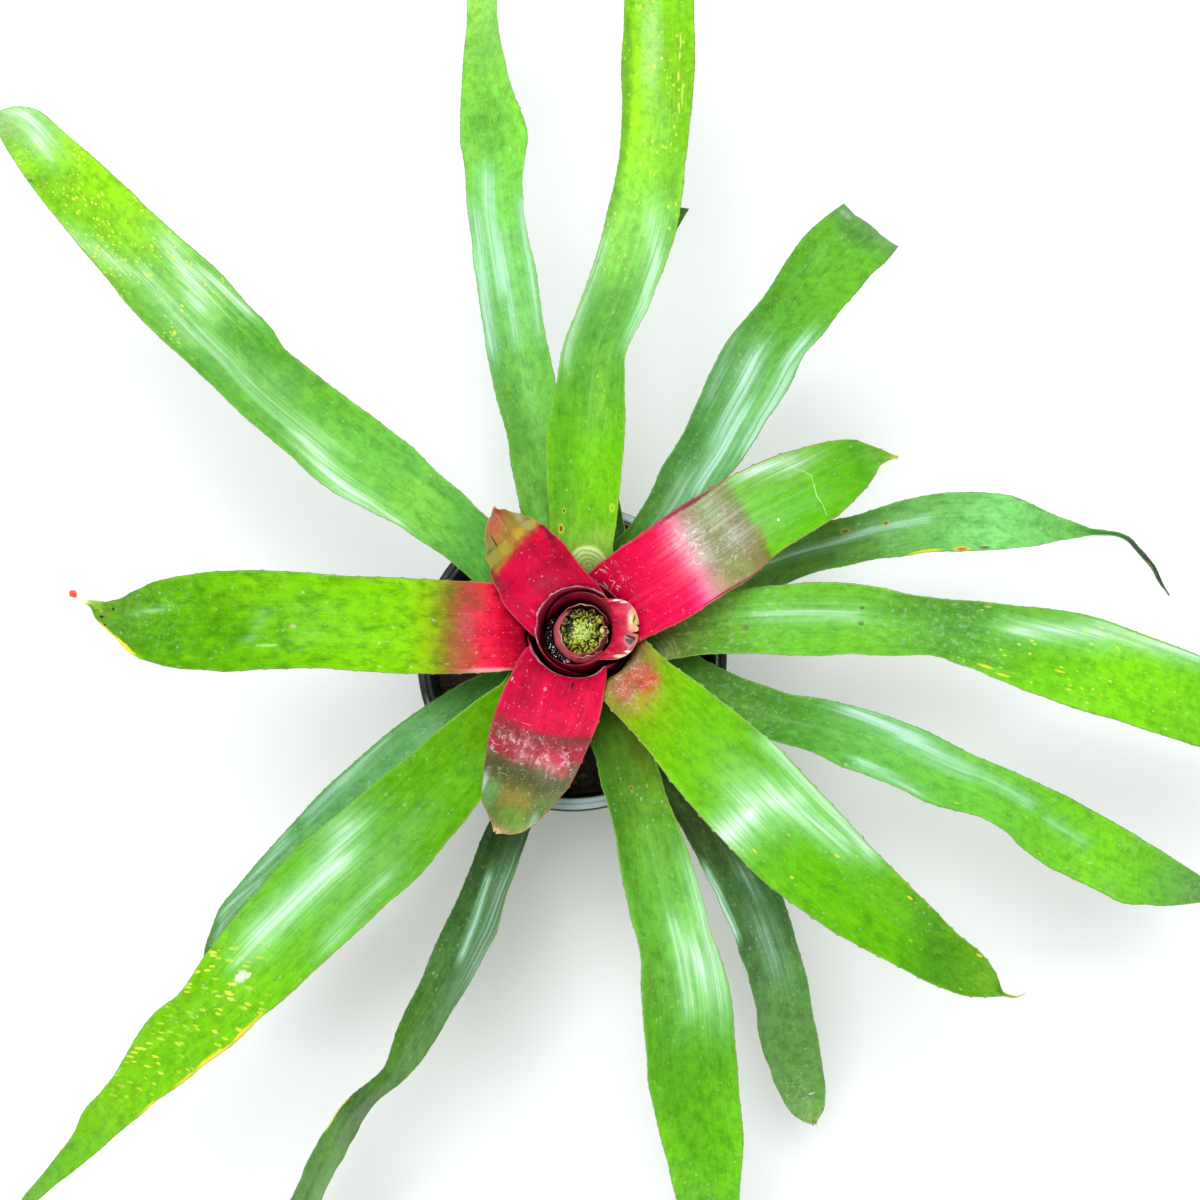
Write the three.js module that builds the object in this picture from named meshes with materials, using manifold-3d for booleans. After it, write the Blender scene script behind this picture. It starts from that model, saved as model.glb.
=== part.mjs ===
// Neoregelia bromeliad in a round nursery pot. Millimetres, +Z up, +X right, +Y back.
// The origin is the centre of the underside of the pot.
import * as THREE from 'three';
import { mergeVertices } from 'three/addons/utils/BufferGeometryUtils.js';
import Module from 'manifold-3d';

// ---------------------------------------------------------------- driving dimensions
const POT = {
  baseRadius: 54.2,      // outer radius just above the foot
  wallTopRadius: 70.2,   // outer radius of the wall where the rim starts
  rimRadius: 76.7,       // outer radius of the rolled rim
  height: 130,
  rimDrop: 14.5,         // how far the skirt of the rim hangs down
  wall: 1.3,
  floor: 2.0,
  holeCount: 6,
  holeRadius: 4.5,
  holeCircle: 42,
  segments: 40,
};
const SOIL = { bottom: 2.4, top: 115, gap: 0.45, pocketRadius: 14.2, pocketBottom: 95.5 };
const AXIS = new THREE.Vector2(3.8, 1.9);       // where the rosette's axis stands over the pot
const STEM = { bottom: 96, radius: 13.4, shoulder: 123, neck: 133, scapeRadius: 5.2, scapeTop: 168.5 };
const HEAD = { x: 5.9, y: 2.3, bottom: 169, top: 190, radius: 10.2, lobes: 11 };
const SHEATH = { bottom: 116, innerLow: 15.0, innerHigh: 16.4, pitchLow: 1.65, pitchHigh: 2.1, high: 206, fade: 36 };
const LEAF_THICKNESS = 0.85;
const DEG = Math.PI / 180;

// Every leaf from the innermost layer of the rosette outwards.
//   az      azimuth of the leaf, degrees from +X towards +Y
//   low     half angle that the sheath wraps at the soil, collar: half angle where the blade leaves the sheath
//   power   how late the sheath narrows, top: height of that collar, flare: outward lean there in degrees
//   layer   how much room this sheath takes in the stack
//   blade   stations from collar to tip: x, y, z of the midrib, half width, roll in degrees, channel depth
const LEAVES = [
  { name: 'leaf_cup_curled', az: -5, low: 165, collar: 56, power: 8, top: 206.3, flare: 8, layer: 1, cross: 14, sheathSteps: 5, bendSteps: 2, colour: 0xd8435a,
    blade: [[20.0, 0.2, 209.6, 13.4, 0, 1.4], [22.6, 0.2, 210.8, 13.0, 0, 1.2], [26.0, 0.1, 211.9, 11.4, 0, 0.8], [28.6, 0.0, 212.0, 8.6, 0, 0.2], [30.6, -0.1, 211.2, 4.6, 0, -0.4]] },
  { name: 'leaf_inner_upper_left', az: 122.5, low: 165, collar: 73.5, power: 8, top: 205.5, flare: 8, layer: 1.9, cross: 14, sheathSteps: 5, bendSteps: 3, colour: 0xd4143c,
    blade: [[-14.8, 24.3, 210, 18.5, 0, 5], [-19.4, 30.5, 216.2, 17.2, 0, 4.5], [-23.2, 36.1, 220.8, 14.6, 0, 4.8], [-26.6, 40.9, 223.2, 11.1, 0, 5.5], [-28.8, 44.6, 224, 6.6, 0, 6], [-30.5, 47.7, 223.7, 2.1, 0, 4.6], [-31.7, 50.9, 223, 0.6, 0, 3]] },
  { name: 'leaf_inner_lower', az: 253.3, low: 108, collar: 53, power: 4, top: 202.5, flare: 15, layer: 1, cross: 8, sheathSteps: 4, bendSteps: 3, colour: 0xd4143c,
    blade: [[-3.8, -21.9, 206.5, 19.9, 0, 4], [-8.2, -36.1, 211.7, 21.5, 0, 3.2], [-12.8, -49.1, 215.4, 20.8, 0, 2.7], [-16.9, -60.9, 217, 18.8, 0, 2.5], [-21.2, -70.9, 215.8, 15.5, 0, 2.9], [-25, -79.1, 214, 11, 0, 2.9], [-28, -83.6, 211.2, 4.5, 0, 2.5], [-30.1, -86.1, 209, 0.6, 0, 2]] },
  { name: 'leaf_inner_upper_right', az: 31, low: 98, collar: 50, power: 4, top: 201.5, flare: 15, layer: 1, cross: 8, sheathSteps: 4, bendSteps: 3, colour: 0xc93a4a,
    blade: [[26.3, 14.5, 207, 19.7, 0, 4], [43.5, 23.1, 216.5, 21.1, 0, 3.7], [58.9, 32.8, 223.8, 21.1, 0, 3.4], [73.3, 41.9, 229.8, 19.9, 0, 3.1], [87.6, 50.1, 232.9, 18.8, 0, 3.1], [101.6, 56.5, 234.6, 17.4, 0, 3.7], [113.9, 63.3, 234.9, 13.9, 0, 4], [125.1, 68.8, 233.5, 8.8, 0, 3.3], [134.4, 71.3, 231, 2.7, 0, 2.3], [141.5, 71.8, 229, 0.6, 0, 1.5]] },
  { name: 'leaf_inner_left', az: 177, low: 98, collar: 48, power: 3, top: 196.5, flare: 20, layer: 1, cross: 8, sheathSteps: 4, bendSteps: 4, colour: 0x6fb81e,
    blade: [[-29, 1.3, 206, 19.4, 0, 4.5], [-52.2, -0.6, 217.9, 20.2, 0, 4.2], [-74.3, -1.1, 225.4, 20.5, 0, 4], [-95.4, -0.5, 230, 20.1, 0, 3.7], [-115.8, 0.3, 232, 20.5, 0, 3.5], [-135.8, 0.3, 230.1, 21.4, 0, 3.5], [-155.2, 0.7, 225.9, 20.7, 0, 3.5], [-173.4, 1.8, 220.9, 17.7, 0, 3.4], [-189.3, 4.5, 214.1, 11, 0, 3], [-202.9, 8.1, 207, 4.6, 0, 2.4], [-211.6, 11.6, 202, 0.6, 0, 2]] },
  { name: 'leaf_inner_lower_right', az: 320, low: 92, collar: 45, power: 3, top: 191.5, flare: 20, layer: 1, cross: 8, sheathSteps: 4, bendSteps: 4, colour: 0x6fb81e,
    blade: [[25.1, -17.7, 203, 15.5, 0, 5], [43.8, -37.4, 215.1, 17.5, 0, 4.5], [61, -55.6, 223.4, 20.4, 0, 4.1], [77, -72.7, 228.5, 21.4, 0, 3.5], [91.9, -88.9, 231.6, 21.1, 0, 3.1], [107.5, -102.9, 231.1, 19.2, 0, 3], [123.3, -115.6, 226.9, 17.1, 0, 3], [139.1, -126.8, 221.3, 14.4, 0, 3], [154.5, -137, 214.3, 11.8, 0, 2.8], [169.8, -145.5, 205.3, 8.9, 0, 2.4], [182.9, -152, 196.3, 3.7, 0, 1.9], [191.8, -156, 190, 0.6, 0, 1.5]] },
  { name: 'leaf_outer_back', az: 85, low: 64, collar: 42, power: 2, top: 186, flare: 20, layer: 1, cross: 6, sheathSteps: 3, bendSteps: 4, colour: 0x5faf2e,
    blade: [[5.9, 40.2, 204, 13.8, 0, 5], [7.2, 72.5, 215.9, 16.9, 0, 5], [9.7, 103.8, 224.9, 15.1, 0, 5], [17.3, 133.5, 231.4, 13.5, 0, 4.7], [28.5, 161.8, 236.4, 15.1, 0, 4], [35.3, 191.9, 237.8, 14.7, 0, 3.5], [38.8, 225.3, 232.6, 15.4, 0, 3.3], [40.5, 260.8, 223.2, 16.6, 0, 3.1], [41.5, 296.5, 212.8, 16.4, 0, 2.9], [42.6, 333.2, 199.6, 15.7, 0, 2.6], [43.5, 369.7, 184.4, 12.3, 0, 2.2], [44.2, 401.7, 170, 5.9, 0, 1.8], [44.8, 422.9, 160, 0.6, 0, 1.5]] },
  { name: 'leaf_outer_front_left', az: 230, low: 64, collar: 42, power: 2, top: 182, flare: 20, layer: 1, cross: 6, sheathSteps: 3, bendSteps: 4, colour: 0x5faf2e,
    blade: [[-21.1, -34.5, 200, 14.2, 0, 5], [-45.2, -57.8, 211, 16.9, 0, 5], [-66.4, -80.8, 218, 19.7, 0, 5], [-88.2, -101.1, 220.4, 21.3, 0, 4.9], [-108.4, -120.9, 221.6, 20.5, 0, 4.4], [-127.1, -140.3, 221.8, 18.4, 0, 3.9], [-146.2, -160, 214, 15.2, 0, 3.4], [-168.2, -178.2, 200.2, 14.1, 0, 2.9], [-188, -197.7, 185.6, 9.9, 0, 2.4], [-208.5, -216.7, 168.2, 7.2, 0, 1.9], [-228.7, -235.3, 148.8, 4.6, 0, 1.5], [-247.4, -251.7, 130.6, 3, 0, 1.2], [-259.1, -263.1, 118, 0.6, 0, 1]] },
  { name: 'leaf_outer_back_left', az: 139, low: 64, collar: 40, power: 2, top: 182, flare: 20, layer: 1, cross: 6, sheathSteps: 3, bendSteps: 4, colour: 0x5faf2e,
    blade: [[-37.6, 36.4, 197, 13.2, 0, 5], [-64.3, 55.8, 212.3, 14.5, 2.2, 5], [-91, 72.8, 223.1, 17.9, 3.9, 5], [-115.8, 91.5, 230.6, 17.3, 5.1, 4.7], [-138.3, 111.9, 235.4, 16.6, 5.9, 4.2], [-160.1, 134.5, 234.9, 19.1, 5.4, 3.9], [-183.3, 157.7, 229.7, 18.2, 2.6, 3.7], [-205.8, 181.9, 222.5, 16.8, 0.1, 3.5], [-228.7, 206.9, 211.9, 15.5, -1.4, 3.2], [-251.8, 233.2, 197.3, 13.1, -2.6, 2.7], [-273.5, 254.3, 182.4, 8.1, -3.5, 2.3], [-288.3, 262.9, 172, 0.6, -4, 2]] },
  { name: 'leaf_outer_right', az: 358, low: 62, collar: 40, power: 2, top: 176, flare: 22, layer: 1, cross: 6, sheathSteps: 3, bendSteps: 4, colour: 0x5faf2e,
    blade: [[46.1, 1.8, 195, 13.2, 0, 5], [81, 3.5, 207.5, 14.3, 0, 5], [114.1, 3.1, 215.5, 16.2, 0, 5], [145.7, 0, 219.4, 13.6, 0, 4.7], [175.4, -5.2, 221.7, 14.7, 0, 4.2], [204, -11.9, 220.1, 19, 0, 3.8], [233.8, -18.6, 210.9, 20.1, 0, 3.4], [263.5, -25.9, 198.7, 20, 0, 3], [293.5, -32.4, 183.3, 18.6, 0, 2.6], [323.4, -38.8, 163.5, 15.1, 0, 2.2], [349.6, -43.9, 143.8, 7.3, 0, 1.8], [366.9, -46.1, 130, 0.6, 0, 1.5]] },
  { name: 'leaf_outer_front', az: 287, low: 62, collar: 38, power: 2, top: 170, flare: 22, layer: 1, cross: 8, sheathSteps: 3, bendSteps: 4, colour: 0x5faf2e,
    blade: [[24.4, -52.8, 187, 12.5, 0, 6], [32.1, -81.1, 197.7, 13.4, 0, 5.8], [39.2, -107.2, 202.9, 15.4, 0, 5.5], [45.6, -132.1, 203, 16.1, 0, 5.3], [49.6, -155.9, 203, 18.6, 0, 5.1], [51.6, -179.1, 200, 18.5, 0, 4.8], [55.4, -202.9, 186.1, 17.9, 0, 4.5], [59.2, -226.6, 169, 16.1, 0, 4], [62, -249.7, 151, 12.9, 0, 3.4], [64.4, -272.2, 130.8, 9.6, 0, 2.7], [66.6, -291.9, 111.4, 4.5, 0, 2], [68.1, -304.9, 98, 0.6, 0, 1.5]] },
  { name: 'leaf_outer_back_right_trimmed', az: 53, low: 60, collar: 38, power: 2, top: 171, flare: 22, layer: 1, cross: 8, sheathSteps: 3, bendSteps: 4, colour: 0x5faf2e,
    blade: [[38.3, 45.6, 188, 11.7, 0, 5], [47.8, 58.2, 195.8, 12, 0, 5], [56, 71.9, 201.5, 13.3, 0, 5], [65.1, 85.9, 204, 14.8, -0.6, 5], [73.4, 100.9, 205.4, 15.7, -3.9, 5], [82, 116.1, 206, 16.9, -6, 5], [91.4, 132.1, 204.2, 16, -3.9, 4.7], [103.2, 148.1, 200.2, 16.3, -0.6, 4.2], [114.7, 165.2, 195.4, 17.6, 0, 3.8], [127.9, 182.9, 188.6, 18.3, 0, 3.4], [143.3, 200.2, 180, 16.9, 0, 3]] },
  { name: 'leaf_outer_back_twisted', az: 102, low: 60, collar: 38, power: 2, top: 165, flare: 22, layer: 1, cross: 8, sheathSteps: 3, bendSteps: 4, colour: 0x5faf2e,
    blade: [[-8, 58.5, 184, 14.5, 0, 4], [-14, 85.7, 194, 13.7, 0, 4.6], [-20.2, 112.9, 200.1, 13.7, 0, 4.9], [-25.3, 141.5, 200.9, 13.5, 0, 5], [-30.2, 170.1, 200.3, 13.4, 0, 5], [-34.4, 198.5, 199.3, 13, 0, 5], [-35.7, 228.2, 195.1, 15.1, -4, 4.8], [-40.6, 260.9, 184.6, 14.2, -15.4, 4], [-44.8, 294.8, 172.1, 11.4, -25.8, 3.2], [-46.6, 328.3, 159.9, 9.6, -31, 2.6], [-48.4, 361.9, 146.5, 10.7, -34.9, 2.1], [-50.3, 394.1, 132.9, 8.5, -37.7, 1.6], [-52, 422.3, 120.4, 3.7, -39.3, 1.3], [-53.2, 441.1, 112, 0.6, -40, 1]] },
  { name: 'leaf_outer_right_front', az: 336, low: 60, collar: 38, power: 2, top: 160, flare: 24, layer: 1, cross: 8, sheathSteps: 3, bendSteps: 4, colour: 0x3f7d3a,
    blade: [[63.1, -23.9, 180, 11.7, 0, 5], [90.5, -35.5, 190.3, 11.2, 0, 5], [117.6, -43.5, 194.9, 12.7, 0, 5], [143.7, -52.9, 194.1, 13.9, 0, 4.7], [168.4, -63.4, 191.4, 13.2, 0, 4.2], [193.1, -72.8, 185.7, 13.1, 0, 3.8], [217.6, -85.2, 171.8, 15.9, 0, 3.4], [243.6, -95.9, 155, 16.1, 0, 3], [269.7, -105.3, 136.9, 14.6, 0, 2.6], [296.1, -111.5, 116.6, 9.6, 0, 2.2], [320.2, -115.7, 97.3, 4.1, 0, 1.8], [336.8, -117.4, 84, 0.6, 0, 1.5]] },
  { name: 'leaf_lower_front_left', az: 222, low: 60, collar: 38, power: 2, top: 158, flare: 24, layer: 1, cross: 6, sheathSteps: 3, bendSteps: 4, colour: 0x3f7d3a,
    blade: [[-25, -26.4, 172, 14, 0, 4], [-47.7, -40.9, 181.5, 18.8, 7.8, 4], [-68.1, -56.9, 183.9, 19.6, 10, 3.9], [-86.9, -73.1, 183, 19.4, 10, 3.2], [-104.1, -88.8, 180.5, 18.8, 9.7, 3], [-121.3, -103.8, 171.9, 17.1, 7.1, 3], [-138.1, -117.6, 161.8, 14.7, 4.5, 3], [-153.8, -129.9, 150.8, 11.1, 2.6, 2.6], [-165.9, -141.5, 139.8, 5.5, 1, 2], [-173.4, -148.6, 132, 0.6, 0, 1.5]] },
  { name: 'leaf_lower_right_tapered', az: 16, low: 58, collar: 36, power: 2, top: 155, flare: 24, layer: 1, cross: 6, sheathSteps: 3, bendSteps: 4, colour: 0x3f7d3a,
    blade: [[117.8, 43.9, 176, 11.1, 0, 4], [137.1, 47.1, 183.7, 10.9, 3.5, 4], [156.4, 50.3, 187, 12.8, 5.8, 4], [176.1, 53, 185.9, 13.6, 7.1, 4], [195.7, 53.9, 182.7, 12.8, 7.9, 4], [214.8, 53.1, 176.9, 8.9, 7.7, 3.8], [235.6, 54.1, 164.9, 4.2, 6.5, 2.9], [257.1, 56.2, 150.8, 1.4, 5.1, 2], [276.6, 55.2, 136.3, 1, 3.7, 1.5], [291.6, 47.9, 120.7, 1, 2.3, 1], [303.4, 40.7, 106.1, 0.8, 0.9, 0.6], [311.4, 35.9, 96, 0.6, 0, 0.4]] },
  { name: 'leaf_lower_front_right', az: 303, low: 56, collar: 36, power: 2, top: 148, flare: 28, layer: 1, cross: 6, sheathSteps: 3, bendSteps: 4, colour: 0x3f7d3a,
    blade: [[60.5, -78.7, 162, 11.2, 0, 5], [71.8, -97.7, 163.9, 12.7, 0, 5], [81.4, -116.4, 163.5, 13.9, 0, 5], [89.3, -135.4, 156.2, 13.4, 0, 5], [95.6, -154.5, 145.3, 13.5, 0, 4.9], [100.9, -174.1, 128.7, 13.4, 0, 4.5], [106.7, -192.9, 111.2, 13, 0, 3.9], [113.2, -210.2, 94.3, 11.1, 0, 3.2], [119.2, -224.1, 78.7, 6.4, 0, 2.5], [122.5, -231.7, 68, 0.6, 0, 2]] },
  { name: 'leaf_lower_front_folded', az: 247, low: 56, collar: 34, power: 2, top: 145, flare: 28, layer: 1, cross: 6, sheathSteps: 3, bendSteps: 4, colour: 0x3f7d3a,
    blade: [[-27.1, -82.3, 160, 10.2, 30, 4], [-36.9, -110.4, 163.4, 12.3, 36.7, 4], [-47.6, -136.5, 164, 14.5, 41.6, 4], [-60.2, -160.8, 160.6, 13.3, 45, 3.7], [-74.3, -184.1, 152, 10.4, 47.4, 3.2], [-91.1, -204.8, 141.2, 7.2, 48.7, 2.8], [-108.2, -226.5, 125.5, 10.3, 49.6, 2.4], [-121.6, -249.9, 109, 11.6, 50, 2], [-133.6, -272.6, 93.2, 11.3, 48.1, 1.7], [-145.4, -293.4, 77.9, 9.7, 43.7, 1.4], [-156.1, -311.1, 64.2, 6.3, 38.6, 1.2], [-161.3, -322.5, 55, 0.6, 35, 1]] },
  { name: 'leaf_lower_back_small', az: 79, low: 52, collar: 30, power: 2, top: 150, flare: 28, layer: 1, cross: 6, sheathSteps: 3, bendSteps: 4, colour: 0x3f7d3a,
    blade: [[11.9, 101.5, 168, 8.6, 0, 4], [13.8, 116.1, 175.6, 8.4, 0, 4], [16.3, 132.1, 178, 7.7, 0, 4], [20.5, 149.1, 178, 7.4, 0, 3.3], [26.4, 166, 177, 7.6, 0, 2.9], [33.8, 184.5, 171.5, 7.5, 0, 2.7], [42, 203.3, 165.4, 7.7, 0, 2.4], [50.4, 223.5, 158, 8.5, 0, 2]] }
];

// Bracts around the flower head: azimuth, half angle, radius at the lip, height of the lip, how far the tip stands up.
const BRACTS = [
  { name: 'bract_left', az: 196, half: 74, radius: 12.0, top: 190.5, point: 1.5 },
  { name: 'bract_right', az: 330, half: 72, radius: 11.0, top: 189.8, point: 2.0 },
  { name: 'bract_back', az: 84, half: 66, radius: 13.0, top: 190.2, point: 3.5 },
  { name: 'bract_front', az: 280, half: 40, radius: 13.0, top: 189.4, point: 1.2 },
];
const BRACT = { bottom: 171, lowRadius: 7.0, thickness: 0.6 };

// Dark crescent of wet litter lying between the bracts and the cup's left wall.
const LITTER = { from: 150, to: 258, radius: 15.4, half: 0.85, bottom: 178, top: 186.5, x: 4.4, y: 2.1 };

// ---------------------------------------------------------------- helpers
const clamp01 = (v) => Math.min(1, Math.max(0, v));
const smooth = (v) => { const t = clamp01(v); return t * t * (3 - 2 * t); };
const wrap = (a) => ((a + 180) % 360 + 360) % 360 - 180;

// How many layers of sheath lie inside leaf k at an azimuth (degrees).
function layersInside(k, az) {
  let n = 0;
  for (let j = 0; j < k; j++) {
    const d = Math.abs(wrap(az - LEAVES[j].az));
    n += LEAVES[j].layer * (1 - smooth((d - LEAVES[j].low) / SHEATH.fade));
  }
  return n;
}

function sheathPoint(k, az, z) {
  const t = clamp01((z - SHEATH.bottom) / (SHEATH.high - SHEATH.bottom));
  const inner = THREE.MathUtils.lerp(SHEATH.innerLow, SHEATH.innerHigh, smooth(t));
  const pitch = THREE.MathUtils.lerp(SHEATH.pitchLow, SHEATH.pitchHigh, t);
  const r = inner + pitch * layersInside(k, az);
  return new THREE.Vector3(AXIS.x + r * Math.cos(az * DEG), AXIS.y + r * Math.sin(az * DEG), z);
}

// Section across the blade: s is the place between two stations, u runs -1..1 across.
function bladeSampler(stations) {
  const pts = stations.map((s) => new THREE.Vector3(s[0], s[1], s[2]));
  const mid = new THREE.CatmullRomCurve3(pts, false, 'centripetal');
  const n = stations.length - 1;
  const value = (s, i) => {
    const a = Math.min(n - 1, Math.floor(s)), f = s - a;
    return THREE.MathUtils.lerp(stations[a][i], stations[a + 1][i], f);
  };
  return (s, u) => {
    const c = mid.getPoint(s / n);
    const t = mid.getTangent(s / n);
    const side = new THREE.Vector3(-t.y, t.x, 0).normalize();
    const up = new THREE.Vector3().crossVectors(t, side).normalize();
    const roll = value(s, 4) * DEG;
    const across = side.clone().multiplyScalar(Math.cos(roll)).addScaledVector(up, Math.sin(roll));
    return {
      point: c.addScaledVector(across, value(s, 3) * u).addScaledVector(up, value(s, 5) * u * u),
      tangent: t,
    };
  };
}

// Rows of points on the leaf's middle surface, from the foot of the sheath to the tip.
function leafRows(k) {
  const L = LEAVES[k];
  const sample = bladeSampler(L.blade);
  const us = Array.from({ length: L.cross + 1 }, (_, i) => -1 + 2 * i / L.cross);
  const rows = [];
  const sheath = (t) => us.map((u) => {
    const half = L.low + (L.collar - L.low) * Math.pow(t, L.power);
    return sheathPoint(k, L.az + u * half, SHEATH.bottom + (L.top - SHEATH.bottom) * t);
  });
  rows.push(sheath(0));
  if (L.power > 4) rows.push(sheath(0.45));
  for (let i = 1; i <= L.sheathSteps; i++) rows.push(sheath(Math.pow(i / L.sheathSteps, L.power > 4 ? 1 / L.power : 0.8)));
  const last = rows[rows.length - 1];
  for (let i = 1; i < L.bendSteps; i++) {
    const t = i / L.bendSteps;
    const h00 = 2 * t ** 3 - 3 * t ** 2 + 1, h10 = t ** 3 - 2 * t ** 2 + t;
    const h01 = -2 * t ** 3 + 3 * t ** 2, h11 = t ** 3 - t ** 2;
    rows.push(us.map((u, c) => {
      const p0 = last[c];
      const out = new THREE.Vector3(p0.x - AXIS.x, p0.y - AXIS.y, 0).normalize();
      const end = sample(0, u);
      const len = p0.distanceTo(end.point);
      const t0 = out.multiplyScalar(Math.sin(L.flare * DEG)).add(new THREE.Vector3(0, 0, Math.cos(L.flare * DEG))).multiplyScalar(len * 0.9);
      const t1 = end.tangent.clone().multiplyScalar(len * 0.9);
      return new THREE.Vector3().addScaledVector(p0, h00).addScaledVector(t0, h10).addScaledVector(end.point, h01).addScaledVector(t1, h11);
    }));
  }
  const n = L.blade.length - 1;
  for (let i = 0; i <= n; i++) rows.push(us.map((u) => sample(i, u).point));
  return rows;
}

// A closed thin body around a grid of middle-surface points, with knife edges along both margins.
function shell(rows, thickness, edge = 0.3) {
  const nr = rows.length, nc = rows[0].length;
  const normal = (r, c) => {
    const a = rows[Math.max(0, r - 1)][c], b = rows[Math.min(nr - 1, r + 1)][c];
    const d = rows[r][Math.max(0, c - 1)], e = rows[r][Math.min(nc - 1, c + 1)];
    return new THREE.Vector3().crossVectors(new THREE.Vector3().subVectors(b, a), new THREE.Vector3().subVectors(e, d)).normalize();
  };
  const pos = [], top = [], low = [];
  for (let r = 0; r < nr; r++) {
    top.push([]); low.push([]);
    for (let c = 0; c < nc; c++) {
      const u = -1 + 2 * c / (nc - 1);
      const th = thickness * (1 - (1 - edge) * u ** 4) / 2;
      const n = normal(r, c), p = rows[r][c];
      if (c === 0 || c === nc - 1) {
        pos.push(p.x, p.y, p.z);
        top[r].push(pos.length / 3 - 1); low[r].push(pos.length / 3 - 1);
        continue;
      }
      pos.push(p.x + n.x * th, p.y + n.y * th, p.z + n.z * th);
      top[r].push(pos.length / 3 - 1);
      pos.push(p.x - n.x * th, p.y - n.y * th, p.z - n.z * th);
      low[r].push(pos.length / 3 - 1);
    }
  }
  const tri = [];
  const face = (a, b, c) => { if (a !== b && b !== c && a !== c) tri.push(a, b, c); };
  for (let r = 0; r < nr - 1; r++) {
    for (let c = 0; c < nc - 1; c++) {
      face(top[r][c], top[r + 1][c], top[r + 1][c + 1]); face(top[r][c], top[r + 1][c + 1], top[r][c + 1]);
      face(low[r][c], low[r + 1][c + 1], low[r + 1][c]); face(low[r][c], low[r][c + 1], low[r + 1][c + 1]);
    }
  }
  for (let c = 0; c < nc - 1; c++) {
    face(top[0][c], top[0][c + 1], low[0][c + 1]); face(top[0][c], low[0][c + 1], low[0][c]);
    face(top[nr - 1][c], low[nr - 1][c + 1], top[nr - 1][c + 1]); face(top[nr - 1][c], low[nr - 1][c], low[nr - 1][c + 1]);
  }
  return outward(pos, tri);
}

// Indexed geometry whose faces point out of the body.
function outward(pos, tri) {
  let v = 0;
  for (let i = 0; i < tri.length; i += 3) {
    const [a, b, c] = [tri[i] * 3, tri[i + 1] * 3, tri[i + 2] * 3];
    v += pos[a] * (pos[b + 1] * pos[c + 2] - pos[b + 2] * pos[c + 1])
       - pos[a + 1] * (pos[b] * pos[c + 2] - pos[b + 2] * pos[c])
       + pos[a + 2] * (pos[b] * pos[c + 1] - pos[b + 1] * pos[c]);
  }
  if (v < 0) for (let i = 0; i < tri.length; i += 3) [tri[i + 1], tri[i + 2]] = [tri[i + 2], tri[i + 1]];
  const g = new THREE.BufferGeometry();
  g.setAttribute('position', new THREE.Float32BufferAttribute(pos, 3));
  g.setIndex(tri);
  g.computeVertexNormals();
  return g;
}

// A body of revolution about +Z from a profile of [radius, z] points.
function turned(profile, segments) {
  const g = new THREE.LatheGeometry(profile.map(([r, z]) => new THREE.Vector2(r, z)), segments);
  g.rotateX(Math.PI / 2);
  return g;
}

const wasm = await Module();
wasm.setup();
function toSolid(g) {
  const bare = g.clone();
  for (const key of Object.keys(bare.attributes)) if (key !== 'position') bare.deleteAttribute(key);
  const m = mergeVertices(bare, 1e-4);
  const idx = Array.from(m.index.array), p = m.attributes.position.array;
  const tri = [];
  for (let i = 0; i < idx.length; i += 3) if (idx[i] !== idx[i + 1] && idx[i + 1] !== idx[i + 2] && idx[i] !== idx[i + 2]) tri.push(idx[i], idx[i + 1], idx[i + 2]);
  const o = outward(Array.from(p), tri);
  return new wasm.Manifold(new wasm.Mesh({ numProp: 3, vertProperties: o.attributes.position.array, triVerts: Uint32Array.from(o.index.array) }));
}
function fromSolid(s) {
  const m = s.getMesh();
  const g = new THREE.BufferGeometry();
  const p = new Float32Array(m.numVert * 3);
  for (let i = 0; i < m.numVert; i++) for (let j = 0; j < 3; j++) p[i * 3 + j] = m.vertProperties[i * m.numProp + j];
  g.setAttribute('position', new THREE.BufferAttribute(p, 3));
  g.setIndex(new THREE.BufferAttribute(Uint32Array.from(m.triVerts), 1));
  g.computeVertexNormals();
  return g;
}

const group = new THREE.Group();
function add(name, geometry, colour, roughness = 0.5, metalness = 0) {
  const mesh = new THREE.Mesh(geometry, new THREE.MeshStandardMaterial({ color: colour, roughness, metalness }));
  mesh.name = name;
  group.add(mesh);
  return mesh;
}

// ---------------------------------------------------------------- pot
const P = POT, H = POT.height;
const wallOuter = (z) => THREE.MathUtils.lerp(P.baseRadius, P.wallTopRadius, clamp01((z - 2.5) / (H - P.rimDrop - 2.5)));
const potProfile = [
  [0, 0], [P.baseRadius - 4, 0], [P.baseRadius - 1.2, 0.7], [P.baseRadius, 2.5],
  [wallOuter(60), 60], [P.wallTopRadius, H - P.rimDrop], [P.wallTopRadius + 0.9, H - 1.8],
  [P.rimRadius - 2.6, H - 1.8], [P.rimRadius - 3.0, H - P.rimDrop], [P.rimRadius - 1.8, H - P.rimDrop],
  [P.rimRadius - 0.2, H - 2.2], [P.rimRadius, H - 1.0], [P.rimRadius - 0.7, H - 0.1], [P.rimRadius - 1.6, H],
  [P.rimRadius - 3.4, H], [P.rimRadius - 3.9, H - 0.5], [P.rimRadius - 4.4, H - 0.1], [P.rimRadius - 6.0, H - 0.2], [P.rimRadius - 6.7, H - 1.0],
  [P.wallTopRadius - P.wall, H - P.rimDrop], [wallOuter(60) - P.wall, 60],
  [P.baseRadius - P.wall, 3.4], [P.baseRadius - P.wall - 1.4, P.floor], [0, P.floor],
];
let pot = toSolid(turned(potProfile, P.segments));
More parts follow.
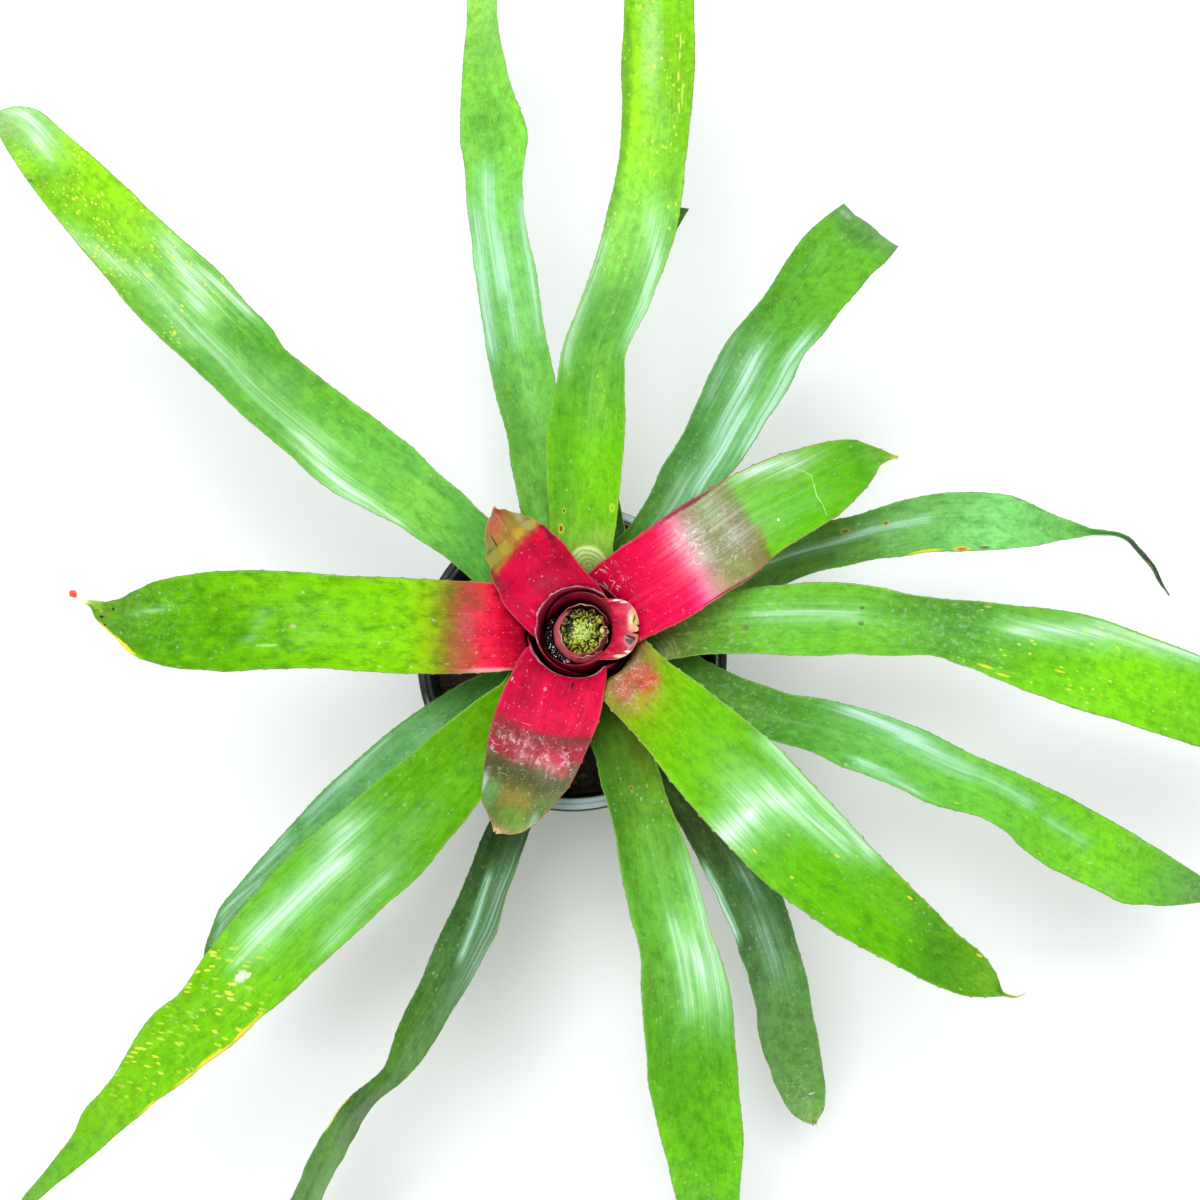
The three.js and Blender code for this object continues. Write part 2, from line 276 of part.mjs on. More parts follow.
for (let i = 0; i < P.holeCount; i++) {
  const a = (i + 0.5) / P.holeCount * 2 * Math.PI;
  const drill = new THREE.CylinderGeometry(P.holeRadius, P.holeRadius, 8, 12);
  drill.rotateX(Math.PI / 2);
  drill.translate(P.holeCircle * Math.cos(a), P.holeCircle * Math.sin(a), 1);
  pot = pot.subtract(toSolid(drill));
}
add('pot', fromSolid(pot), 0x17181a, 0.38);

// ---------------------------------------------------------------- potting mix, with the pocket the stem stands in
const soilRadius = (z) => wallOuter(z) - P.wall - SOIL.gap;
let soil = toSolid(turned([
  [0, SOIL.bottom], [P.baseRadius - P.wall - 2.4, SOIL.bottom], [P.baseRadius - P.wall - SOIL.gap - 0.2, 4.0],
  [soilRadius(60), 60], [soilRadius(SOIL.top) - 0.1, SOIL.top - 2.5], [soilRadius(SOIL.top) - 2.5, SOIL.top - 0.6], [0, SOIL.top],
], P.segments));
const pocket = new THREE.CylinderGeometry(SOIL.pocketRadius, SOIL.pocketRadius, 40, 28);
pocket.rotateX(Math.PI / 2);
pocket.translate(AXIS.x, AXIS.y, SOIL.pocketBottom + 20);
soil = soil.subtract(toSolid(pocket));
add('potting_mix', fromSolid(soil), 0x241b15, 0.95);

// ---------------------------------------------------------------- stem: short thick foot and the stalk of the flower head
const stem = turned([
  [0, STEM.bottom], [STEM.radius - 1.5, STEM.bottom], [STEM.radius, STEM.bottom + 1.5], [STEM.radius, STEM.shoulder - 2],
  [STEM.radius - 1.2, STEM.shoulder], [STEM.scapeRadius + 1.2, STEM.neck], [STEM.scapeRadius, STEM.neck + 5], [STEM.scapeRadius, STEM.scapeTop - 4], [STEM.scapeRadius + 0.6, STEM.scapeTop], [0, STEM.scapeTop],
], 24);
stem.translate(AXIS.x, AXIS.y, 0);
add('stem', fromSolid(toSolid(stem)), 0x7d8b3d, 0.7);

// ---------------------------------------------------------------- leaves
for (let k = 0; k < LEAVES.length; k++) add(LEAVES[k].name, shell(leafRows(k), LEAF_THICKNESS), LEAVES[k].colour, 0.35);

// ---------------------------------------------------------------- bracts round the flower head
for (const b of BRACTS) {
  const rows = [];
  const levels = [0, 0.2, 0.45, 0.72, 1];
  for (const t of levels) {
    const row = [];
    for (let i = 0; i <= 10; i++) {
      const u = -1 + i / 5;
      const half = b.half * (0.62 + 0.38 * Math.sin(Math.PI * Math.min(1, t * 0.62 + 0.1)));
      const a = (b.az + u * half) * DEG;
      const swell = Math.sin(Math.PI / 2 * Math.min(1, t * 1.35));
      const r = THREE.MathUtils.lerp(BRACT.lowRadius + (b.radius - 12) * 0.7, b.radius, swell);
      const z = THREE.MathUtils.lerp(BRACT.bottom, b.top, t) + t * t * b.point * (Math.exp(-u * u * 14) - 0.9 * Math.abs(u) ** 3);
      row.push(new THREE.Vector3(HEAD.x + r * Math.cos(a), HEAD.y + r * Math.sin(a), z));
    }
    rows.push(row);
  }
  add(b.name, shell(rows, BRACT.thickness, 0.6), 0xc8505c, 0.45);
}

// ---------------------------------------------------------------- flower head: one domed cluster of close-set buds
{
  const rings = 9, around = 33, pos = [], tri = [];
  const zMid = (HEAD.bottom + HEAD.top) / 2;
  pos.push(HEAD.x, HEAD.y, HEAD.bottom);
  const profile = [[0.5, 0.0], [0.62, 0.2], [0.8, 0.42], [0.95, 0.64], [1.0, 0.82], [0.9, 0.93], [0.66, 0.985], [0.4, 0.95], [0.2, 1.0]];
  for (let i = 0; i < rings; i++) {
    for (let j = 0; j < around; j++) {
      const a = j / around * 2 * Math.PI;
      const bump = i >= 3 ? 0.05 * Math.cos(HEAD.lobes * a + (i > 5 ? Math.PI : 0)) : 0;
      const r = HEAD.radius * (profile[i][0] - 0.05 * (i > 2 ? 1 : 0) + bump);
      const z = THREE.MathUtils.lerp(HEAD.bottom, HEAD.top, profile[i][1]) + (i >= 4 && i < 8 ? 0.5 * Math.cos(HEAD.lobes * a) : 0);
      pos.push(HEAD.x + r * Math.cos(a), HEAD.y + r * Math.sin(a), z);
    }
  }
  pos.push(HEAD.x, HEAD.y, HEAD.top + 0.6);
  const id = (i, j) => 1 + i * around + (j % around);
  for (let j = 0; j < around; j++) {
    tri.push(0, id(0, j + 1), id(0, j));
    tri.push(pos.length / 3 - 1, id(rings - 1, j), id(rings - 1, j + 1));
    for (let i = 0; i < rings - 1; i++) {
      tri.push(id(i, j), id(i, j + 1), id(i + 1, j + 1));
      tri.push(id(i, j), id(i + 1, j + 1), id(i + 1, j));
    }
  }
  add('flower_head', outward(pos, tri), 0x93a52c, 0.5);
}

// ---------------------------------------------------------------- litter lying in the cup
{
  const rows = [];
  const n = 12;
  const pos = [], tri = [];
  for (let i = 0; i <= n; i++) {
    const t = i / n, a = THREE.MathUtils.lerp(LITTER.from, LITTER.to, t) * DEG;
    const w = LITTER.half * (0.35 + 0.65 * Math.sin(Math.PI * t));
    const h = LITTER.top - 2.2 * (1 - Math.sin(Math.PI * t));
    for (const [r, z] of [[LITTER.radius - w, LITTER.bottom], [LITTER.radius + w, LITTER.bottom], [LITTER.radius + w, h], [LITTER.radius - w, h]]) {
      pos.push(LITTER.x + (r - 1.6) * Math.cos(a), LITTER.y + (r - 1.6) * Math.sin(a), z);
    }
  }
  for (let i = 0; i < n; i++) for (let j = 0; j < 4; j++) {
    const a = i * 4 + j, b = i * 4 + (j + 1) % 4, c = a + 4, d = b + 4;
    tri.push(a, b, d, a, d, c);
  }
  tri.push(0, 2, 1, 0, 3, 2);
  const e = n * 4;
  tri.push(e, e + 1, e + 2, e, e + 2, e + 3);
  add('cup_litter', outward(pos, tri), 0x0d0c0c, 0.4);
}

export default group;
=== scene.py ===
# Neoregelia bromeliad in its nursery pot: the looks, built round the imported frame.
# Tables are in millimetres, like the CAD source; meshes are made in metres.
import bpy, bmesh, math
import numpy as np
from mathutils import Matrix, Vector


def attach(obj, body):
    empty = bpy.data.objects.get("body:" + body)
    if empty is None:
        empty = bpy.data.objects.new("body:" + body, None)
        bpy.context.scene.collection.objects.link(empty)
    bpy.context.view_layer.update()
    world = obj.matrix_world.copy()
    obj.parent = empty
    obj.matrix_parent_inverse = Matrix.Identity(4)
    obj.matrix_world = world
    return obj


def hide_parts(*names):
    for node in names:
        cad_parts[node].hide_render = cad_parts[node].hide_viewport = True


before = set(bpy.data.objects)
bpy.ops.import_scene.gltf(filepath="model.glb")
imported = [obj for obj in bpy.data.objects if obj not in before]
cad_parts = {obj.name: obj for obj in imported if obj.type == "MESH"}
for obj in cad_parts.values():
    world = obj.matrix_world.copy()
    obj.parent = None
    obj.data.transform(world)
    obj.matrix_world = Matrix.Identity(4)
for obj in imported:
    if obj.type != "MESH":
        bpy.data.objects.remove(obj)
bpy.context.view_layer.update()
MM = 0.001

# ------------------------------------------------------------------ driving dimensions, as in the CAD source
AXIS = np.array([3.8, 1.9])
SHEATH = dict(bottom=116.0, inner_low=15.0, inner_high=16.4, pitch_low=1.65, pitch_high=2.1, high=206.0, fade=36.0)
POT = dict(base=54.2, wall_top=70.2, rim=76.7, height=130.0, drop=14.5, wall=1.3, floor=2.0, holes=6, hole_r=4.5, hole_circle=42.0)
SOIL_TOP = 115.0
HEAD = dict(x=5.9, y=2.3, bottom=169.0, top=190.0, radius=10.2)

# Leaves from the innermost layer outwards: name, azimuth, half angle of the sheath at its foot and at the collar,
# how late it narrows, height of the collar, flare there, room in the stack, then stations of the blade:
# x, y, z of the midrib, half width, roll in degrees, channel depth.
LEAVES = [
    dict(name="leaf_cup_curled", az=-5, low=165, collar=56, power=8, top=206.3, flare=8, layer=1, blade=[(20, 0.2, 209.6, 13.4, 0, 1.4), (22.6, 0.2, 210.8, 13, 0, 1.2), (26, 0.1, 211.9, 11.4, 0, 0.8), (28.6, 0, 212, 8.6, 0, 0.2), (30.6, -0.1, 211.2, 4.6, 0, -0.4)]),
    dict(name="leaf_inner_upper_left", az=122.5, low=165, collar=73.5, power=8, top=205.5, flare=8, layer=1.9, blade=[
        (-14.8, 24.3, 210, 18.5, 0, 5), (-16.7, 27.1, 212.9, 18, 0, 4.7), (-18.7, 29.7, 215.5, 17.3, 0, 4.5), (-20.5, 32.2, 217.7, 16.6, 0, 4.5), (-22.1, 34.6, 219.7, 15.4, 0, 4.6), (-23.8, 36.8, 221.3, 14.2, 0, 4.9), (-25.2, 39, 222.3, 12.8, 0, 5.1), (-26.6, 40.9, 223.2, 11.2, 0, 5.5), (-27.7, 42.7, 223.8, 9.3, 0, 5.9), (-28.6, 44.2, 224, 7.3, 0, 6), (-29.3, 45.6, 224, 5.2, 0, 5.7), (-30, 46.9, 223.8, 3.3, 0, 5.1), (-30.8, 48.2, 223.6, 1.6, 0, 4.3), (-31.3, 49.8, 223.3, 0.6, 0, 3.6), (-31.7, 50.9, 223, 0.6, 0, 3)]),
    dict(name="leaf_inner_lower", az=253.3, low=108, collar=53, power=4, top=202.5, flare=15, layer=1, blade=[
        (-3.8, -21.9, 206.5, 19.9, 0, 4), (-5.7, -28.7, 209.1, 21, 0, 3.6), (-7.9, -35.2, 211.4, 21.5, 0, 3.2), (-10.3, -41.4, 213.2, 21.3, 0, 3), (-12.3, -47.4, 215, 20.9, 0, 2.7), (-14.1, -53.3, 216.4, 20.3, 0, 2.6), (-15.9, -58.7, 217, 19.4, 0, 2.5), (-18.1, -63.7, 216.8, 18, 0, 2.6), (-20.1, -68.4, 216.2, 16.4, 0, 2.8), (-22.1, -72.7, 215.5, 14.7, 0, 3), (-23.9, -76.7, 214.7, 12.8, 0, 3), (-25.4, -79.9, 213.6, 10.2, 0, 2.9), (-26.9, -82.2, 212.3, 7.1, 0, 2.7), (-28.2, -83.8, 211, 4.1, 0, 2.4), (-29.3, -85.2, 209.8, 1.6, 0, 2.2), (-30.1, -86.1, 209, 0.6, 0, 2)]),
    dict(name="leaf_inner_upper_right", az=31, low=98, collar=50, power=4, top=201.5, flare=15, layer=1, blade=[
        (26.3, 14.5, 207, 19.7, 0, 4), (34.5, 18.7, 211.8, 20.5, 0, 3.9), (42.6, 22.7, 216.1, 21, 0, 3.7), (50, 27.3, 219.8, 21.1, 0, 3.6), (57.2, 31.8, 223.1, 21.1, 0, 3.4), (64.5, 35.9, 226.2, 21.1, 0, 3.3), (71.2, 40.4, 229, 20.2, 0, 3.1), (77.7, 44.8, 231.1, 19.6, 0, 3), (84.6, 48.5, 232.4, 19, 0, 3), (91.3, 51.9, 233.4, 18.5, 0, 3.2), (98, 54.9, 234.2, 17.9, 0, 3.6), (104.4, 57.9, 234.8, 16.9, 0, 3.8), (110.2, 61.2, 235, 15.2, 0, 4), (115.8, 64.3, 234.8, 13.2, 0, 3.9), (121.2, 67.1, 234.2, 11.1, 0, 3.7), (126.2, 69.2, 233.2, 8.2, 0, 3.2), (130.4, 70.6, 232.1, 4.7, 0, 2.8), (134.9, 71.4, 230.9, 2.5, 0, 2.3), (138.9, 71.7, 229.8, 0.9, 0, 1.8), (141.5, 71.8, 229, 0.6, 0, 1.5)]),
    dict(name="leaf_inner_left", az=177, low=98, collar=48, power=3, top=196.5, flare=20, layer=1, blade=[
        (-29, 1.3, 206, 19.4, 0, 4.5), (-39.3, 0.2, 211.6, 20, 0, 4.4), (-49.3, -0.5, 216.6, 20.2, 0, 4.3), (-59, -0.9, 220.8, 20.4, 0, 4.2), (-68.6, -1.2, 224, 20.6, 0, 4), (-78.1, -1, 226.3, 20.4, 0, 3.9), (-87.3, -0.8, 228.4, 20.2, 0, 3.8), (-96.3, -0.4, 230.2, 20.1, 0, 3.7), (-105.2, -0.1, 231.4, 20.3, 0, 3.6), (-114, 0.2, 232, 20.5, 0, 3.5), (-122.8, 0.3, 231.7, 20.8, 0, 3.5), (-131.5, 0.4, 230.8, 21.3, 0, 3.5), (-140.1, 0.4, 229.3, 21.4, 0, 3.5), (-148.6, 0.7, 227.4, 21.2, 0, 3.5), (-156.9, 0.7, 225.5, 20.6, 0, 3.5), (-164.9, 1.2, 223.5, 19.5, 0, 3.5), (-172.7, 1.7, 221.2, 17.9, 0, 3.4), (-180.3, 2.6, 218.4, 16, 0, 3.3), (-186.8, 3.9, 215.4, 12.4, 0, 3), (-192.8, 5, 212.2, 8.8, 0, 2.8), (-199, 6.7, 209.1, 6.3, 0, 2.6), (-204.5, 8.9, 206.2, 3.7, 0, 2.3), (-207.3, 10.9, 205, 2.2, 0, 1.6), (-209.7, 12.3, 204, 1, 0, 1), (-212.1, 13.2, 203.2, 0.45, 0, 0.5), (-214.2, 13.8, 202.8, 0.25, 0, 0.2), (-216.1, 14.7, 202.8, 0.16, 0, 0.1), (-217.3, 15.8, 203, 0.35, 0, 0.1), (-218.2, 16.5, 203.2, 1.5, 0, 0.3), (-219.1, 17.4, 203.4, 1.75, 0, 0.3), (-220.2, 18.3, 203.5, 0.5, 0, 0.1)]),
    dict(name="leaf_inner_lower_right", az=320, low=92, collar=45, power=3, top=191.5, flare=20, layer=1, blade=[
        (25.1, -17.7, 203, 15.5, 0, 5), (33.2, -27, 208.7, 16.1, 0, 4.8), (41.6, -35.2, 213.8, 17.3, 0, 4.6), (49.4, -43.4, 218.3, 18.4, 0, 4.4), (56.9, -51.4, 221.8, 19.8, 0, 4.2), (64.3, -59, 224.5, 20.8, 0, 4), (71.5, -66.5, 226.7, 21.5, 0, 3.7), (78.2, -74, 228.8, 21.3, 0, 3.5), (84.7, -81.4, 230.5, 21.3, 0, 3.2), (91.3, -88.3, 231.6, 21.1, 0, 3.1), (98.2, -94.6, 232, 20.4, 0, 3), (105, -100.7, 231.5, 19.5, 0, 3), (111.8, -106.6, 230.2, 18.5, 0, 3), (118.8, -112.2, 228.3, 17.7, 0, 3), (125.9, -117.4, 226.1, 16.6, 0, 3), (132.9, -122.4, 223.6, 15.4, 0, 3), (139.8, -127.2, 221.1, 14.3, 0, 3), (146.5, -131.9, 218.3, 13.1, 0, 3), (153.2, -136.3, 215, 12, 0, 2.8), (160.2, -140.3, 211.2, 11.1, 0, 2.7), (166.9, -144, 207.1, 10, 0, 2.5), (173.1, -147.3, 203, 7.7, 0, 2.2), (179, -150.8, 199, 4.5, 0, 2), (181.8, -152.7, 197, 2.6, 0, 1.6), (184.1, -153.9, 195.4, 1.3, 0, 1), (186.4, -154.8, 193.8, 0.6, 0, 0.5), (189, -155.5, 192.4, 0.42, 0, 0.3), (191.6, -155.9, 191.4, 0.32, 0, 0.2), (194.2, -155.4, 190.8, 0.22, 0, 0.1), (196, -154.5, 190.6, 0.15, 0, 0.1)]),
    dict(name="leaf_outer_back", az=85, low=64, collar=42, power=2, top=186, flare=20, layer=1, blade=[
        (5.9, 40.2, 204, 13.8, 0, 5), (6.6, 53.7, 209.2, 15.2, 0, 5), (6.9, 67, 214, 16.5, 0, 5), (7.6, 80.1, 218.4, 17.3, 0, 5), (8.6, 93.1, 222.2, 16.6, 0, 5), (9.9, 105.9, 225.4, 14.8, 0, 5), (11.5, 118.7, 228.1, 13.6, 0, 5), (15.9, 130.6, 230.7, 13.3, 0, 4.8), (21.3, 142, 233.2, 14.2, 0, 4.5), (25.8, 153.8, 235.3, 14.6, 0, 4.2), (29.8, 165.8, 236.9, 15.2, 0, 3.9), (32.8, 178.1, 237.8, 15.4, 0, 3.6), (35.1, 190.8, 237.9, 14.7, 0, 3.5), (36.9, 204.2, 236.6, 14.6, 0, 3.4), (38.3, 218.1, 234.2, 15.1, 0, 3.3), (39.2, 232.5, 230.9, 15.6, 0, 3.2), (39.9, 247.2, 227, 16.2, 0, 3.2), (40.5, 262, 222.8, 16.6, 0, 3.1), (41, 276.8, 218.6, 16.6, 0, 3.1), (41.3, 291.5, 214.3, 16.5, 0, 3), (41.8, 306.4, 209.5, 16.3, 0, 2.8), (42.3, 321.7, 204, 16.2, 0, 2.7), (42.7, 337.1, 198, 15.4, 0, 2.5), (43.1, 352.4, 191.8, 14.4, 0, 2.4), (43.5, 367.2, 185.5, 12.7, 0, 2.2), (43.7, 381.5, 179.2, 10.6, 0, 2), (44.1, 394.7, 173.3, 7.8, 0, 1.9), (44.4, 406.4, 167.8, 4.6, 0, 1.7), (44.6, 416.4, 163.1, 1.8, 0, 1.6), (44.8, 422.9, 160, 0.6, 0, 1.5)]),
    dict(name="leaf_outer_front_left", az=230, low=64, collar=42, power=2, top=182, flare=20, layer=1, blade=[
        (-21.1, -34.5, 200, 14.2, 0, 5), (-31.6, -44.1, 204.9, 15.7, 0, 5), (-41.4, -53.7, 209.3, 16.6, 0, 5), (-50.4, -63.6, 213.2, 17.5, 0, 5), (-59, -73.2, 216.2, 18.9, 0, 5), (-67.9, -82.3, 218.3, 19.9, 0, 5), (-76.8, -91, 219.4, 20.8, 0, 5), (-85.9, -99.1, 220.2, 21.2, 0, 4.9), (-94.9, -107.1, 220.8, 21.4, 0, 4.7), (-103.1, -115.4, 221.4, 20.8, 0, 4.6), (-111.1, -123.6, 221.8, 20.3, 0, 4.3), (-118.9, -131.7, 222, 19.5, 0, 4.1), (-126.4, -139.7, 221.8, 18.5, 0, 3.9), (-134.2, -147.7, 219.9, 17.2, 0, 3.7), (-142, -156, 216.3, 15.7, 0, 3.5), (-150.5, -164, 211.4, 14.8, 0, 3.3), (-160.2, -171, 205.7, 15.2, 0, 3.1), (-168.9, -178.9, 199.7, 13.9, 0, 2.8), (-177.1, -187, 193.6, 11.9, 0, 2.6), (-185.1, -195.1, 187.7, 10.3, 0, 2.4), (-193.9, -202.7, 181.2, 9.3, 0, 2.2), (-202.8, -210.4, 173.9, 8.6, 0, 2.1), (-210.4, -218.8, 166.2, 6.7, 0, 1.9), (-218.8, -226.6, 158.2, 5.5, 0, 1.7), (-227.4, -234, 150.2, 4.7, 0, 1.6), (-235.5, -241.3, 142.3, 4, 0, 1.4), (-243.2, -248.1, 134.7, 3.4, 0, 1.3), (-250.3, -254.1, 127.8, 2.6, 0, 1.2), (-255.7, -259.5, 121.9, 1.1, 0, 1.1), (-259.1, -263.1, 118, 0.6, 0, 1)]),
    dict(name="leaf_outer_back_left", az=139, low=64, collar=40, power=2, top=182, flare=20, layer=1, blade=[
        (-37.6, 36.4, 197, 13.2, 0, 5), (-47.8, 44, 203.2, 13, 0.9, 5), (-57.9, 51.4, 208.9, 14, 1.7, 5), (-68, 58.3, 214, 14.8, 2.5, 5), (-78, 64.9, 218.5, 16.9, 3.2, 5), (-88.3, 71, 222.2, 17.8, 3.7, 5), (-98, 77.9, 225.3, 18.1, 4.2, 5), (-107.4, 85.1, 228.1, 17.5, 4.7, 4.9), (-116.6, 92.2, 230.8, 17.3, 5.1, 4.7), (-125.6, 99.3, 233.1, 17.1, 5.5, 4.5), (-134.1, 107.2, 234.8, 16.6, 5.8, 4.3), (-141.6, 116, 235.8, 17.9, 6, 4.1), (-150.1, 124.3, 235.9, 18, 6, 4), (-158.5, 133, 235.2, 19, 5.5, 3.9), (-167.2, 141.6, 233.7, 19.4, 4.6, 3.8), (-176.2, 150.3, 231.7, 19.1, 3.6, 3.8), (-184.8, 159.4, 229.3, 18.1, 2.4, 3.7), (-193.4, 168.6, 226.6, 17.6, 1.4, 3.6), (-201.9, 177.7, 223.7, 17, 0.4, 3.6), (-210.4, 186.9, 220.8, 16.5, -0.2, 3.5), (-219, 196.3, 217, 16.1, -0.8, 3.3), (-227.9, 206, 212.4, 15.6, -1.4, 3.2), (-236.9, 215.8, 207.2, 14.9, -1.9, 3), (-245.6, 226, 201.5, 13.8, -2.3, 2.9), (-254.1, 235.9, 195.7, 12.8, -2.7, 2.7), (-262.5, 245.3, 189.9, 11.8, -3.1, 2.5), (-270.7, 252.3, 184.4, 9.3, -3.4, 2.4), (-278.2, 257.4, 179.3, 5.9, -3.7, 2.2), (-284.3, 260.9, 174.9, 2.4, -3.9, 2.1), (-288.3, 262.9, 172, 0.6, -4, 2)]),
    dict(name="leaf_outer_right", az=358, low=62, collar=40, power=2, top=176, flare=22, layer=1, blade=[
        (46.1, 1.8, 195, 13.2, 0, 5), (60.6, 3, 200.5, 13, 0, 5), (74.7, 3.4, 205.5, 13.9, 0, 5), (88.5, 3.7, 209.8, 14.8, 0, 5), (102, 3.5, 213.2, 15.8, 0, 5), (115.3, 3, 215.7, 16.1, 0, 5), (128.4, 2, 217.4, 15.6, 0, 5), (141.1, 0.4, 218.9, 14.3, 0, 4.8), (153.7, -0.5, 220.2, 12.6, 0, 4.6), (165.8, -2.7, 221.2, 13.5, 0, 4.4), (177.5, -5.7, 221.8, 15.1, 0, 4.2), (188.9, -8.9, 222, 16.8, 0, 4), (200.7, -11.3, 220.7, 18.5, 0, 3.8), (212.7, -13.8, 218, 19.9, 0, 3.7), (225, -16.4, 214.2, 20.3, 0, 3.5), (237.2, -19.4, 209.6, 20.1, 0, 3.4), (249.3, -22.5, 204.7, 20.1, 0, 3.2), (261.3, -25.4, 199.6, 20.1, 0, 3.1), (273.3, -28.1, 194.4, 19.7, 0, 2.9), (285.5, -30.8, 187.9, 19, 0, 2.7), (298, -33.4, 180.5, 18.3, 0, 2.5), (310.2, -36.2, 172.6, 17.1, 0, 2.4), (322.3, -38.5, 164.3, 15.4, 0, 2.2), (333.7, -41.2, 156, 12.8, 0, 2), (344.3, -43, 148, 9.4, 0, 1.9), (353.7, -44.5, 140.5, 5.6, 0, 1.7), (361.7, -45.4, 134.2, 2.2, 0, 1.6), (366.9, -46.1, 130, 0.6, 0, 1.5)]),
    dict(name="leaf_outer_front", az=287, low=62, collar=38, power=2, top=170, flare=22, layer=1, blade=[
        (24.4, -52.8, 187, 12.5, 0, 6), (27.4, -64.7, 191.7, 13, 0, 5.9), (30.6, -76.1, 196, 13.1, 0, 5.8), (33.9, -87, 199.5, 13.9, 0, 5.7), (36.8, -97.7, 201.9, 14.9, 0, 5.6), (39.5, -108.2, 203, 15.5, 0, 5.5), (42.1, -118.5, 203, 15.8, 0, 5.4), (44.7, -128.5, 203, 15.9, 0, 5.3), (47, -138.4, 203, 16.9, 0, 5.3), (48.6, -148.1, 203, 18.1, 0, 5.2), (49.8, -157.7, 203, 18.7, 0, 5.1), (50.4, -167.1, 202.9, 18.5, 0, 5), (51.3, -176.5, 201, 18.4, 0, 4.9), (52.4, -186.1, 196.8, 18.6, 0, 4.7), (54.2, -195.8, 191, 18.2, 0, 4.6), (55.9, -205.6, 184.2, 17.8, 0, 4.4), (57.7, -215.3, 177.1, 17.3, 0, 4.3), (59, -224.9, 170.2, 16.3, 0, 4.1), (60.2, -234.3, 163.4, 15, 0, 3.9), (61.4, -243.7, 156, 13.7, 0, 3.6), (62.4, -253.1, 148.1, 12.5, 0, 3.3), (63.4, -262.5, 139.9, 11.4, 0, 3), (64.3, -271.4, 131.5, 9.8, 0, 2.7), (65.1, -280, 123.3, 7.9, 0, 2.4), (66.1, -287.9, 115.5, 5.7, 0, 2.1), (67, -295, 108.2, 3.5, 0, 1.9), (67.7, -301, 102.1, 1.4, 0, 1.7), (68.1, -304.9, 98, 0.6, 0, 1.5)]),
    dict(name="leaf_outer_back_right_trimmed", az=53, low=60, collar=38, power=2, top=171, flare=22, layer=1, blade=[
        (38.3, 45.6, 188, 11.7, 0, 5), (42.5, 51, 191.6, 11.8, 0, 5), (46.6, 56.5, 194.9, 12, 0, 5), (50.5, 62.2, 197.8, 13, 0, 5), (53.8, 68.3, 200.3, 13.6, 0, 5), (57.6, 74.2, 202.1, 13.2, 0, 5), (61.7, 80.2, 203.2, 14, -0, 5), (65.5, 86.5, 204, 14.8, -0.7, 5), (69, 93.1, 204.7, 15.3, -2, 5), (72.6, 99.6, 205.3, 15.5, -3.6, 5), (76.3, 106.1, 205.7, 16.4, -5, 5), (80.1, 112.7, 206, 16.7, -5.9, 5), (83.8, 119.6, 205.9, 17, -5.9, 5), (87.6, 126.7, 205.2, 16.6, -5, 4.9), (92.4, 133.5, 204, 16, -3.6, 4.7), (97.5, 140.3, 202.3, 16.2, -2, 4.5), (102.7, 147.4, 200.4, 16.3, -0.7, 4.3), (107.8, 154.6, 198.5, 16.7, -0, 4), (112.7, 162.1, 196.4, 17.4, 0, 3.9), (117.8, 169.9, 193.9, 18, 0, 3.7), (123.4, 177.7, 190.9, 18.4, 0, 3.5), (129.8, 185.1, 187.5, 18.3, 0, 3.3), (136.6, 192.5, 183.9, 17.9, 0, 3.2), (143.3, 200.2, 180, 16.9, 0, 3)]),
    dict(name="leaf_outer_back_twisted", az=102, low=60, collar=38, power=2, top=165, flare=22, layer=1, blade=[
        (-8, 58.5, 184, 14.5, 0, 4), (-10.6, 70, 188.5, 14, 0, 4.3), (-13.2, 81.3, 192.6, 13.8, 0, 4.5), (-15.4, 92.7, 196.1, 13.4, 0, 4.7), (-18.1, 104.1, 198.7, 13.5, 0, 4.9), (-20.9, 115.6, 200.4, 13.8, 0, 5), (-23.2, 127.4, 201, 13.9, 0, 5), (-25, 139.6, 200.9, 13.5, 0, 5), (-27.1, 151.7, 200.8, 13.5, 0, 5), (-29, 163.7, 200.5, 13.5, 0, 5), (-31.1, 175.6, 200.2, 13.3, 0, 5), (-33, 187.6, 199.7, 13.1, 0, 5), (-34.5, 199.4, 199.2, 13.1, 0, 5), (-35.2, 211.4, 198.4, 13.3, -0.4, 5), (-35.5, 224.2, 196.1, 14.6, -2.9, 4.8), (-36.5, 237.5, 192.5, 16.2, -7, 4.6), (-39, 251.2, 188.1, 15, -11.9, 4.3), (-41.2, 265.2, 183, 13.9, -17, 3.9), (-43.1, 279.4, 177.8, 12.6, -21.7, 3.6), (-44.7, 293.7, 172.5, 11.5, -25.6, 3.2), (-45.8, 307.7, 167.5, 10.4, -28.2, 3), (-46.4, 321.7, 162.4, 9.6, -30.2, 2.7), (-47, 335.9, 157, 9.7, -32, 2.5), (-47.7, 350.1, 151.4, 10.4, -33.7, 2.3), (-48.5, 364.1, 145.6, 10.7, -35.1, 2.1), (-49.4, 377.8, 139.9, 10.1, -36.4, 1.9), (-50.2, 391.1, 134.2, 9, -37.5, 1.7), (-50.9, 403.7, 128.6, 7, -38.3, 1.5), (-51.6, 415.5, 123.4, 5, -39, 1.3), (-52.3, 426.2, 118.7, 2.9, -39.5, 1.2), (-52.8, 435.2, 114.6, 1.2, -39.8, 1.1), (-53.2, 441.1, 112, 0.6, -40, 1)]),
    dict(name="leaf_outer_right_front", az=336, low=60, collar=38, power=2, top=160, flare=24, layer=1, blade=[
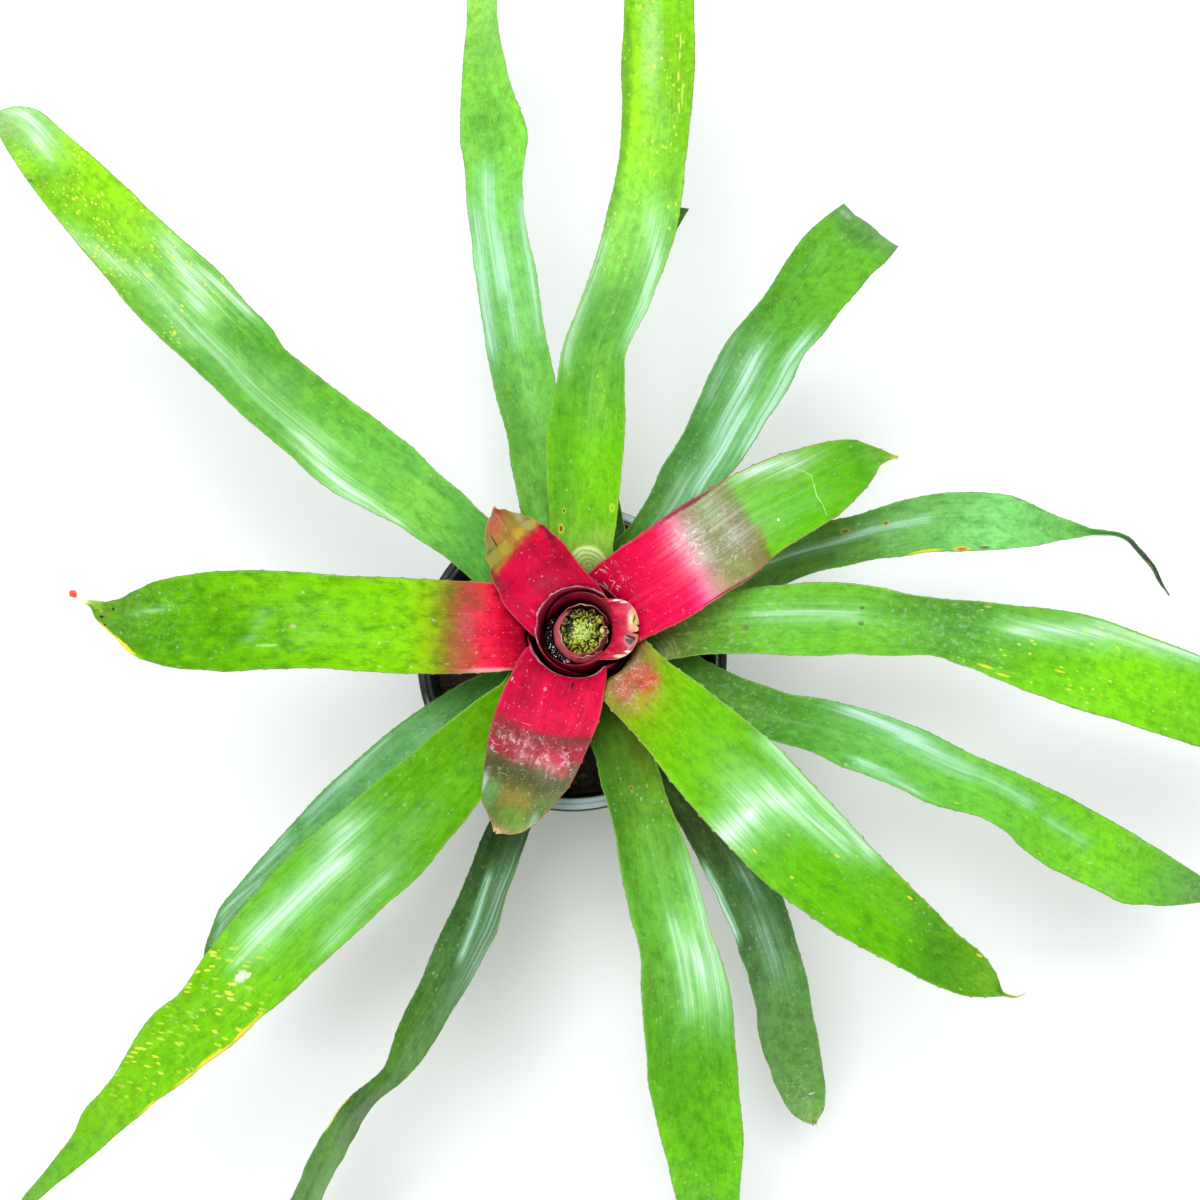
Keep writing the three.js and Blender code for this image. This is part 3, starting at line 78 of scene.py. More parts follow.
        (63.1, -23.9, 180, 11.7, 0, 5), (74.3, -29.3, 184.7, 11.1, 0, 5), (85.4, -33.7, 188.8, 11.1, 0, 5), (96.6, -37.5, 192, 11.2, 0, 5), (107.8, -40.4, 194.1, 11.7, 0, 5), (118.6, -43.9, 195, 12.7, 0, 5), (129.4, -47.5, 194.9, 13.6, 0, 5), (139.9, -51.4, 194.4, 13.9, 0, 4.8), (150.2, -55.6, 193.5, 14.1, 0, 4.6), (160.2, -60.1, 192.5, 13.7, 0, 4.4), (170.2, -64.1, 191.2, 12.9, 0, 4.2), (180.5, -67.4, 189.7, 12.2, 0, 4), (190.4, -71.6, 186.9, 12.8, 0, 3.8), (200.4, -76.2, 182.3, 13.8, 0, 3.7), (210.3, -81.4, 176.5, 15, 0, 3.5), (220.5, -86.4, 170, 16.1, 0, 3.4), (231.1, -90.8, 163.1, 16.1, 0, 3.2), (241.7, -95.1, 156.2, 16.1, 0, 3.1), (252.1, -99.4, 149.4, 15.9, 0, 2.9), (262.6, -103.6, 141.9, 15.7, 0, 2.7), (273.7, -106.3, 133.9, 13.9, 0, 2.5), (284.5, -109.1, 125.7, 12.1, 0, 2.4), (295.2, -111.3, 117.4, 9.8, 0, 2.2), (305.5, -113.3, 109.2, 7.5, 0, 2), (315.2, -115, 101.4, 5.3, 0, 1.9), (324.2, -116.2, 94.2, 3.1, 0, 1.7), (331.8, -116.9, 88, 1.2, 0, 1.6), (336.8, -117.4, 84, 0.6, 0, 1.5)]),
    dict(name="leaf_lower_front_left", az=222, low=60, collar=38, power=2, top=158, flare=24, layer=1, blade=[
        (-25, -26.4, 172, 14, 0, 4), (-35.1, -32, 176.6, 17.2, 3.7, 4), (-44.5, -38.8, 180.4, 18.4, 6.9, 4), (-53.7, -45.5, 183, 18.9, 9.1, 4), (-62.4, -52.4, 184, 19.4, 10, 4), (-70.9, -59.3, 183.9, 19.5, 10, 3.9), (-79, -66.2, 183.5, 19.5, 10, 3.6), (-86.9, -73.1, 183, 19.4, 10, 3.2), (-94.4, -79.9, 182.3, 19.5, 10, 3), (-101.7, -86.6, 181.2, 19.1, 9.9, 3), (-109, -93.2, 178.6, 18.3, 9.1, 3), (-116.4, -99.6, 174.8, 17.6, 7.9, 3), (-123.7, -105.9, 170.5, 16.8, 6.6, 3), (-130.9, -112, 166, 16.1, 5.5, 3), (-138.1, -117.6, 161.8, 14.7, 4.5, 3), (-145.2, -122.9, 157.2, 13.3, 3.7, 2.9), (-151.9, -128.1, 152.4, 12, 2.9, 2.7), (-157.5, -133.5, 147.6, 9.5, 2.1, 2.4), (-162.7, -138.5, 142.8, 7.1, 1.4, 2.1), (-167.2, -143, 138.4, 4.7, 0.8, 1.9), (-170.9, -146.5, 134.5, 1.9, 0.3, 1.6), (-173.4, -148.6, 132, 0.6, 0, 1.5)]),
    dict(name="leaf_lower_right_tapered", az=16, low=58, collar=36, power=2, top=155, flare=24, layer=1, blade=[
        (117.8, 43.9, 176, 11.1, 0, 4), (126.4, 45, 179.9, 11.2, 1.7, 4), (134.9, 46.5, 183, 10.9, 3.1, 4), (143.2, 48.2, 185.3, 11.7, 4.4, 4), (151.7, 49.6, 186.7, 12.5, 5.4, 4), (160.3, 51, 187, 13.1, 6.1, 4), (168.9, 52.3, 186.6, 13.7, 6.7, 4), (177.6, 53.2, 185.7, 13.6, 7.2, 4), (186.3, 53.5, 184.4, 13.3, 7.6, 4), (194.9, 53.9, 182.8, 12.8, 7.9, 4), (203.2, 53.6, 181.1, 11.7, 8, 4), (211.6, 53.1, 178.4, 9.7, 7.9, 3.9), (220.4, 53.1, 174, 7.5, 7.5, 3.6), (229.6, 53.5, 168.6, 5.3, 6.9, 3.2), (239, 54.5, 162.6, 3.6, 6.3, 2.7), (248.5, 55.5, 156.4, 2.1, 5.6, 2.3), (258, 56.3, 150.3, 1.4, 5, 2), (267.3, 57.2, 144.1, 1, 4.4, 1.8), (275.4, 55.9, 137.5, 1, 3.8, 1.5), (282.1, 52.5, 130.7, 1, 3.2, 1.3), (288.7, 49.3, 123.8, 1, 2.6, 1.1), (295, 46.3, 117, 1, 1.9, 0.9), (300.1, 43, 110.5, 0.9, 1.3, 0.7), (304.5, 39.9, 104.5, 0.7, 0.8, 0.6), (308.7, 37.5, 99.4, 0.3, 0.3, 0.5), (311.4, 35.9, 96, 0.6, 0, 0.4)]),
    dict(name="leaf_lower_front_right", az=303, low=56, collar=36, power=2, top=148, flare=28, layer=1, blade=[
        (60.5, -78.7, 162, 11.2, 0, 5), (65, -86.3, 163.1, 11.8, 0, 5), (69.5, -93.6, 163.7, 12.3, 0, 5), (73.6, -101, 163.9, 12.7, 0, 5), (77.5, -108.3, 164, 13.2, 0, 5), (81, -115.6, 163.7, 14, 0, 5), (84.2, -123, 161.8, 13.7, 0, 5), (87.3, -130.5, 158.7, 13.4, 0, 5), (90.2, -137.9, 154.9, 13.2, 0, 5), (93, -145.3, 150.9, 13.2, 0, 5), (95.2, -152.8, 146.5, 13.5, 0, 5), (97.2, -160.5, 140.8, 13.4, 0, 4.8), (99.3, -168.1, 134.2, 13.4, 0, 4.6), (101.4, -175.8, 127.2, 13.5, 0, 4.4), (103.7, -183.2, 120.2, 13.3, 0, 4.2), (106, -190.5, 113.4, 13.1, 0, 3.9), (108.2, -197.6, 106.8, 12.8, 0, 3.7), (110.8, -204.4, 100.1, 11.8, 0, 3.4), (113.5, -210.9, 93.6, 11.1, 0, 3.2), (116, -216.8, 87.2, 9.5, 0, 2.9), (118.5, -222.1, 81.2, 7.4, 0, 2.6), (120.1, -226.3, 75.7, 4.6, 0, 2.4), (121.5, -229.6, 71.1, 1.8, 0, 2.1), (122.5, -231.7, 68, 0.6, 0, 2)]),
    dict(name="leaf_lower_front_folded", az=247, low=56, collar=34, power=2, top=145, flare=28, layer=1, blade=[
        (-27.1, -82.3, 160, 11.1, 30, 4), (-31.5, -93.8, 161.9, 12.3, 32.9, 4), (-35.2, -105.3, 163.1, 13.1, 35.5, 4), (-39.2, -116.4, 163.7, 14.1, 37.9, 4), (-43.3, -127.1, 164, 15.5, 40, 4), (-48.1, -137.4, 164, 15.8, 41.7, 4), (-53.2, -147.3, 163.5, 15.8, 43.2, 4), (-58.3, -157.2, 161.6, 14.9, 44.5, 3.8), (-63.9, -166.9, 158.7, 14.1, 45.7, 3.6), (-69.8, -176.4, 155.1, 13.4, 46.7, 3.4), (-75.3, -185.8, 151.3, 10.9, 47.5, 3.2), (-81, -195, 147.4, 7.6, 48.1, 3), (-88.9, -202.7, 142.7, 7.2, 48.6, 2.8), (-96.7, -210.8, 136.9, 9.2, 49, 2.6), (-103.8, -219.6, 130.5, 10.6, 49.4, 2.5), (-109.9, -229, 123.7, 11.4, 49.7, 2.3), (-115.5, -238.6, 116.8, 12, 49.9, 2.2), (-120.8, -248.2, 110.1, 12.4, 50, 2), (-125.4, -257.7, 103.7, 13.1, 49.8, 1.9), (-130.5, -266.9, 97.3, 12.6, 49, 1.8), (-135.4, -275.8, 90.9, 12.1, 47.6, 1.6), (-140.3, -284.4, 84.6, 11.4, 45.8, 1.5), (-145, -292.7, 78.4, 10.7, 43.9, 1.4), (-149.7, -300.5, 72.5, 9.6, 41.8, 1.3), (-154, -307.6, 67, 8.1, 39.7, 1.2), (-157.5, -313.9, 62, 5.7, 37.8, 1.1), (-159.8, -319.1, 57.8, 2.2, 36.1, 1), (-161.3, -322.5, 55, 0.7, 35, 1)]),
    dict(name="leaf_lower_back_small", az=79, low=52, collar=30, power=2, top=150, flare=28, layer=1, blade=[
        (11.9, 101.5, 168, 8.6, 0, 4), (12.8, 108.2, 171.9, 8.5, 0, 4), (13.7, 115.1, 175.2, 8.4, 0, 4), (14.7, 122.2, 177.4, 8.1, 0, 4), (15.8, 129.9, 178, 7.7, 0, 4), (17.6, 137.8, 178, 7.7, 0, 3.8), (19.6, 145.7, 178, 7.5, 0, 3.4), (21.9, 153.5, 178, 7.5, 0, 3.1), (24.8, 161.3, 177.8, 7.5, 0, 2.9), (27.8, 169.6, 176.1, 7.7, 0, 2.8), (31.1, 178.2, 173.5, 7.5, 0, 2.7), (34.8, 187, 170.7, 7.5, 0, 2.6), (38.6, 195.7, 168, 7.6, 0, 2.5), (42.6, 204.6, 165, 7.7, 0, 2.3), (46.4, 213.9, 161.6, 8.1, 0, 2.2), (50.4, 223.5, 158, 8.5, 0, 2)]),
]


# ------------------------------------------------------------------ small mathematics
def smooth(v):
    t = np.clip(v, 0.0, 1.0)
    return t * t * (3 - 2 * t)


def wrap(a):
    return (np.asarray(a) + 180.0) % 360.0 - 180.0


def lerp(a, b, t):
    return a + (b - a) * t


def unit(v):
    return v / np.maximum(np.linalg.norm(v, axis=-1, keepdims=True), 1e-12)


def cubic(x, y, xq):
    """Smooth curve through y at the places x (a non-uniform Catmull-Rom), read at xq. y may have any trailing shape."""
    x = np.asarray(x, float); y = np.asarray(y, float); xq = np.asarray(xq, float)
    tail = (1,) * (y.ndim - 1)
    dx = np.diff(x).reshape(-1, *tail)
    dy = np.diff(y, axis=0) / dx
    m = np.empty_like(y)
    m[1:-1] = (dy[:-1] * dx[1:] + dy[1:] * dx[:-1]) / (dx[1:] + dx[:-1])
    m[0], m[-1] = dy[0], dy[-1]
    i = np.clip(np.searchsorted(x, xq, side="right") - 1, 0, len(x) - 2)
    h = (x[i + 1] - x[i]).reshape(-1, *tail)
    t = ((xq - x[i])).reshape(-1, *tail) / h
    return ((2 * t**3 - 3 * t**2 + 1) * y[i] + (t**3 - 2 * t**2 + t) * h * m[i]
            + (-2 * t**3 + 3 * t**2) * y[i + 1] + (t**3 - t**2) * h * m[i + 1])


def noise1(x, seed, octaves=2):
    """Smooth seeded noise along a line, about -1 to 1."""
    out = np.zeros_like(np.asarray(x, float)); amp = 1.0
    for o in range(octaves):
        rng = np.random.default_rng(seed * 7919 + o)
        table = rng.uniform(-1, 1, 512)
        xx = np.asarray(x, float) * 2**o + 100.0
        i = np.floor(xx).astype(int); f = smooth(xx - i)
        out += amp * lerp(table[i % 512], table[(i + 1) % 512], f)
        amp *= 0.5
    return out


def layers_inside(k, az):
    n = np.zeros_like(np.asarray(az, float))
    for j in range(k):
        L = LEAVES[j]
        n += L["layer"] * (1 - smooth((np.abs(wrap(az - L["az"])) - L["low"]) / SHEATH["fade"]))
    return n


def sheath_point(k, az, z):
    t = np.clip((z - SHEATH["bottom"]) / (SHEATH["high"] - SHEATH["bottom"]), 0, 1)
    inner = lerp(SHEATH["inner_low"], SHEATH["inner_high"], smooth(t))
    r = inner + lerp(SHEATH["pitch_low"], SHEATH["pitch_high"], t) * layers_inside(k, az)
    a = np.radians(az)
    return np.stack([AXIS[0] + r * np.cos(a), AXIS[1] + r * np.sin(a), z + 0 * r], -1)


# ------------------------------------------------------------------ meshes
def make_object(name, verts, faces, smooth_shade=True, floats=None, vectors=None, uv=None):
    me = bpy.data.meshes.new(name)
    me.from_pydata((np.asarray(verts) * MM).tolist(), [], [list(map(int, f)) for f in faces])
    me.validate(clean_customdata=False)
    for key, val in (floats or {}).items():
        at = me.attributes.new(key, "FLOAT", "POINT")
        at.data.foreach_set("value", np.asarray(val, np.float32))
    for key, val in (vectors or {}).items():
        at = me.attributes.new(key, "FLOAT_VECTOR", "POINT")
        at.data.foreach_set("vector", np.asarray(val, np.float32).ravel())
    if smooth_shade:
        me.polygons.foreach_set("use_smooth", [True] * len(me.polygons))
    me.update()
    ob = bpy.data.objects.new(name, me)
    bpy.context.scene.collection.objects.link(ob)
    return ob


def fix_outward(ob):
    bm = bmesh.new(); bm.from_mesh(ob.data)
    bmesh.ops.recalc_face_normals(bm, faces=bm.faces)
    bm.to_mesh(ob.data); bm.free(); ob.data.update()
    return ob


def strip_shell(rows, half_thick, extra=None, step_seed=0):
    """Closed thin body round a grid of middle-surface points (rows x cols x 3); knife edges along both margins.
    half_thick is rows x cols. Returns verts, quads, (row, col, side) of each vertex: side 1 above, -1 below, 0 margin."""
    nr, nc, _ = rows.shape
    along = np.empty_like(rows); along[1:-1] = rows[2:] - rows[:-2]; along[0] = rows[1] - rows[0]; along[-1] = rows[-1] - rows[-2]
    cross = np.empty_like(rows); cross[:, 1:-1] = rows[:, 2:] - rows[:, :-2]; cross[:, 0] = rows[:, 1] - rows[:, 0]; cross[:, -1] = rows[:, -1] - rows[:, -2]
    n = unit(np.cross(along, cross))
    off = n * half_thick[..., None]
    top_id = np.full((nr, nc), -1); low_id = np.full((nr, nc), -1)
    ids = np.arange(nr * (nc - 2)).reshape(nr, nc - 2)
    top_id[:, 1:-1] = ids; low_id[:, 1:-1] = ids + nr * (nc - 2)
    base = 2 * nr * (nc - 2)
    left = base + np.arange(nr); right = base + nr + np.arange(nr)
    top_id[:, 0] = low_id[:, 0] = left; top_id[:, -1] = low_id[:, -1] = right
    verts = np.concatenate([(rows + off)[:, 1:-1].reshape(-1, 3), (rows - off)[:, 1:-1].reshape(-1, 3), rows[:, 0], rows[:, -1]])
    a, b, c, d = top_id[:-1, :-1], top_id[1:, :-1], top_id[1:, 1:], top_id[:-1, 1:]
    quads = [np.stack([a, b, c, d], -1).reshape(-1, 4)]
    a, b, c, d = low_id[:-1, :-1], low_id[1:, :-1], low_id[1:, 1:], low_id[:-1, 1:]
    quads.append(np.stack([a, d, c, b], -1).reshape(-1, 4))
    faces = [tuple(q) for q in np.concatenate(quads)]
    for r, flip in ((0, False), (nr - 1, True)):
        for j in range(nc - 1):
            f = [top_id[r, j], top_id[r, j + 1], low_id[r, j + 1], low_id[r, j]]
            f = [v for i, v in enumerate(f) if v not in f[:i]]
            if len(f) > 2:
                faces.append(tuple(f[::-1] if flip else f))
    rr, cc = np.meshgrid(np.arange(nr), np.arange(nc), indexing="ij")
    info = np.concatenate([
        np.stack([rr[:, 1:-1].ravel(), cc[:, 1:-1].ravel(), np.ones(nr * (nc - 2))], -1),
        np.stack([rr[:, 1:-1].ravel(), cc[:, 1:-1].ravel(), -np.ones(nr * (nc - 2))], -1),
        np.stack([np.arange(nr), np.zeros(nr), np.zeros(nr)], -1),
        np.stack([np.arange(nr), np.full(nr, nc - 1), np.zeros(nr)], -1)])
    return verts, faces, info


def signed_volume(v, faces):
    v = np.asarray(v); s = 0.0
    f4 = np.array([f for f in faces if len(f) == 4]); f3 = np.array([f for f in faces if len(f) == 3]).reshape(-1, 3)
    for tri in (f4[:, [0, 1, 2]], f4[:, [0, 2, 3]], f3):
        if len(tri):
            s += np.einsum("ij,ij->i", v[tri[:, 0]], np.cross(v[tri[:, 1]], v[tri[:, 2]])).sum()
    return s


def blade_rows(L, s, u):
    """Points of the blade at station places s (0 to 1 by length) and cross places u."""
    st = np.array(L["blade"], float)
    d = np.r_[0, np.cumsum(np.linalg.norm(np.diff(st[:, :3], axis=0), axis=1))]
    q = s * d[-1]
    v = cubic(d, st, q)
    v[:, 3] = np.maximum(v[:, 3], 0.12)
    e = d[-1] * 1e-3
    t = unit(cubic(d, st[:, :3], np.minimum(q + e, d[-1])) - cubic(d, st[:, :3], np.maximum(q - e, 0)))
    side = unit(np.stack([-t[:, 1], t[:, 0], 0 * t[:, 0]], -1))
    up = unit(np.cross(t, side))
    roll = np.radians(v[:, 4])[:, None]
    across = side * np.cos(roll) + up * np.sin(roll)
    w = v[:, 3][:, None, None]; ch = v[:, 5][:, None, None]; U = u[None, :, None]
    P = v[:, None, :3] + across[:, None] * w * U + up[:, None] * ch * U**2
    return P, t, up, across, v, d[-1]


def build_leaf(k):
    L = LEAVES[k]
    cols = L.get("cols", 27)
    lin = np.linspace(-1, 1, cols)
    u = 0.6 * lin + 0.4 * np.sin(np.pi / 2 * lin)
    # key rows: sheath, bend, blade
    nsh = 40 if L["power"] > 4 else 16
    ts = np.linspace(0, 1, nsh)
    if L["power"] > 4:
        ts = ts ** (1 / 2.2)
    keys = []
    for t in ts:
        half = L["low"] + (L["collar"] - L["low"]) * t ** L["power"]
        keys.append(sheath_point(k, L["az"] + u * half, SHEATH["bottom"] + (L["top"] - SHEATH["bottom"]) * t))
    last = keys[-1]
    start, t0, _, _, _, length = blade_rows(L, np.array([0.0]), u)
    end = start[0]
    out = unit(np.stack([last[:, 0] - AXIS[0], last[:, 1] - AXIS[1], 0 * last[:, 0]], -1))
    span = np.linalg.norm(end - last, axis=-1)[:, None]
    fl = math.radians(L["flare"])
    m0 = (out * math.sin(fl) + np.array([0, 0, math.cos(fl)])) * span * 0.9
    m1 = t0[0][None, :] * span * 0.9
    nb = 7
    for i in range(1, nb):
        t = i / nb
        keys.append(last * (2*t**3 - 3*t**2 + 1) + m0 * (t**3 - 2*t**2 + t) + end * (-2*t**3 + 3*t**2) + m1 * (t**3 - t**2))
    nk = max(30, int(length / 4))
    s = np.linspace(0, 1, nk)
    s = 1 - (1 - s) ** 1.25
    P, _, _, _, _, _ = blade_rows(L, s, u)
    keys += list(P)
    keys = np.array(keys)
    mid = keys[:, cols // 2]
    dist = np.r_[0, np.cumsum(np.maximum(np.linalg.norm(np.diff(mid, axis=0), axis=1), 0.02))]
    collar = dist[nsh - 1]; root = dist[nsh - 1 + nb]; total = dist[-1]
    # fine rows
    step = L.get("step", 1.25)
    sh_step = 1.6 if L["power"] > 4 else 3.2
    q = [0.0]
    while q[-1] < total:
        x = q[-1]
        far = lerp(sh_step, step, smooth((x - (collar - 26)) / 20))
        if L["power"] > 4 and x > collar - 14:
            far = 0.7 if x < root else 0.9
        if x > total - 14:
            far = min(far, 0.7)
        q.append(x + far)
    q = np.array(q); q *= total / q[-1]
    rows = cubic(dist, keys, q)
    nr = len(q)
    beyond = np.clip(q - root, 0, None)             # length along the blade
    frac = beyond / (total - root)
    # half widths along the rows, for physical distances across
    wid = np.linalg.norm(np.diff(rows, axis=1), axis=2).cumsum(1)
    wid = np.concatenate([np.zeros((nr, 1)), wid], 1)
    across_mm = wid - wid[:, [cols // 2]]
    # gentle unevenness of a living leaf, none near the cup
    seed = 31 + k
    along = np.empty_like(rows); along[1:-1] = rows[2:] - rows[:-2]; along[0] = rows[1] - rows[0]; along[-1] = rows[-1] - rows[-2]
    cross = np.empty_like(rows); cross[:, 1:-1] = rows[:, 2:] - rows[:, :-2]; cross[:, 0] = rows[:, 1] - rows[:, 0]; cross[:, -1] = rows[:, -1] - rows[:, -2]
    nrm = unit(np.cross(along, cross))
    fade = (smooth((q - root) / 30) * smooth((total - q) / 25))[:, None]
    U = u[None, :]
    rip = L.get("ripple", 1.0)
    wave = (0.9 * noise1(q / 17.0, seed)[:, None] * np.clip(U, 0, 1) ** 3 + 0.9 * noise1(q / 15.0, seed + 100)[:, None] * np.clip(-U, 0, 1) ** 3)
    broad = 0.8 * noise1(q / 42.0, seed + 200)[:, None] * (1 - 0.3 * U**2)
    pleat = L.get("pleat", 0.05) * np.sin(across_mm * 2 * np.pi / 3.3 + 1.3 * noise1(q / 60.0, seed + 300)[:, None]) * (1 - U**8)
    keel = -0.45 * np.exp(-(across_mm / 1.6) ** 2)
    lift = fade * (rip * (wave + broad) + pleat) + keel * smooth((q - collar) / 25)[:, None] * smooth((total - q) / 15)[:, None]
    rows = rows + nrm * lift[..., None]
    # cross folds and creases: (place along in mm from the collar, width mm, height mm)
    for at, w, h in L.get("folds", []):
        rows = rows + nrm * (h * np.exp(-((q - collar - at) / w) ** 2) * 1.0)[:, None, None]
    th = L.get("thick", 0.9)
    half = 0.5 * th * (1 - 0.72 * np.abs(U) ** 6) * np.ones((nr, 1))
    half = half * lerp(0.55, 1.0, smooth((total - q) / 12))[:, None]
    # places where the end of the leaf is torn back: (cross place, width, depth in mm, reach in mm)
    for at, w, deep, reach in L.get("notches", []):
        back = unit(rows[-1, cols // 2] - rows[-8, cols // 2])
        pull = deep * np.exp(-((U - at) / w) ** 2) * smooth((q - (total - reach)) / reach)[:, None]
        rows = rows - back * pull[..., None]
    # marginal spines: single margin points pushed out and forward
    rng = np.random.default_rng(500 + k)
    gap0, gap1 = L.get("spine_gap", (4.5, 7.5))
    for colm, inner in ((0, 1), (cols - 1, cols - 2)):
        x = (root - 6 if L["power"] < 4 else root) + rng.uniform(0, gap1)
        while x < total - 5:
            i = int(np.searchsorted(q, x))
            if 2 < i < nr - 2:
                outw = unit((rows[i, colm] - rows[i, inner])[None])[0]
                fwd = unit((rows[i + 1, colm] - rows[i - 1, colm])[None])[0]
                size = rng.uniform(0.6, 1.0) * L.get("spine", 0.35) * lerp(1.0, 0.45, (x - collar) / (total - collar))
                rows[i, colm] = rows[i, colm] + outw * size + fwd * size * 0.55
            x += rng.uniform(gap0, gap1)
    verts, faces, info = strip_shell(rows, half)
    if signed_volume(verts, faces) < 0:
        faces = [f[::-1] for f in faces]
        info[:, 2] *= -1
    r = info[:, 0].astype(int); c = info[:, 1].astype(int)
    # which side looks up on the blade
    side = info[:, 2].copy()
    mid_i = int(np.searchsorted(q, root + 0.3 * (total - root)))
    a = rows[mid_i + 1, cols // 2] - rows[mid_i - 1, cols // 2]; b = rows[mid_i, cols // 2 + 1] - rows[mid_i, cols // 2 - 1]
    sel = (r == mid_i) & (c == cols // 2)
    zt = verts[sel & (info[:, 2] > 0)][:, 2].mean(); zl = verts[sel & (info[:, 2] < 0)][:, 2].mean()
    if zt < zl:
        side = -side
    grain = np.stack([across_mm[r, c] * MM, (q[r] - collar) * MM, (side < 0) * 1.0], -1)
    ob = make_object(L["name"] + "_fine", verts, faces,
                     floats={"frac": frac[r], "across": u[c], "under": np.where(side < 0, 1.0, np.where(side == 0, 0.5, 0.0)), "along_mm": q[r] - collar},
                     vectors={"grain": grain})
    # a tidy map for baking: the upper side on the left half, the lower side on the right
    me = ob.data
    loops = np.empty(len(me.loops), np.int32); me.loops.foreach_get("vertex_index", loops)
    starts = np.empty(len(me.polygons), np.int32); me.polygons.foreach_get("loop_start", starts)
    totals = np.empty(len(me.polygons), np.int32); me.polygons.foreach_get("loop_total", totals)
    poly = np.repeat(np.arange(len(starts)), totals)
    fs = np.bincount(poly, side[loops], len(starts))
    under = (fs < 0)[poly]
    uu = (u[c][loops] + 1) / 2; vv = (q[r] / total)[loops]
    U2 = np.where(under, 0.515 + 0.47 * uu, 0.015 + 0.47 * uu); V2 = 0.01 + 0.98 * vv
    layer = me.uv_layers.new(name="OFBake")
    layer.data.foreach_set("uv", np.stack([U2, V2], -1).astype(np.float32).ravel())
    L["total"] = total; L["root"] = root; L["collar_q"] = collar
    return ob


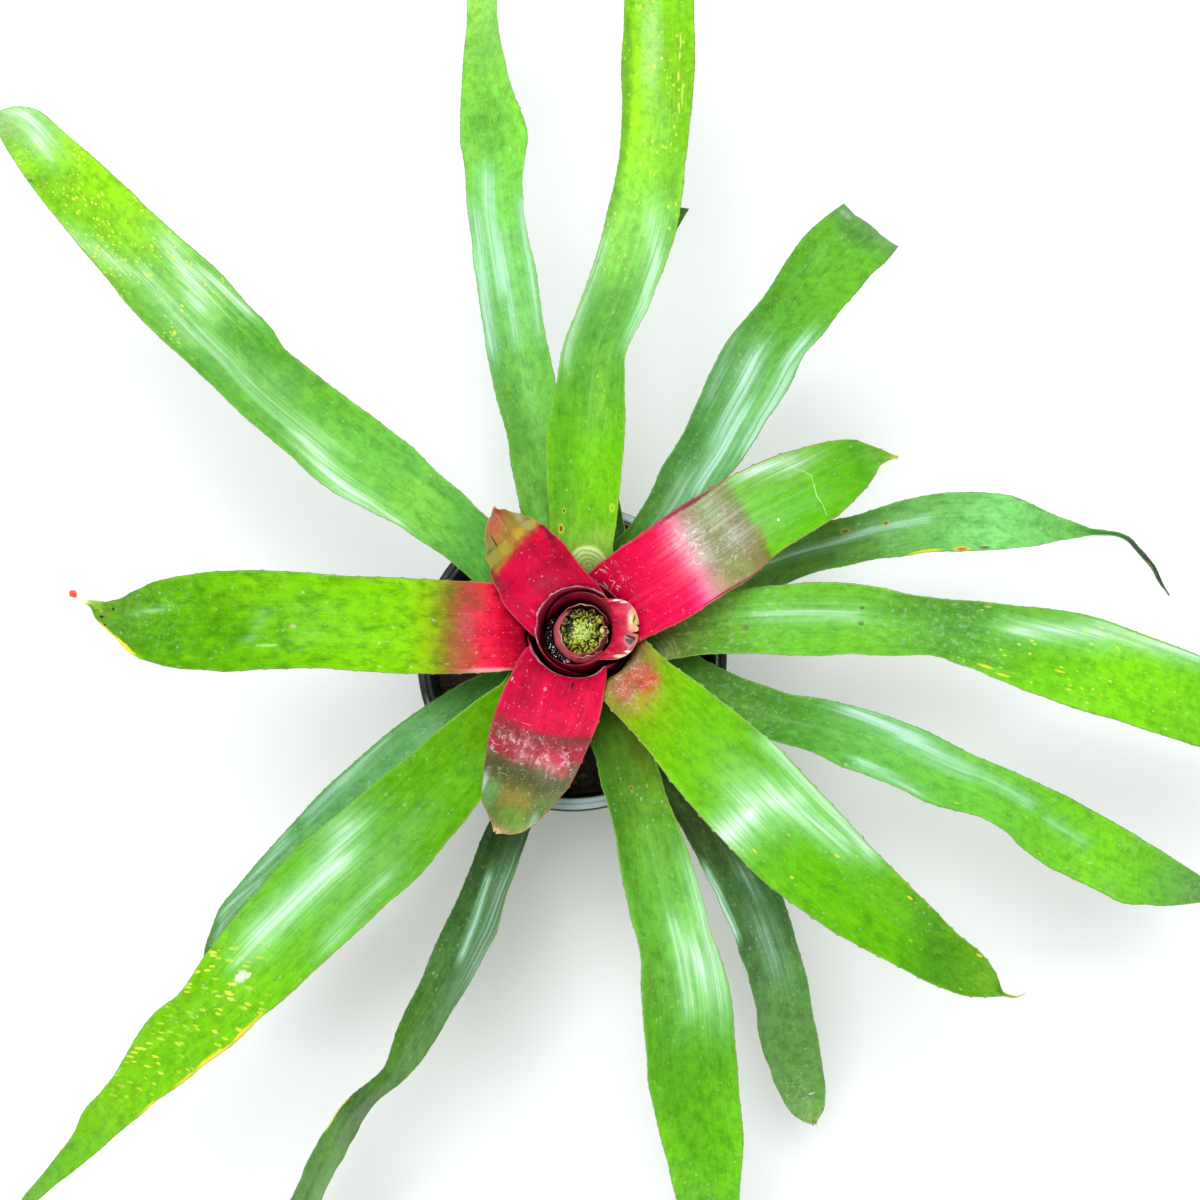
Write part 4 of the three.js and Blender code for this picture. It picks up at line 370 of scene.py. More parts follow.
# ------------------------------------------------------------------ materials
class Nodes:
    """Short hand for building one material's nodes."""

    def __init__(self, name):
        self.mat = bpy.data.materials.new(name)
        self.mat.use_nodes = True
        self.t = self.mat.node_tree
        self.t.nodes.clear()
        self.out = self.t.nodes.new("ShaderNodeOutputMaterial")
        self.bsdf = self.t.nodes.new("ShaderNodeBsdfPrincipled")
        self.t.links.new(self.bsdf.outputs[0], self.out.inputs[0])

    def put(self, socket, value):
        if isinstance(value, bpy.types.NodeSocket):
            self.t.links.new(value, socket)
        elif value is not None:
            if hasattr(socket.default_value, "__len__") and not hasattr(value, "__len__"):
                value = (value,) * len(socket.default_value)
            if hasattr(value, "__len__") and hasattr(socket.default_value, "__len__") and len(value) == 3 and len(socket.default_value) == 4:
                value = (*value, 1.0)
            socket.default_value = value

    def attr(self, name, vector=False):
        n = self.t.nodes.new("ShaderNodeAttribute"); n.attribute_name = name
        return n.outputs["Vector" if vector else "Fac"]

    def math(self, op, a, b=None, c=None, clamp=False):
        n = self.t.nodes.new("ShaderNodeMath"); n.operation = op; n.use_clamp = clamp
        self.put(n.inputs[0], a); self.put(n.inputs[1], b)
        if c is not None:
            self.put(n.inputs[2], c)
        return n.outputs[0]

    def scaled(self, v, scale, shift=(0, 0, 0)):
        n = self.t.nodes.new("ShaderNodeVectorMath"); n.operation = "MULTIPLY_ADD"
        self.put(n.inputs[0], v); self.put(n.inputs[1], scale); self.put(n.inputs[2], shift)
        return n.outputs[0]

    def noise(self, v, detail=3.0, rough=0.55, scale=1.0, distort=0.0, colour=False):
        n = self.t.nodes.new("ShaderNodeTexNoise")
        self.put(n.inputs["Vector"], v)
        n.inputs["Scale"].default_value = scale; n.inputs["Detail"].default_value = detail
        n.inputs["Roughness"].default_value = rough; n.inputs["Distortion"].default_value = distort
        return n.outputs["Color" if colour else "Fac"]

    def cells(self, v, out="Distance", scale=1.0, rand=1.0, feature="F1"):
        n = self.t.nodes.new("ShaderNodeTexVoronoi"); n.feature = feature
        self.put(n.inputs["Vector"], v)
        n.inputs["Scale"].default_value = scale; n.inputs["Randomness"].default_value = rand
        return n.outputs[out] if out != "both" else (n.outputs["Distance"], n.outputs["Color"])

    def span(self, v, a, b, c=0.0, d=1.0, smooth_step=True):
        n = self.t.nodes.new("ShaderNodeMapRange"); n.clamp = True
        if smooth_step:
            n.interpolation_type = "SMOOTHSTEP"
        self.put(n.inputs["Value"], v)
        for key, x in (("From Min", a), ("From Max", b), ("To Min", c), ("To Max", d)):
            self.put(n.inputs[key], x)
        return n.outputs["Result"]

    def ramp(self, v, stops, mode="LINEAR"):
        n = self.t.nodes.new("ShaderNodeValToRGB"); n.color_ramp.interpolation = mode
        cr = n.color_ramp
        while len(cr.elements) > 1:
            cr.elements.remove(cr.elements[-1])
        first = True
        for p, col in stops:
            e = cr.elements[0] if first else cr.elements.new(p)
            e.position = p; e.color = (*rgb(col), 1.0); first = False
        self.put(n.inputs[0], v)
        return n.outputs[0]

    def mix(self, f, a, b, mode="MIX"):
        n = self.t.nodes.new("ShaderNodeMix"); n.data_type = "RGBA"; n.blend_type = mode; n.clamp_factor = True
        self.put(n.inputs[0], f); self.put(n.inputs[6], rgb(a)); self.put(n.inputs[7], rgb(b))
        return n.outputs[2]

    def bump(self, h, dist, strength=1.0, normal=None):
        n = self.t.nodes.new("ShaderNodeBump")
        n.inputs["Strength"].default_value = strength; n.inputs["Distance"].default_value = dist
        self.put(n.inputs["Height"], h)
        if normal is not None:
            self.put(n.inputs["Normal"], normal)
        return n.outputs[0]

    def segment(self, v, a, b):
        """Distance of v from the straight line between a and b."""
        ab = np.array(b, float) - np.array(a, float); size = max(float(ab @ ab), 1e-9)
        def vec(op, x, y=None, scale=None):
            n = self.t.nodes.new("ShaderNodeVectorMath"); n.operation = op
            self.put(n.inputs[0], x)
            if y is not None:
                self.put(n.inputs[1], y)
            if scale is not None:
                self.put(n.inputs["Scale"], scale)
            return n.outputs["Value" if op in ("DOT_PRODUCT", "LENGTH") else "Vector"]
        pa = vec("SUBTRACT", v, tuple(float(x) for x in a))
        t = self.math("MULTIPLY", vec("DOT_PRODUCT", pa, tuple(ab)), 1.0 / size, clamp=True)
        return vec("LENGTH", vec("SUBTRACT", pa, vec("SCALE", tuple(ab), scale=t)))

    def object_coords(self):
        n = self.t.nodes.new("ShaderNodeTexCoord")
        return n.outputs["Object"]


def rgb(c):
    """An sRGB triple of 0 to 255, or a socket, as what a colour socket takes."""
    if isinstance(c, bpy.types.NodeSocket) or c is None:
        return c
    c = [x / 255.0 for x in c]
    return tuple(x / 12.92 if x <= 0.04045 else ((x + 0.055) / 1.055) ** 2.4 for x in c[:3])


def leaf_material(L):
    k = Nodes(L["name"])
    sd = (L["seed"] * 1.37, L["seed"] * 2.11, L["seed"] * 0.7)
    sd2 = (sd[1], sd[2], 0)
    grain = k.attr("grain", True); frac = k.attr("frac"); across = k.attr("across"); under = k.attr("under"); mm = k.attr("along_mm")
    top = k.math("SUBTRACT", 1.0, under)
    aside = k.math("ABSOLUTE", across)
    streak = k.noise(k.scaled(grain, (520, 9, 0), sd), detail=3, rough=0.6)
    patch = k.noise(k.scaled(grain, (42, 16, 0), sd), detail=4, rough=0.6)
    broad = k.noise(k.scaled(grain, (18, 6, 0), sd), detail=2, rough=0.5)
    fine = k.noise(k.scaled(grain, (1400, 14, 0), sd), detail=2, rough=0.6)
    blotch = k.noise(k.scaled(grain, (185, 100, 0), sd2), detail=4, rough=0.62)
    comb = k.noise(k.scaled(grain, (640, 7, 0), sd2), detail=2, rough=0.5)
    # place along the blade, warped by the veins
    w1, w2 = L.get("warp", (0.05, 0.05))
    place = k.math("ADD", frac, k.math("MULTIPLY", k.math("SUBTRACT", streak, 0.5), w1))
    place = k.math("ADD", place, k.math("MULTIPLY", k.math("SUBTRACT", patch, 0.5), w2))
    place = k.math("ADD", place, k.math("MULTIPLY", across, L.get("skew", 0.0)))
    place = k.math("ADD", place, k.math("MULTIPLY", k.math("MULTIPLY", across, across), L.get("bow", 0.0)))
    gain = L.get("gain", (1, 1, 1))
    col = k.ramp(place, [(p, tuple(min(255, x * g) for x, g in zip(c, gain))) for p, c in L["ramp"]])
    # patches of deeper and lighter colour
    deep, light = L.get("deep", (44, 116, 14)), L.get("light", (150, 218, 50))
    if L.get("red_to"):                       # redder patches below, green ones beyond
        beyond = k.span(place, *L["red_to"])
        deep, light = k.mix(beyond, L.get("deep_red", (168, 4, 44)), deep), k.mix(beyond, L.get("light_red", (250, 40, 104)), light)
    col = k.mix(k.math("MULTIPLY", k.span(broad, 0.50, 0.68), L.get("deep_amount", 0.50)), col, deep)
    col = k.mix(k.math("MULTIPLY", k.span(patch, 0.54, 0.76), L.get("light_amount", 0.44)), col, light)
    col = k.mix(k.math("MULTIPLY", k.span(blotch, 0.46, 0.68), L.get("mottle", 0.36)), col, deep)
    col = k.mix(k.math("MULTIPLY", k.span(blotch, 0.47, 0.30), L.get("mottle", 0.36) * 0.8), col, light)
    # soft tints: (mm from the collar, cross place, radius across, radius along, colour, strength)
    st = np.array(L["blade"]); reach = np.r_[0, np.cumsum(np.linalg.norm(np.diff(st[:, :3], axis=0), axis=1))]
    cloud = k.math("ADD", k.math("MULTIPLY", k.math("SUBTRACT", blotch, 0.5), 0.9), k.math("MULTIPLY", k.math("SUBTRACT", streak, 0.5), 0.35)) if L.get("tints") else None
    for (m0, u0, ra, rl, colour, strength) in L.get("tints", []):
        hw = float(np.interp(m0 - (L["root"] - L["collar_q"]), reach, st[:, 3]))
        v = k.scaled(grain, (1000.0 / ra, 1000.0 / rl, 0), (-u0 * hw / ra, -m0 / rl, 0))
        n = k.t.nodes.new("ShaderNodeVectorMath"); n.operation = "LENGTH"; k.put(n.inputs[0], v)
        col = k.mix(k.math("MULTIPLY", k.span(k.math("SUBTRACT", n.outputs["Value"], cloud), 1.35, 0.35, 0, 1), strength), col, colour)
    pebble = k.noise(k.scaled(grain, (300, 190, 0), sd), detail=4, rough=0.7)
    col = k.mix(L.get("pebble", 0.55), col, k.mix(1.0, col, k.ramp(pebble, [(0.34, (184, 184, 176)), (0.50, (236, 236, 230)), (0.62, (255, 255, 255))]), "MULTIPLY"))
    # veins, faint in the colour
    col = k.mix(k.math("MULTIPLY", k.span(streak, 0.50, 0.75), L.get("vein_amount", 0.12)), col, L.get("vein_light", light))
    col = k.mix(L.get("line_amount", 0.16), col, k.mix(1.0, col, k.ramp(fine, [(0.3, (120, 120, 120)), (0.7, (255, 255, 255))]), "MULTIPLY"))
    # painted highlights: pale bluish-white streaks painted into the colour where the gloss of the blade would catch the
    # light, each from (along, across) to (along, across), half width, strength
    st = np.array(L["blade"]); reach = np.r_[0, np.cumsum(np.linalg.norm(np.diff(st[:, :3], axis=0), axis=1))]
    length = 0.42 * (L["total"] - L["root"]) / max(4.0, float(np.median(st[:, 3])))
    n = k.t.nodes.new("ShaderNodeCombineXYZ"); k.put(n.inputs[0], across); k.put(n.inputs[1], k.math("MULTIPLY", frac, length)); spot = n.outputs[0]
    ragged = k.math("ADD", k.math("MULTIPLY", k.math("SUBTRACT", streak, 0.5), 2.2), k.math("MULTIPLY", k.math("SUBTRACT", patch, 0.5), 1.2))
    painted_sheen_mask = painted_glow = painted_sheen_core = None
    for (f0, u0, f1, u1, w, strength) in L.get("painted_sheen", []):
        dist = k.segment(spot, (u0, f0 * length, 0), (u1, f1 * length, 0))
        dist = k.math("SUBTRACT", k.math("DIVIDE", dist, w), ragged)
        m = k.math("MULTIPLY", k.span(dist, 2.2, -0.3, 0, 1), strength)
        g = k.math("MULTIPLY", k.span(dist, 3.4, 0.0, 0, 1), strength)
        c = k.math("MULTIPLY", k.span(dist, 1.1, -0.6, 0, 1), min(1.0, strength))
        painted_sheen_mask = m if painted_sheen_mask is None else k.math("MAXIMUM", painted_sheen_mask, m)
        painted_glow = g if painted_glow is None else k.math("MAXIMUM", painted_glow, g)
        painted_sheen_core = c if painted_sheen_core is None else k.math("MAXIMUM", painted_sheen_core, c)
    if painted_sheen_mask is not None:
        # painted highlight: a wide pale halo, a softer streak and a near-white core, on the upper side only
        col = k.mix(k.math("MULTIPLY", k.math("MULTIPLY", painted_glow, top), L.get("painted_glow", 0.42)), col, L.get("painted_glow_colour", (150, 222, 140)))
        lines = k.math("MULTIPLY", k.span(comb, 0.40, 0.56, 0.34, 1.0), k.span(fine, 0.34, 0.60, 0.70, 1.0))
        col = k.mix(k.math("MULTIPLY", k.math("MULTIPLY", k.math("MULTIPLY", painted_sheen_mask, lines), top), 0.86), col, L.get("painted_sheen_soft", (192, 242, 186)))
        col = k.mix(k.math("MULTIPLY", k.math("MULTIPLY", painted_sheen_core, lines), top), col, L.get("painted_sheen_colour", (238, 253, 252)))
    # scurf: tiny pale scales, and a few larger ones
    stray = k.noise(k.scaled(grain, (900, 560, 0), sd2), detail=3, rough=0.7, colour=True)
    dist, cell = k.cells(k.scaled(stray, (1.5, 1.5, 0), k.scaled(grain, (560, 400, 0), sd)), "both")
    sep = k.t.nodes.new("ShaderNodeSeparateColor"); k.put(sep.inputs[0], cell)
    dots = k.math("MULTIPLY", k.span(k.math("ADD", dist, k.math("MULTIPLY", sep.outputs[1], 0.30)), 0.22, 0.42, 1, 0), k.span(sep.outputs[0], 1 - L.get("scurf", 0.25), 1.02 - L.get("scurf", 0.25)))
    dots = k.math("MULTIPLY", dots, k.math("MULTIPLY", k.span(patch, 0.40, 0.62, 0.12, 1.0), k.span(sep.outputs[2], 0.0, 1.0, 0.20, 1.0)))
    col = k.mix(k.math("MULTIPLY", dots, L.get("scurf_strength", 0.5)), col, L.get("scurf_colour", (196, 226, 170)))
    dist1, cell1 = k.cells(k.scaled(stray, (1.2, 1.2, 0), k.scaled(grain, (960, 720, 0), sd2)), "both")
    sep1 = k.t.nodes.new("ShaderNodeSeparateColor"); k.put(sep1.inputs[0], cell1)
    grit = k.math("MULTIPLY", k.span(dist1, 0.20, 0.40, 1, 0), k.span(sep1.outputs[0], 1 - L.get("fine_scurf", 0.20), 1.02 - L.get("fine_scurf", 0.20)))
    grit = k.math("MULTIPLY", grit, k.math("MULTIPLY", k.span(blotch, 0.38, 0.60, 0.25, 1.0), k.span(sep1.outputs[1], 0.1, 1.0, 0.15, 1.0)))
    col = k.mix(k.math("MULTIPLY", grit, L.get("fine_strength", 0.26)), col, L.get("scurf_colour", (196, 226, 170)))
    dist2, cell2 = k.cells(k.scaled(stray, (0.5, 0.5, 0), k.scaled(grain, (210, 130, 0), sd)), "both")
    sep2 = k.t.nodes.new("ShaderNodeSeparateColor"); k.put(sep2.inputs[0], cell2)
    big = k.math("MULTIPLY", k.span(dist2, 0.08, 0.20, 1, 0), k.span(sep2.outputs[1], 0.93, 0.95))
    col = k.mix(k.math("MULTIPLY", big, L.get("spots", 0.18)), col, L.get("scurf_colour", (196, 226, 170)))
    # clouds of rubbed grey scurf: (from, to, cross from, cross to, strength)
    for (f0, f1, c0, c1, strength) in L.get("scuff", []):
        m = k.math("MULTIPLY", k.span(frac, f0 - 0.04, f0 + 0.03), k.span(frac, f1 - 0.03, f1 + 0.04, 1, 0))
        m = k.math("MULTIPLY", m, k.math("MULTIPLY", k.span(across, c0 - 0.2, c0 + 0.1), k.span(across, c1 - 0.1, c1 + 0.2, 1, 0)))
        tear = k.noise(k.scaled(grain, (420, 300, 0), sd2), detail=5, rough=0.7)
        m = k.math("MULTIPLY", m, k.span(tear, 0.50, 0.66))
        col = k.mix(k.math("MULTIPLY", m, strength), col, L.get("scuff_colour", (214, 226, 204)))
    # thin wandering scratches: (from, to, cross from, cross to, strength)
    for (f0, f1, c0, c1, strength) in L.get("scratch", []):
        m = k.math("MULTIPLY", k.span(frac, f0 - 0.03, f0 + 0.02), k.span(frac, f1 - 0.02, f1 + 0.03, 1, 0))
        m = k.math("MULTIPLY", m, k.math("MULTIPLY", k.span(across, c0 - 0.2, c0 + 0.1), k.span(across, c1 - 0.1, c1 + 0.2, 1, 0)))
        wire = k.noise(k.scaled(grain, (105, 150, 0), sd2), detail=2, rough=0.55, distort=1.2)
        m = k.math("MULTIPLY", m, k.span(k.math("ABSOLUTE", k.math("SUBTRACT", wire, 0.5)), 0.017, 0.005, 0, 1))
        m = k.math("MULTIPLY", m, k.span(k.noise(k.scaled(grain, (260, 200, 0), sd), detail=3), 0.44, 0.58))
        col = k.mix(k.math("MULTIPLY", k.math("MULTIPLY", m, top), strength), col, L.get("scratch_colour", (252, 232, 234)))
    # creases: ((place along, place across), ...), half width, colour, strength
    for (points, width, colour, strength) in L.get("creases", []):
        near = None
        for (fa, ua), (fb, ub) in zip(points, points[1:]):
            d = k.segment(spot, (ua, fa * length, 0), (ub, fb * length, 0))
            near = d if near is None else k.math("MINIMUM", near, d)
        near = k.math("ADD", near, k.math("MULTIPLY", k.math("ABSOLUTE", k.math("SUBTRACT", blotch, 0.5)), width * 4.0))
        m = k.math("MULTIPLY", k.span(near, width * 1.7, width * 0.5, 0, 1), k.span(k.noise(k.scaled(grain, (330, 330, 0), sd), detail=3), 0.34, 0.52, 0.30, 1.0))
        col = k.mix(k.math("MULTIPLY", k.math("MULTIPLY", m, top), strength), col, colour)
    # short yellow dashes along the veins: (from, to, cross from, cross to, density, strength)
    for (f0, f1, c0, c1, density, strength, tall) in L.get("dashes", []):
        turned = grain
        if tall:                                    # these run slantwise over the blade
            tn = k.t.nodes.new("ShaderNodeVectorRotate"); tn.rotation_type = "Z_AXIS"
            k.put(tn.inputs["Vector"], grain); tn.inputs["Angle"].default_value = -0.95
            turned = tn.outputs[0]
        d3, c3 = k.cells(k.scaled(stray, (0.4, 0.3, 0), k.scaled(turned, (480 if tall else 620, 175 if tall else 330, 0), sd2)), "both")
        s3 = k.t.nodes.new("ShaderNodeSeparateColor"); k.put(s3.inputs[0], c3)
        m = k.math("MULTIPLY", k.span(k.math("ADD", d3, k.math("MULTIPLY", s3.outputs[0], 0.14)), 0.30, 0.44, 1, 0), k.span(s3.outputs[2], 1 - density, 1.02 - density))
        m = k.math("MULTIPLY", m, k.math("MULTIPLY", k.span(frac, f0 - 0.04, f0 + 0.04), k.span(frac, f1 - 0.04, f1 + 0.04, 1, 0)))
        m = k.math("MULTIPLY", m, k.math("MULTIPLY", k.span(across, c0 - 0.15, c0 + 0.1), k.span(across, c1 - 0.1, c1 + 0.15, 1, 0)))
        m = k.math("MULTIPLY", m, k.span(k.noise(k.scaled(grain, (90, 40, 0), (sd[2], sd[0], 0)), detail=2), 0.42, 0.55, 0.45 if tall else 0.10, 1.0))
        col = k.mix(k.math("MULTIPLY", m, strength), col, (220, 232, 84))
    # single marks: (place along, place across, radius across in mm, radius along in mm, colour, halo colour or None)
    for (f0, u0, ra, rl, colour, halo) in L.get("marks", []):
        hw = float(np.interp(f0 * reach[-1], reach, st[:, 3]))
        my = f0 * (L["total"] - L["root"]) + L["root"] - L["collar_q"]
        mx = u0 * hw * L.get("mark_side", 1)
        v = k.scaled(grain, (1000.0 / ra, 1000.0 / rl, 0), (-mx / ra, -my / rl, 0))
        n = k.t.nodes.new("ShaderNodeVectorMath"); n.operation = "LENGTH"; k.put(n.inputs[0], v)
        dd = k.math("ADD", n.outputs["Value"], k.math("MULTIPLY", k.math("SUBTRACT", k.noise(k.scaled(grain, (900, 700, 0), sd)), 0.5), 1.1))
        if halo is not None:
            col = k.mix(k.math("MULTIPLY", k.math("MULTIPLY", k.span(dd, 1.2, 2.0, 1, 0), 0.75), top), col, halo)
        col = k.mix(k.math("MULTIPLY", k.math("MULTIPLY", k.span(dd, 0.6, 1.15, 1, 0), 0.92), top), col, colour)
    # foot of the leaf: the inner face of the sheath, then its outer face
    foot = k.span(mm, L.get("foot_from", -7.0), L.get("foot_to", 3.0), 1, 0)
    inner = k.mix(k.span(blotch, 0.4, 0.7), L.get("inside", (64, 10, 26)), L.get("inside2", (92, 22, 40)))
    outer = k.mix(k.span(patch, 0.35, 0.7), L.get("outside", (104, 130, 50)), L.get("outside2", (146, 158, 92)))
    if L.get("outside_top"):
        outer = k.mix(k.span(mm, -46, -16), outer, k.mix(k.span(blotch, 0.35, 0.7), L["outside_top"], L.get("outside_top2", L["outside_top"])))
    footcol = k.mix(under, inner, outer)
    col_top = k.mix(k.math("MULTIPLY", foot, top), col, footcol)
    if L.get("lip"):
        l0, l1, strength, lipcol = L["lip"]
        loose = k.math("ADD", mm, k.math("MULTIPLY", k.math("SUBTRACT", k.noise(k.scaled(grain, (260, 60, 0), sd), detail=4, rough=0.65), 0.5), 3.4))
        m = k.math("MULTIPLY", k.span(loose, l0 - 0.4, l0 + 0.1), k.span(loose, l1 - 0.5, l1 + 0.1, 1, 0))
        m2 = k.math("MULTIPLY", k.span(loose, l0 - 4.6, l0 - 4.2), k.span(loose, l0 - 3.9, l0 - 3.5, 1, 0))
        m = k.math("MAXIMUM", m, k.math("MULTIPLY", m2, 0.45))
        m = k.math("MULTIPLY", m, k.span(k.noise(k.scaled(grain, (190, 500, 0), sd), detail=3), 0.36, 0.54, 0.30, 1.0))
        col_top = k.mix(k.math("MULTIPLY", m, strength), col_top, lipcol)
    if L.get("rings"):
        r0, r1, period, strength = L["rings"]
        bowed = k.math("ADD", mm, k.math("MULTIPLY", k.math("MULTIPLY", across, across), L.get("ring_bow", 10.0)))
        bowed = k.math("ADD", bowed, k.math("MULTIPLY", k.noise(k.scaled(grain, (60, 60, 0), sd)), 1.6))
        wv = k.math("SINE", k.math("MULTIPLY", bowed, 2 * math.pi / period))
        m = k.math("MULTIPLY", k.span(wv, 0.2, 0.95), k.math("MULTIPLY", k.span(bowed, r0, r0 + 2), k.span(bowed, r1 - 2, r1, 1, 0)))
        col_top = k.mix(k.math("MULTIPLY", m, strength), col_top, (226, 238, 200))
    # ring scars at the foot: (mm from collar, mm across, radius, rings, strength, fill colour, fill strength)
    for (m0, x0, radius, rings, strength, fill, fill_strength) in L.get("scars", []):
        n = k.t.nodes.new("ShaderNodeVectorMath"); n.operation = "LENGTH"
        k.put(n.inputs[0], k.scaled(grain, (1000.0 / radius, 1000.0 / radius, 0), (-x0 / radius, -m0 / radius, 0)))
        rad = k.math("ADD", n.outputs["Value"], k.math("MULTIPLY", k.math("SUBTRACT", k.noise(k.scaled(grain, (150, 150, 0), sd), detail=2), 0.5), 0.16))
        whole = k.math("MULTIPLY", k.span(rad, 1.02, 0.90), top)
        col_top = k.mix(k.math("MULTIPLY", whole, fill_strength), col_top, fill)
        wave = k.math("SINE", k.math("MULTIPLY", rad, 2 * math.pi * rings))
        col_top = k.mix(k.math("MULTIPLY", k.math("MULTIPLY", k.span(wave, -0.1, -0.9), whole), strength * 0.45), col_top, (104, 150, 62))
        m = k.math("MULTIPLY", k.span(wave, 0.1, 0.9), k.math("MULTIPLY", whole, k.span(rad, 0.1, 0.8, 0.45, 1.0)))
        m = k.math("MULTIPLY", m, k.span(k.noise(k.scaled(grain, (300, 300, 0), sd2), detail=3), 0.36, 0.60, 0.25, 1.0))
        col_top = k.mix(k.math("MULTIPLY", m, strength), col_top, (232, 242, 208))
    # under side: paler, with cross bands of grey scurf
    pale = k.mix(L.get("under_pale", 0.42), k.mix(0.30, col, (96, 150, 60)), L.get("under_colour", (132, 168, 92)))
    band = k.noise(k.scaled(grain, (26, 300, 0), sd), detail=3, rough=0.65)
    pale = k.mix(k.span(band, 0.46, 0.70, 0.0, 0.30), pale, (186, 200, 160))
    pale = k.mix(foot, pale, footcol)
    col = k.mix(under, col_top, pale)
    # margins: a thin line, not down in the sheath
    edge = k.math("MULTIPLY", k.span(aside, 0.965, 0.995), k.span(mm, L.get("edge_from", -2.0), L.get("edge_from", -2.0) + 6.0))
    col = k.mix(k.math("MULTIPLY", edge, L.get("edge_strength", 0.45)), col, L.get("edge", (190, 205, 100)))
    # a few stretches of one margin dried yellow to brown: (from, to, side)
    for (f0, f1, side) in L.get("dry_edge", []):
        m = k.math("MULTIPLY", k.span(frac, f0 - 0.015, f0 + 0.015), k.span(frac, f1 - 0.015, f1 + 0.015, 1, 0))
        m = k.math("MULTIPLY", m, k.span(k.math("ADD", k.math("MULTIPLY", across, side), k.math("MULTIPLY", k.math("SUBTRACT", blotch, 0.5), 0.3)), 0.88, 0.95))
        col = k.mix(m, col, k.mix(k.span(fine, 0.54, 0.70), (234, 216, 66), (206, 150, 52)))
    # tip
    tipm = k.span(frac, L.get("tip_from", 0.985), min(1.0, L.get("tip_from", 0.985) + 0.02))
    col = k.mix(k.math("MULTIPLY", tipm, L.get("tip_strength", 0.8)), col, L.get("tip", (150, 120, 60)))
    if L.get("tip_end"):
        t0 = L.get("tip_end_from", 0.985)
        col = k.mix(k.span(frac, t0, t0 + 0.003), col, k.mix(k.span(blotch, 0.35, 0.7), L["tip_end"], (246, 110, 84)))
    k.put(k.bsdf.inputs["Base Color"], col)
    g = L.get("gloss", 0.30)
    rough = k.span(k.math("ADD", k.math("MULTIPLY", patch, 0.6), k.math("MULTIPLY", streak, 0.4)), 0.3, 0.75, g, g + 0.16, False)
    rough = k.math("ADD", rough, k.math("MULTIPLY", under, 0.16), clamp=True)
    rough = k.math("ADD", rough, k.math("MULTIPLY", dots, 0.15), clamp=True)
    k.put(k.bsdf.inputs["Roughness"], rough)
    k.bsdf.inputs["IOR"].default_value = 1.45
    k.bsdf.inputs["Specular IOR Level"].default_value = L.get("spec", 0.22)
    k.bsdf.inputs["Subsurface Weight"].default_value = 0.10
    k.bsdf.inputs["Subsurface Radius"].default_value = (0.6, 1.0, 0.3)
    k.bsdf.inputs["Subsurface Scale"].default_value = 0.0012
    h = k.math("ADD", k.math("MULTIPLY", fine, 0.5), k.math("MULTIPLY", streak, 0.5))
    h = k.math("ADD", h, k.math("MULTIPLY", dots, 0.3))
    n1 = k.bump(h, 0.00022, 0.5)
    n2 = k.bump(k.noise(k.scaled(grain, (90, 26, 0), sd), detail=2), 0.0016, 0.32, n1)
    k.put(k.bsdf.inputs["Normal"], n2)
    return k.mat


# ------------------------------------------------------------------ finish of each leaf
# ramp: colour along the blade from cup to tip; skew and bow tilt and curve the bands across the blade.
# Cross places run from -1 to 1, +1 being the left margin as seen travelling from the cup to the tip.
RED = dict(gloss=0.26, spec=0.15, scurf=0.20, scurf_strength=0.46, fine_scurf=0.22, fine_strength=0.24, scurf_colour=(255, 190, 204), vein_light=(255, 70, 116), vein_amount=0.05, mottle=0.30, line_amount=0.10, pebble=0.50, spots=0.10,
           deep=(150, 2, 36), light=(246, 24, 92), deep_amount=0.45, light_amount=0.34, spine=0.8, spine_gap=(8.0, 11.0),
           inside=(204, 36, 90), inside2=(150, 18, 64), outside=(128, 108, 66), outside2=(160, 120, 92), outside_top=(190, 24, 72), outside_top2=(150, 14, 54),
           edge=(206, 110, 96), edge_strength=0.5, edge_from=4.0, under_colour=(150, 110, 90), under_pale=0.35)
GREEN = dict(gloss=0.27, spec=0.14, scurf=0.24, scurf_strength=0.56, edge=(170, 205, 90), spine=0.35, inside=(96, 120, 52), inside2=(122, 144, 70))
DARK = dict(gloss=0.30, painted_sheen_soft=(176, 228, 196), painted_sheen_colour=(224, 248, 244), painted_glow_colour=(136, 200, 132), scurf=0.36, scurf_strength=0.60, fine_scurf=0.28, fine_strength=0.34, deep=(50, 106, 36), light=(128, 200, 86), edge=(126, 166, 92), edge_strength=0.4, spine=0.35,
            inside=(70, 92, 46), inside2=(90, 110, 60), outside=(96, 116, 66), outside2=(136, 146, 98))

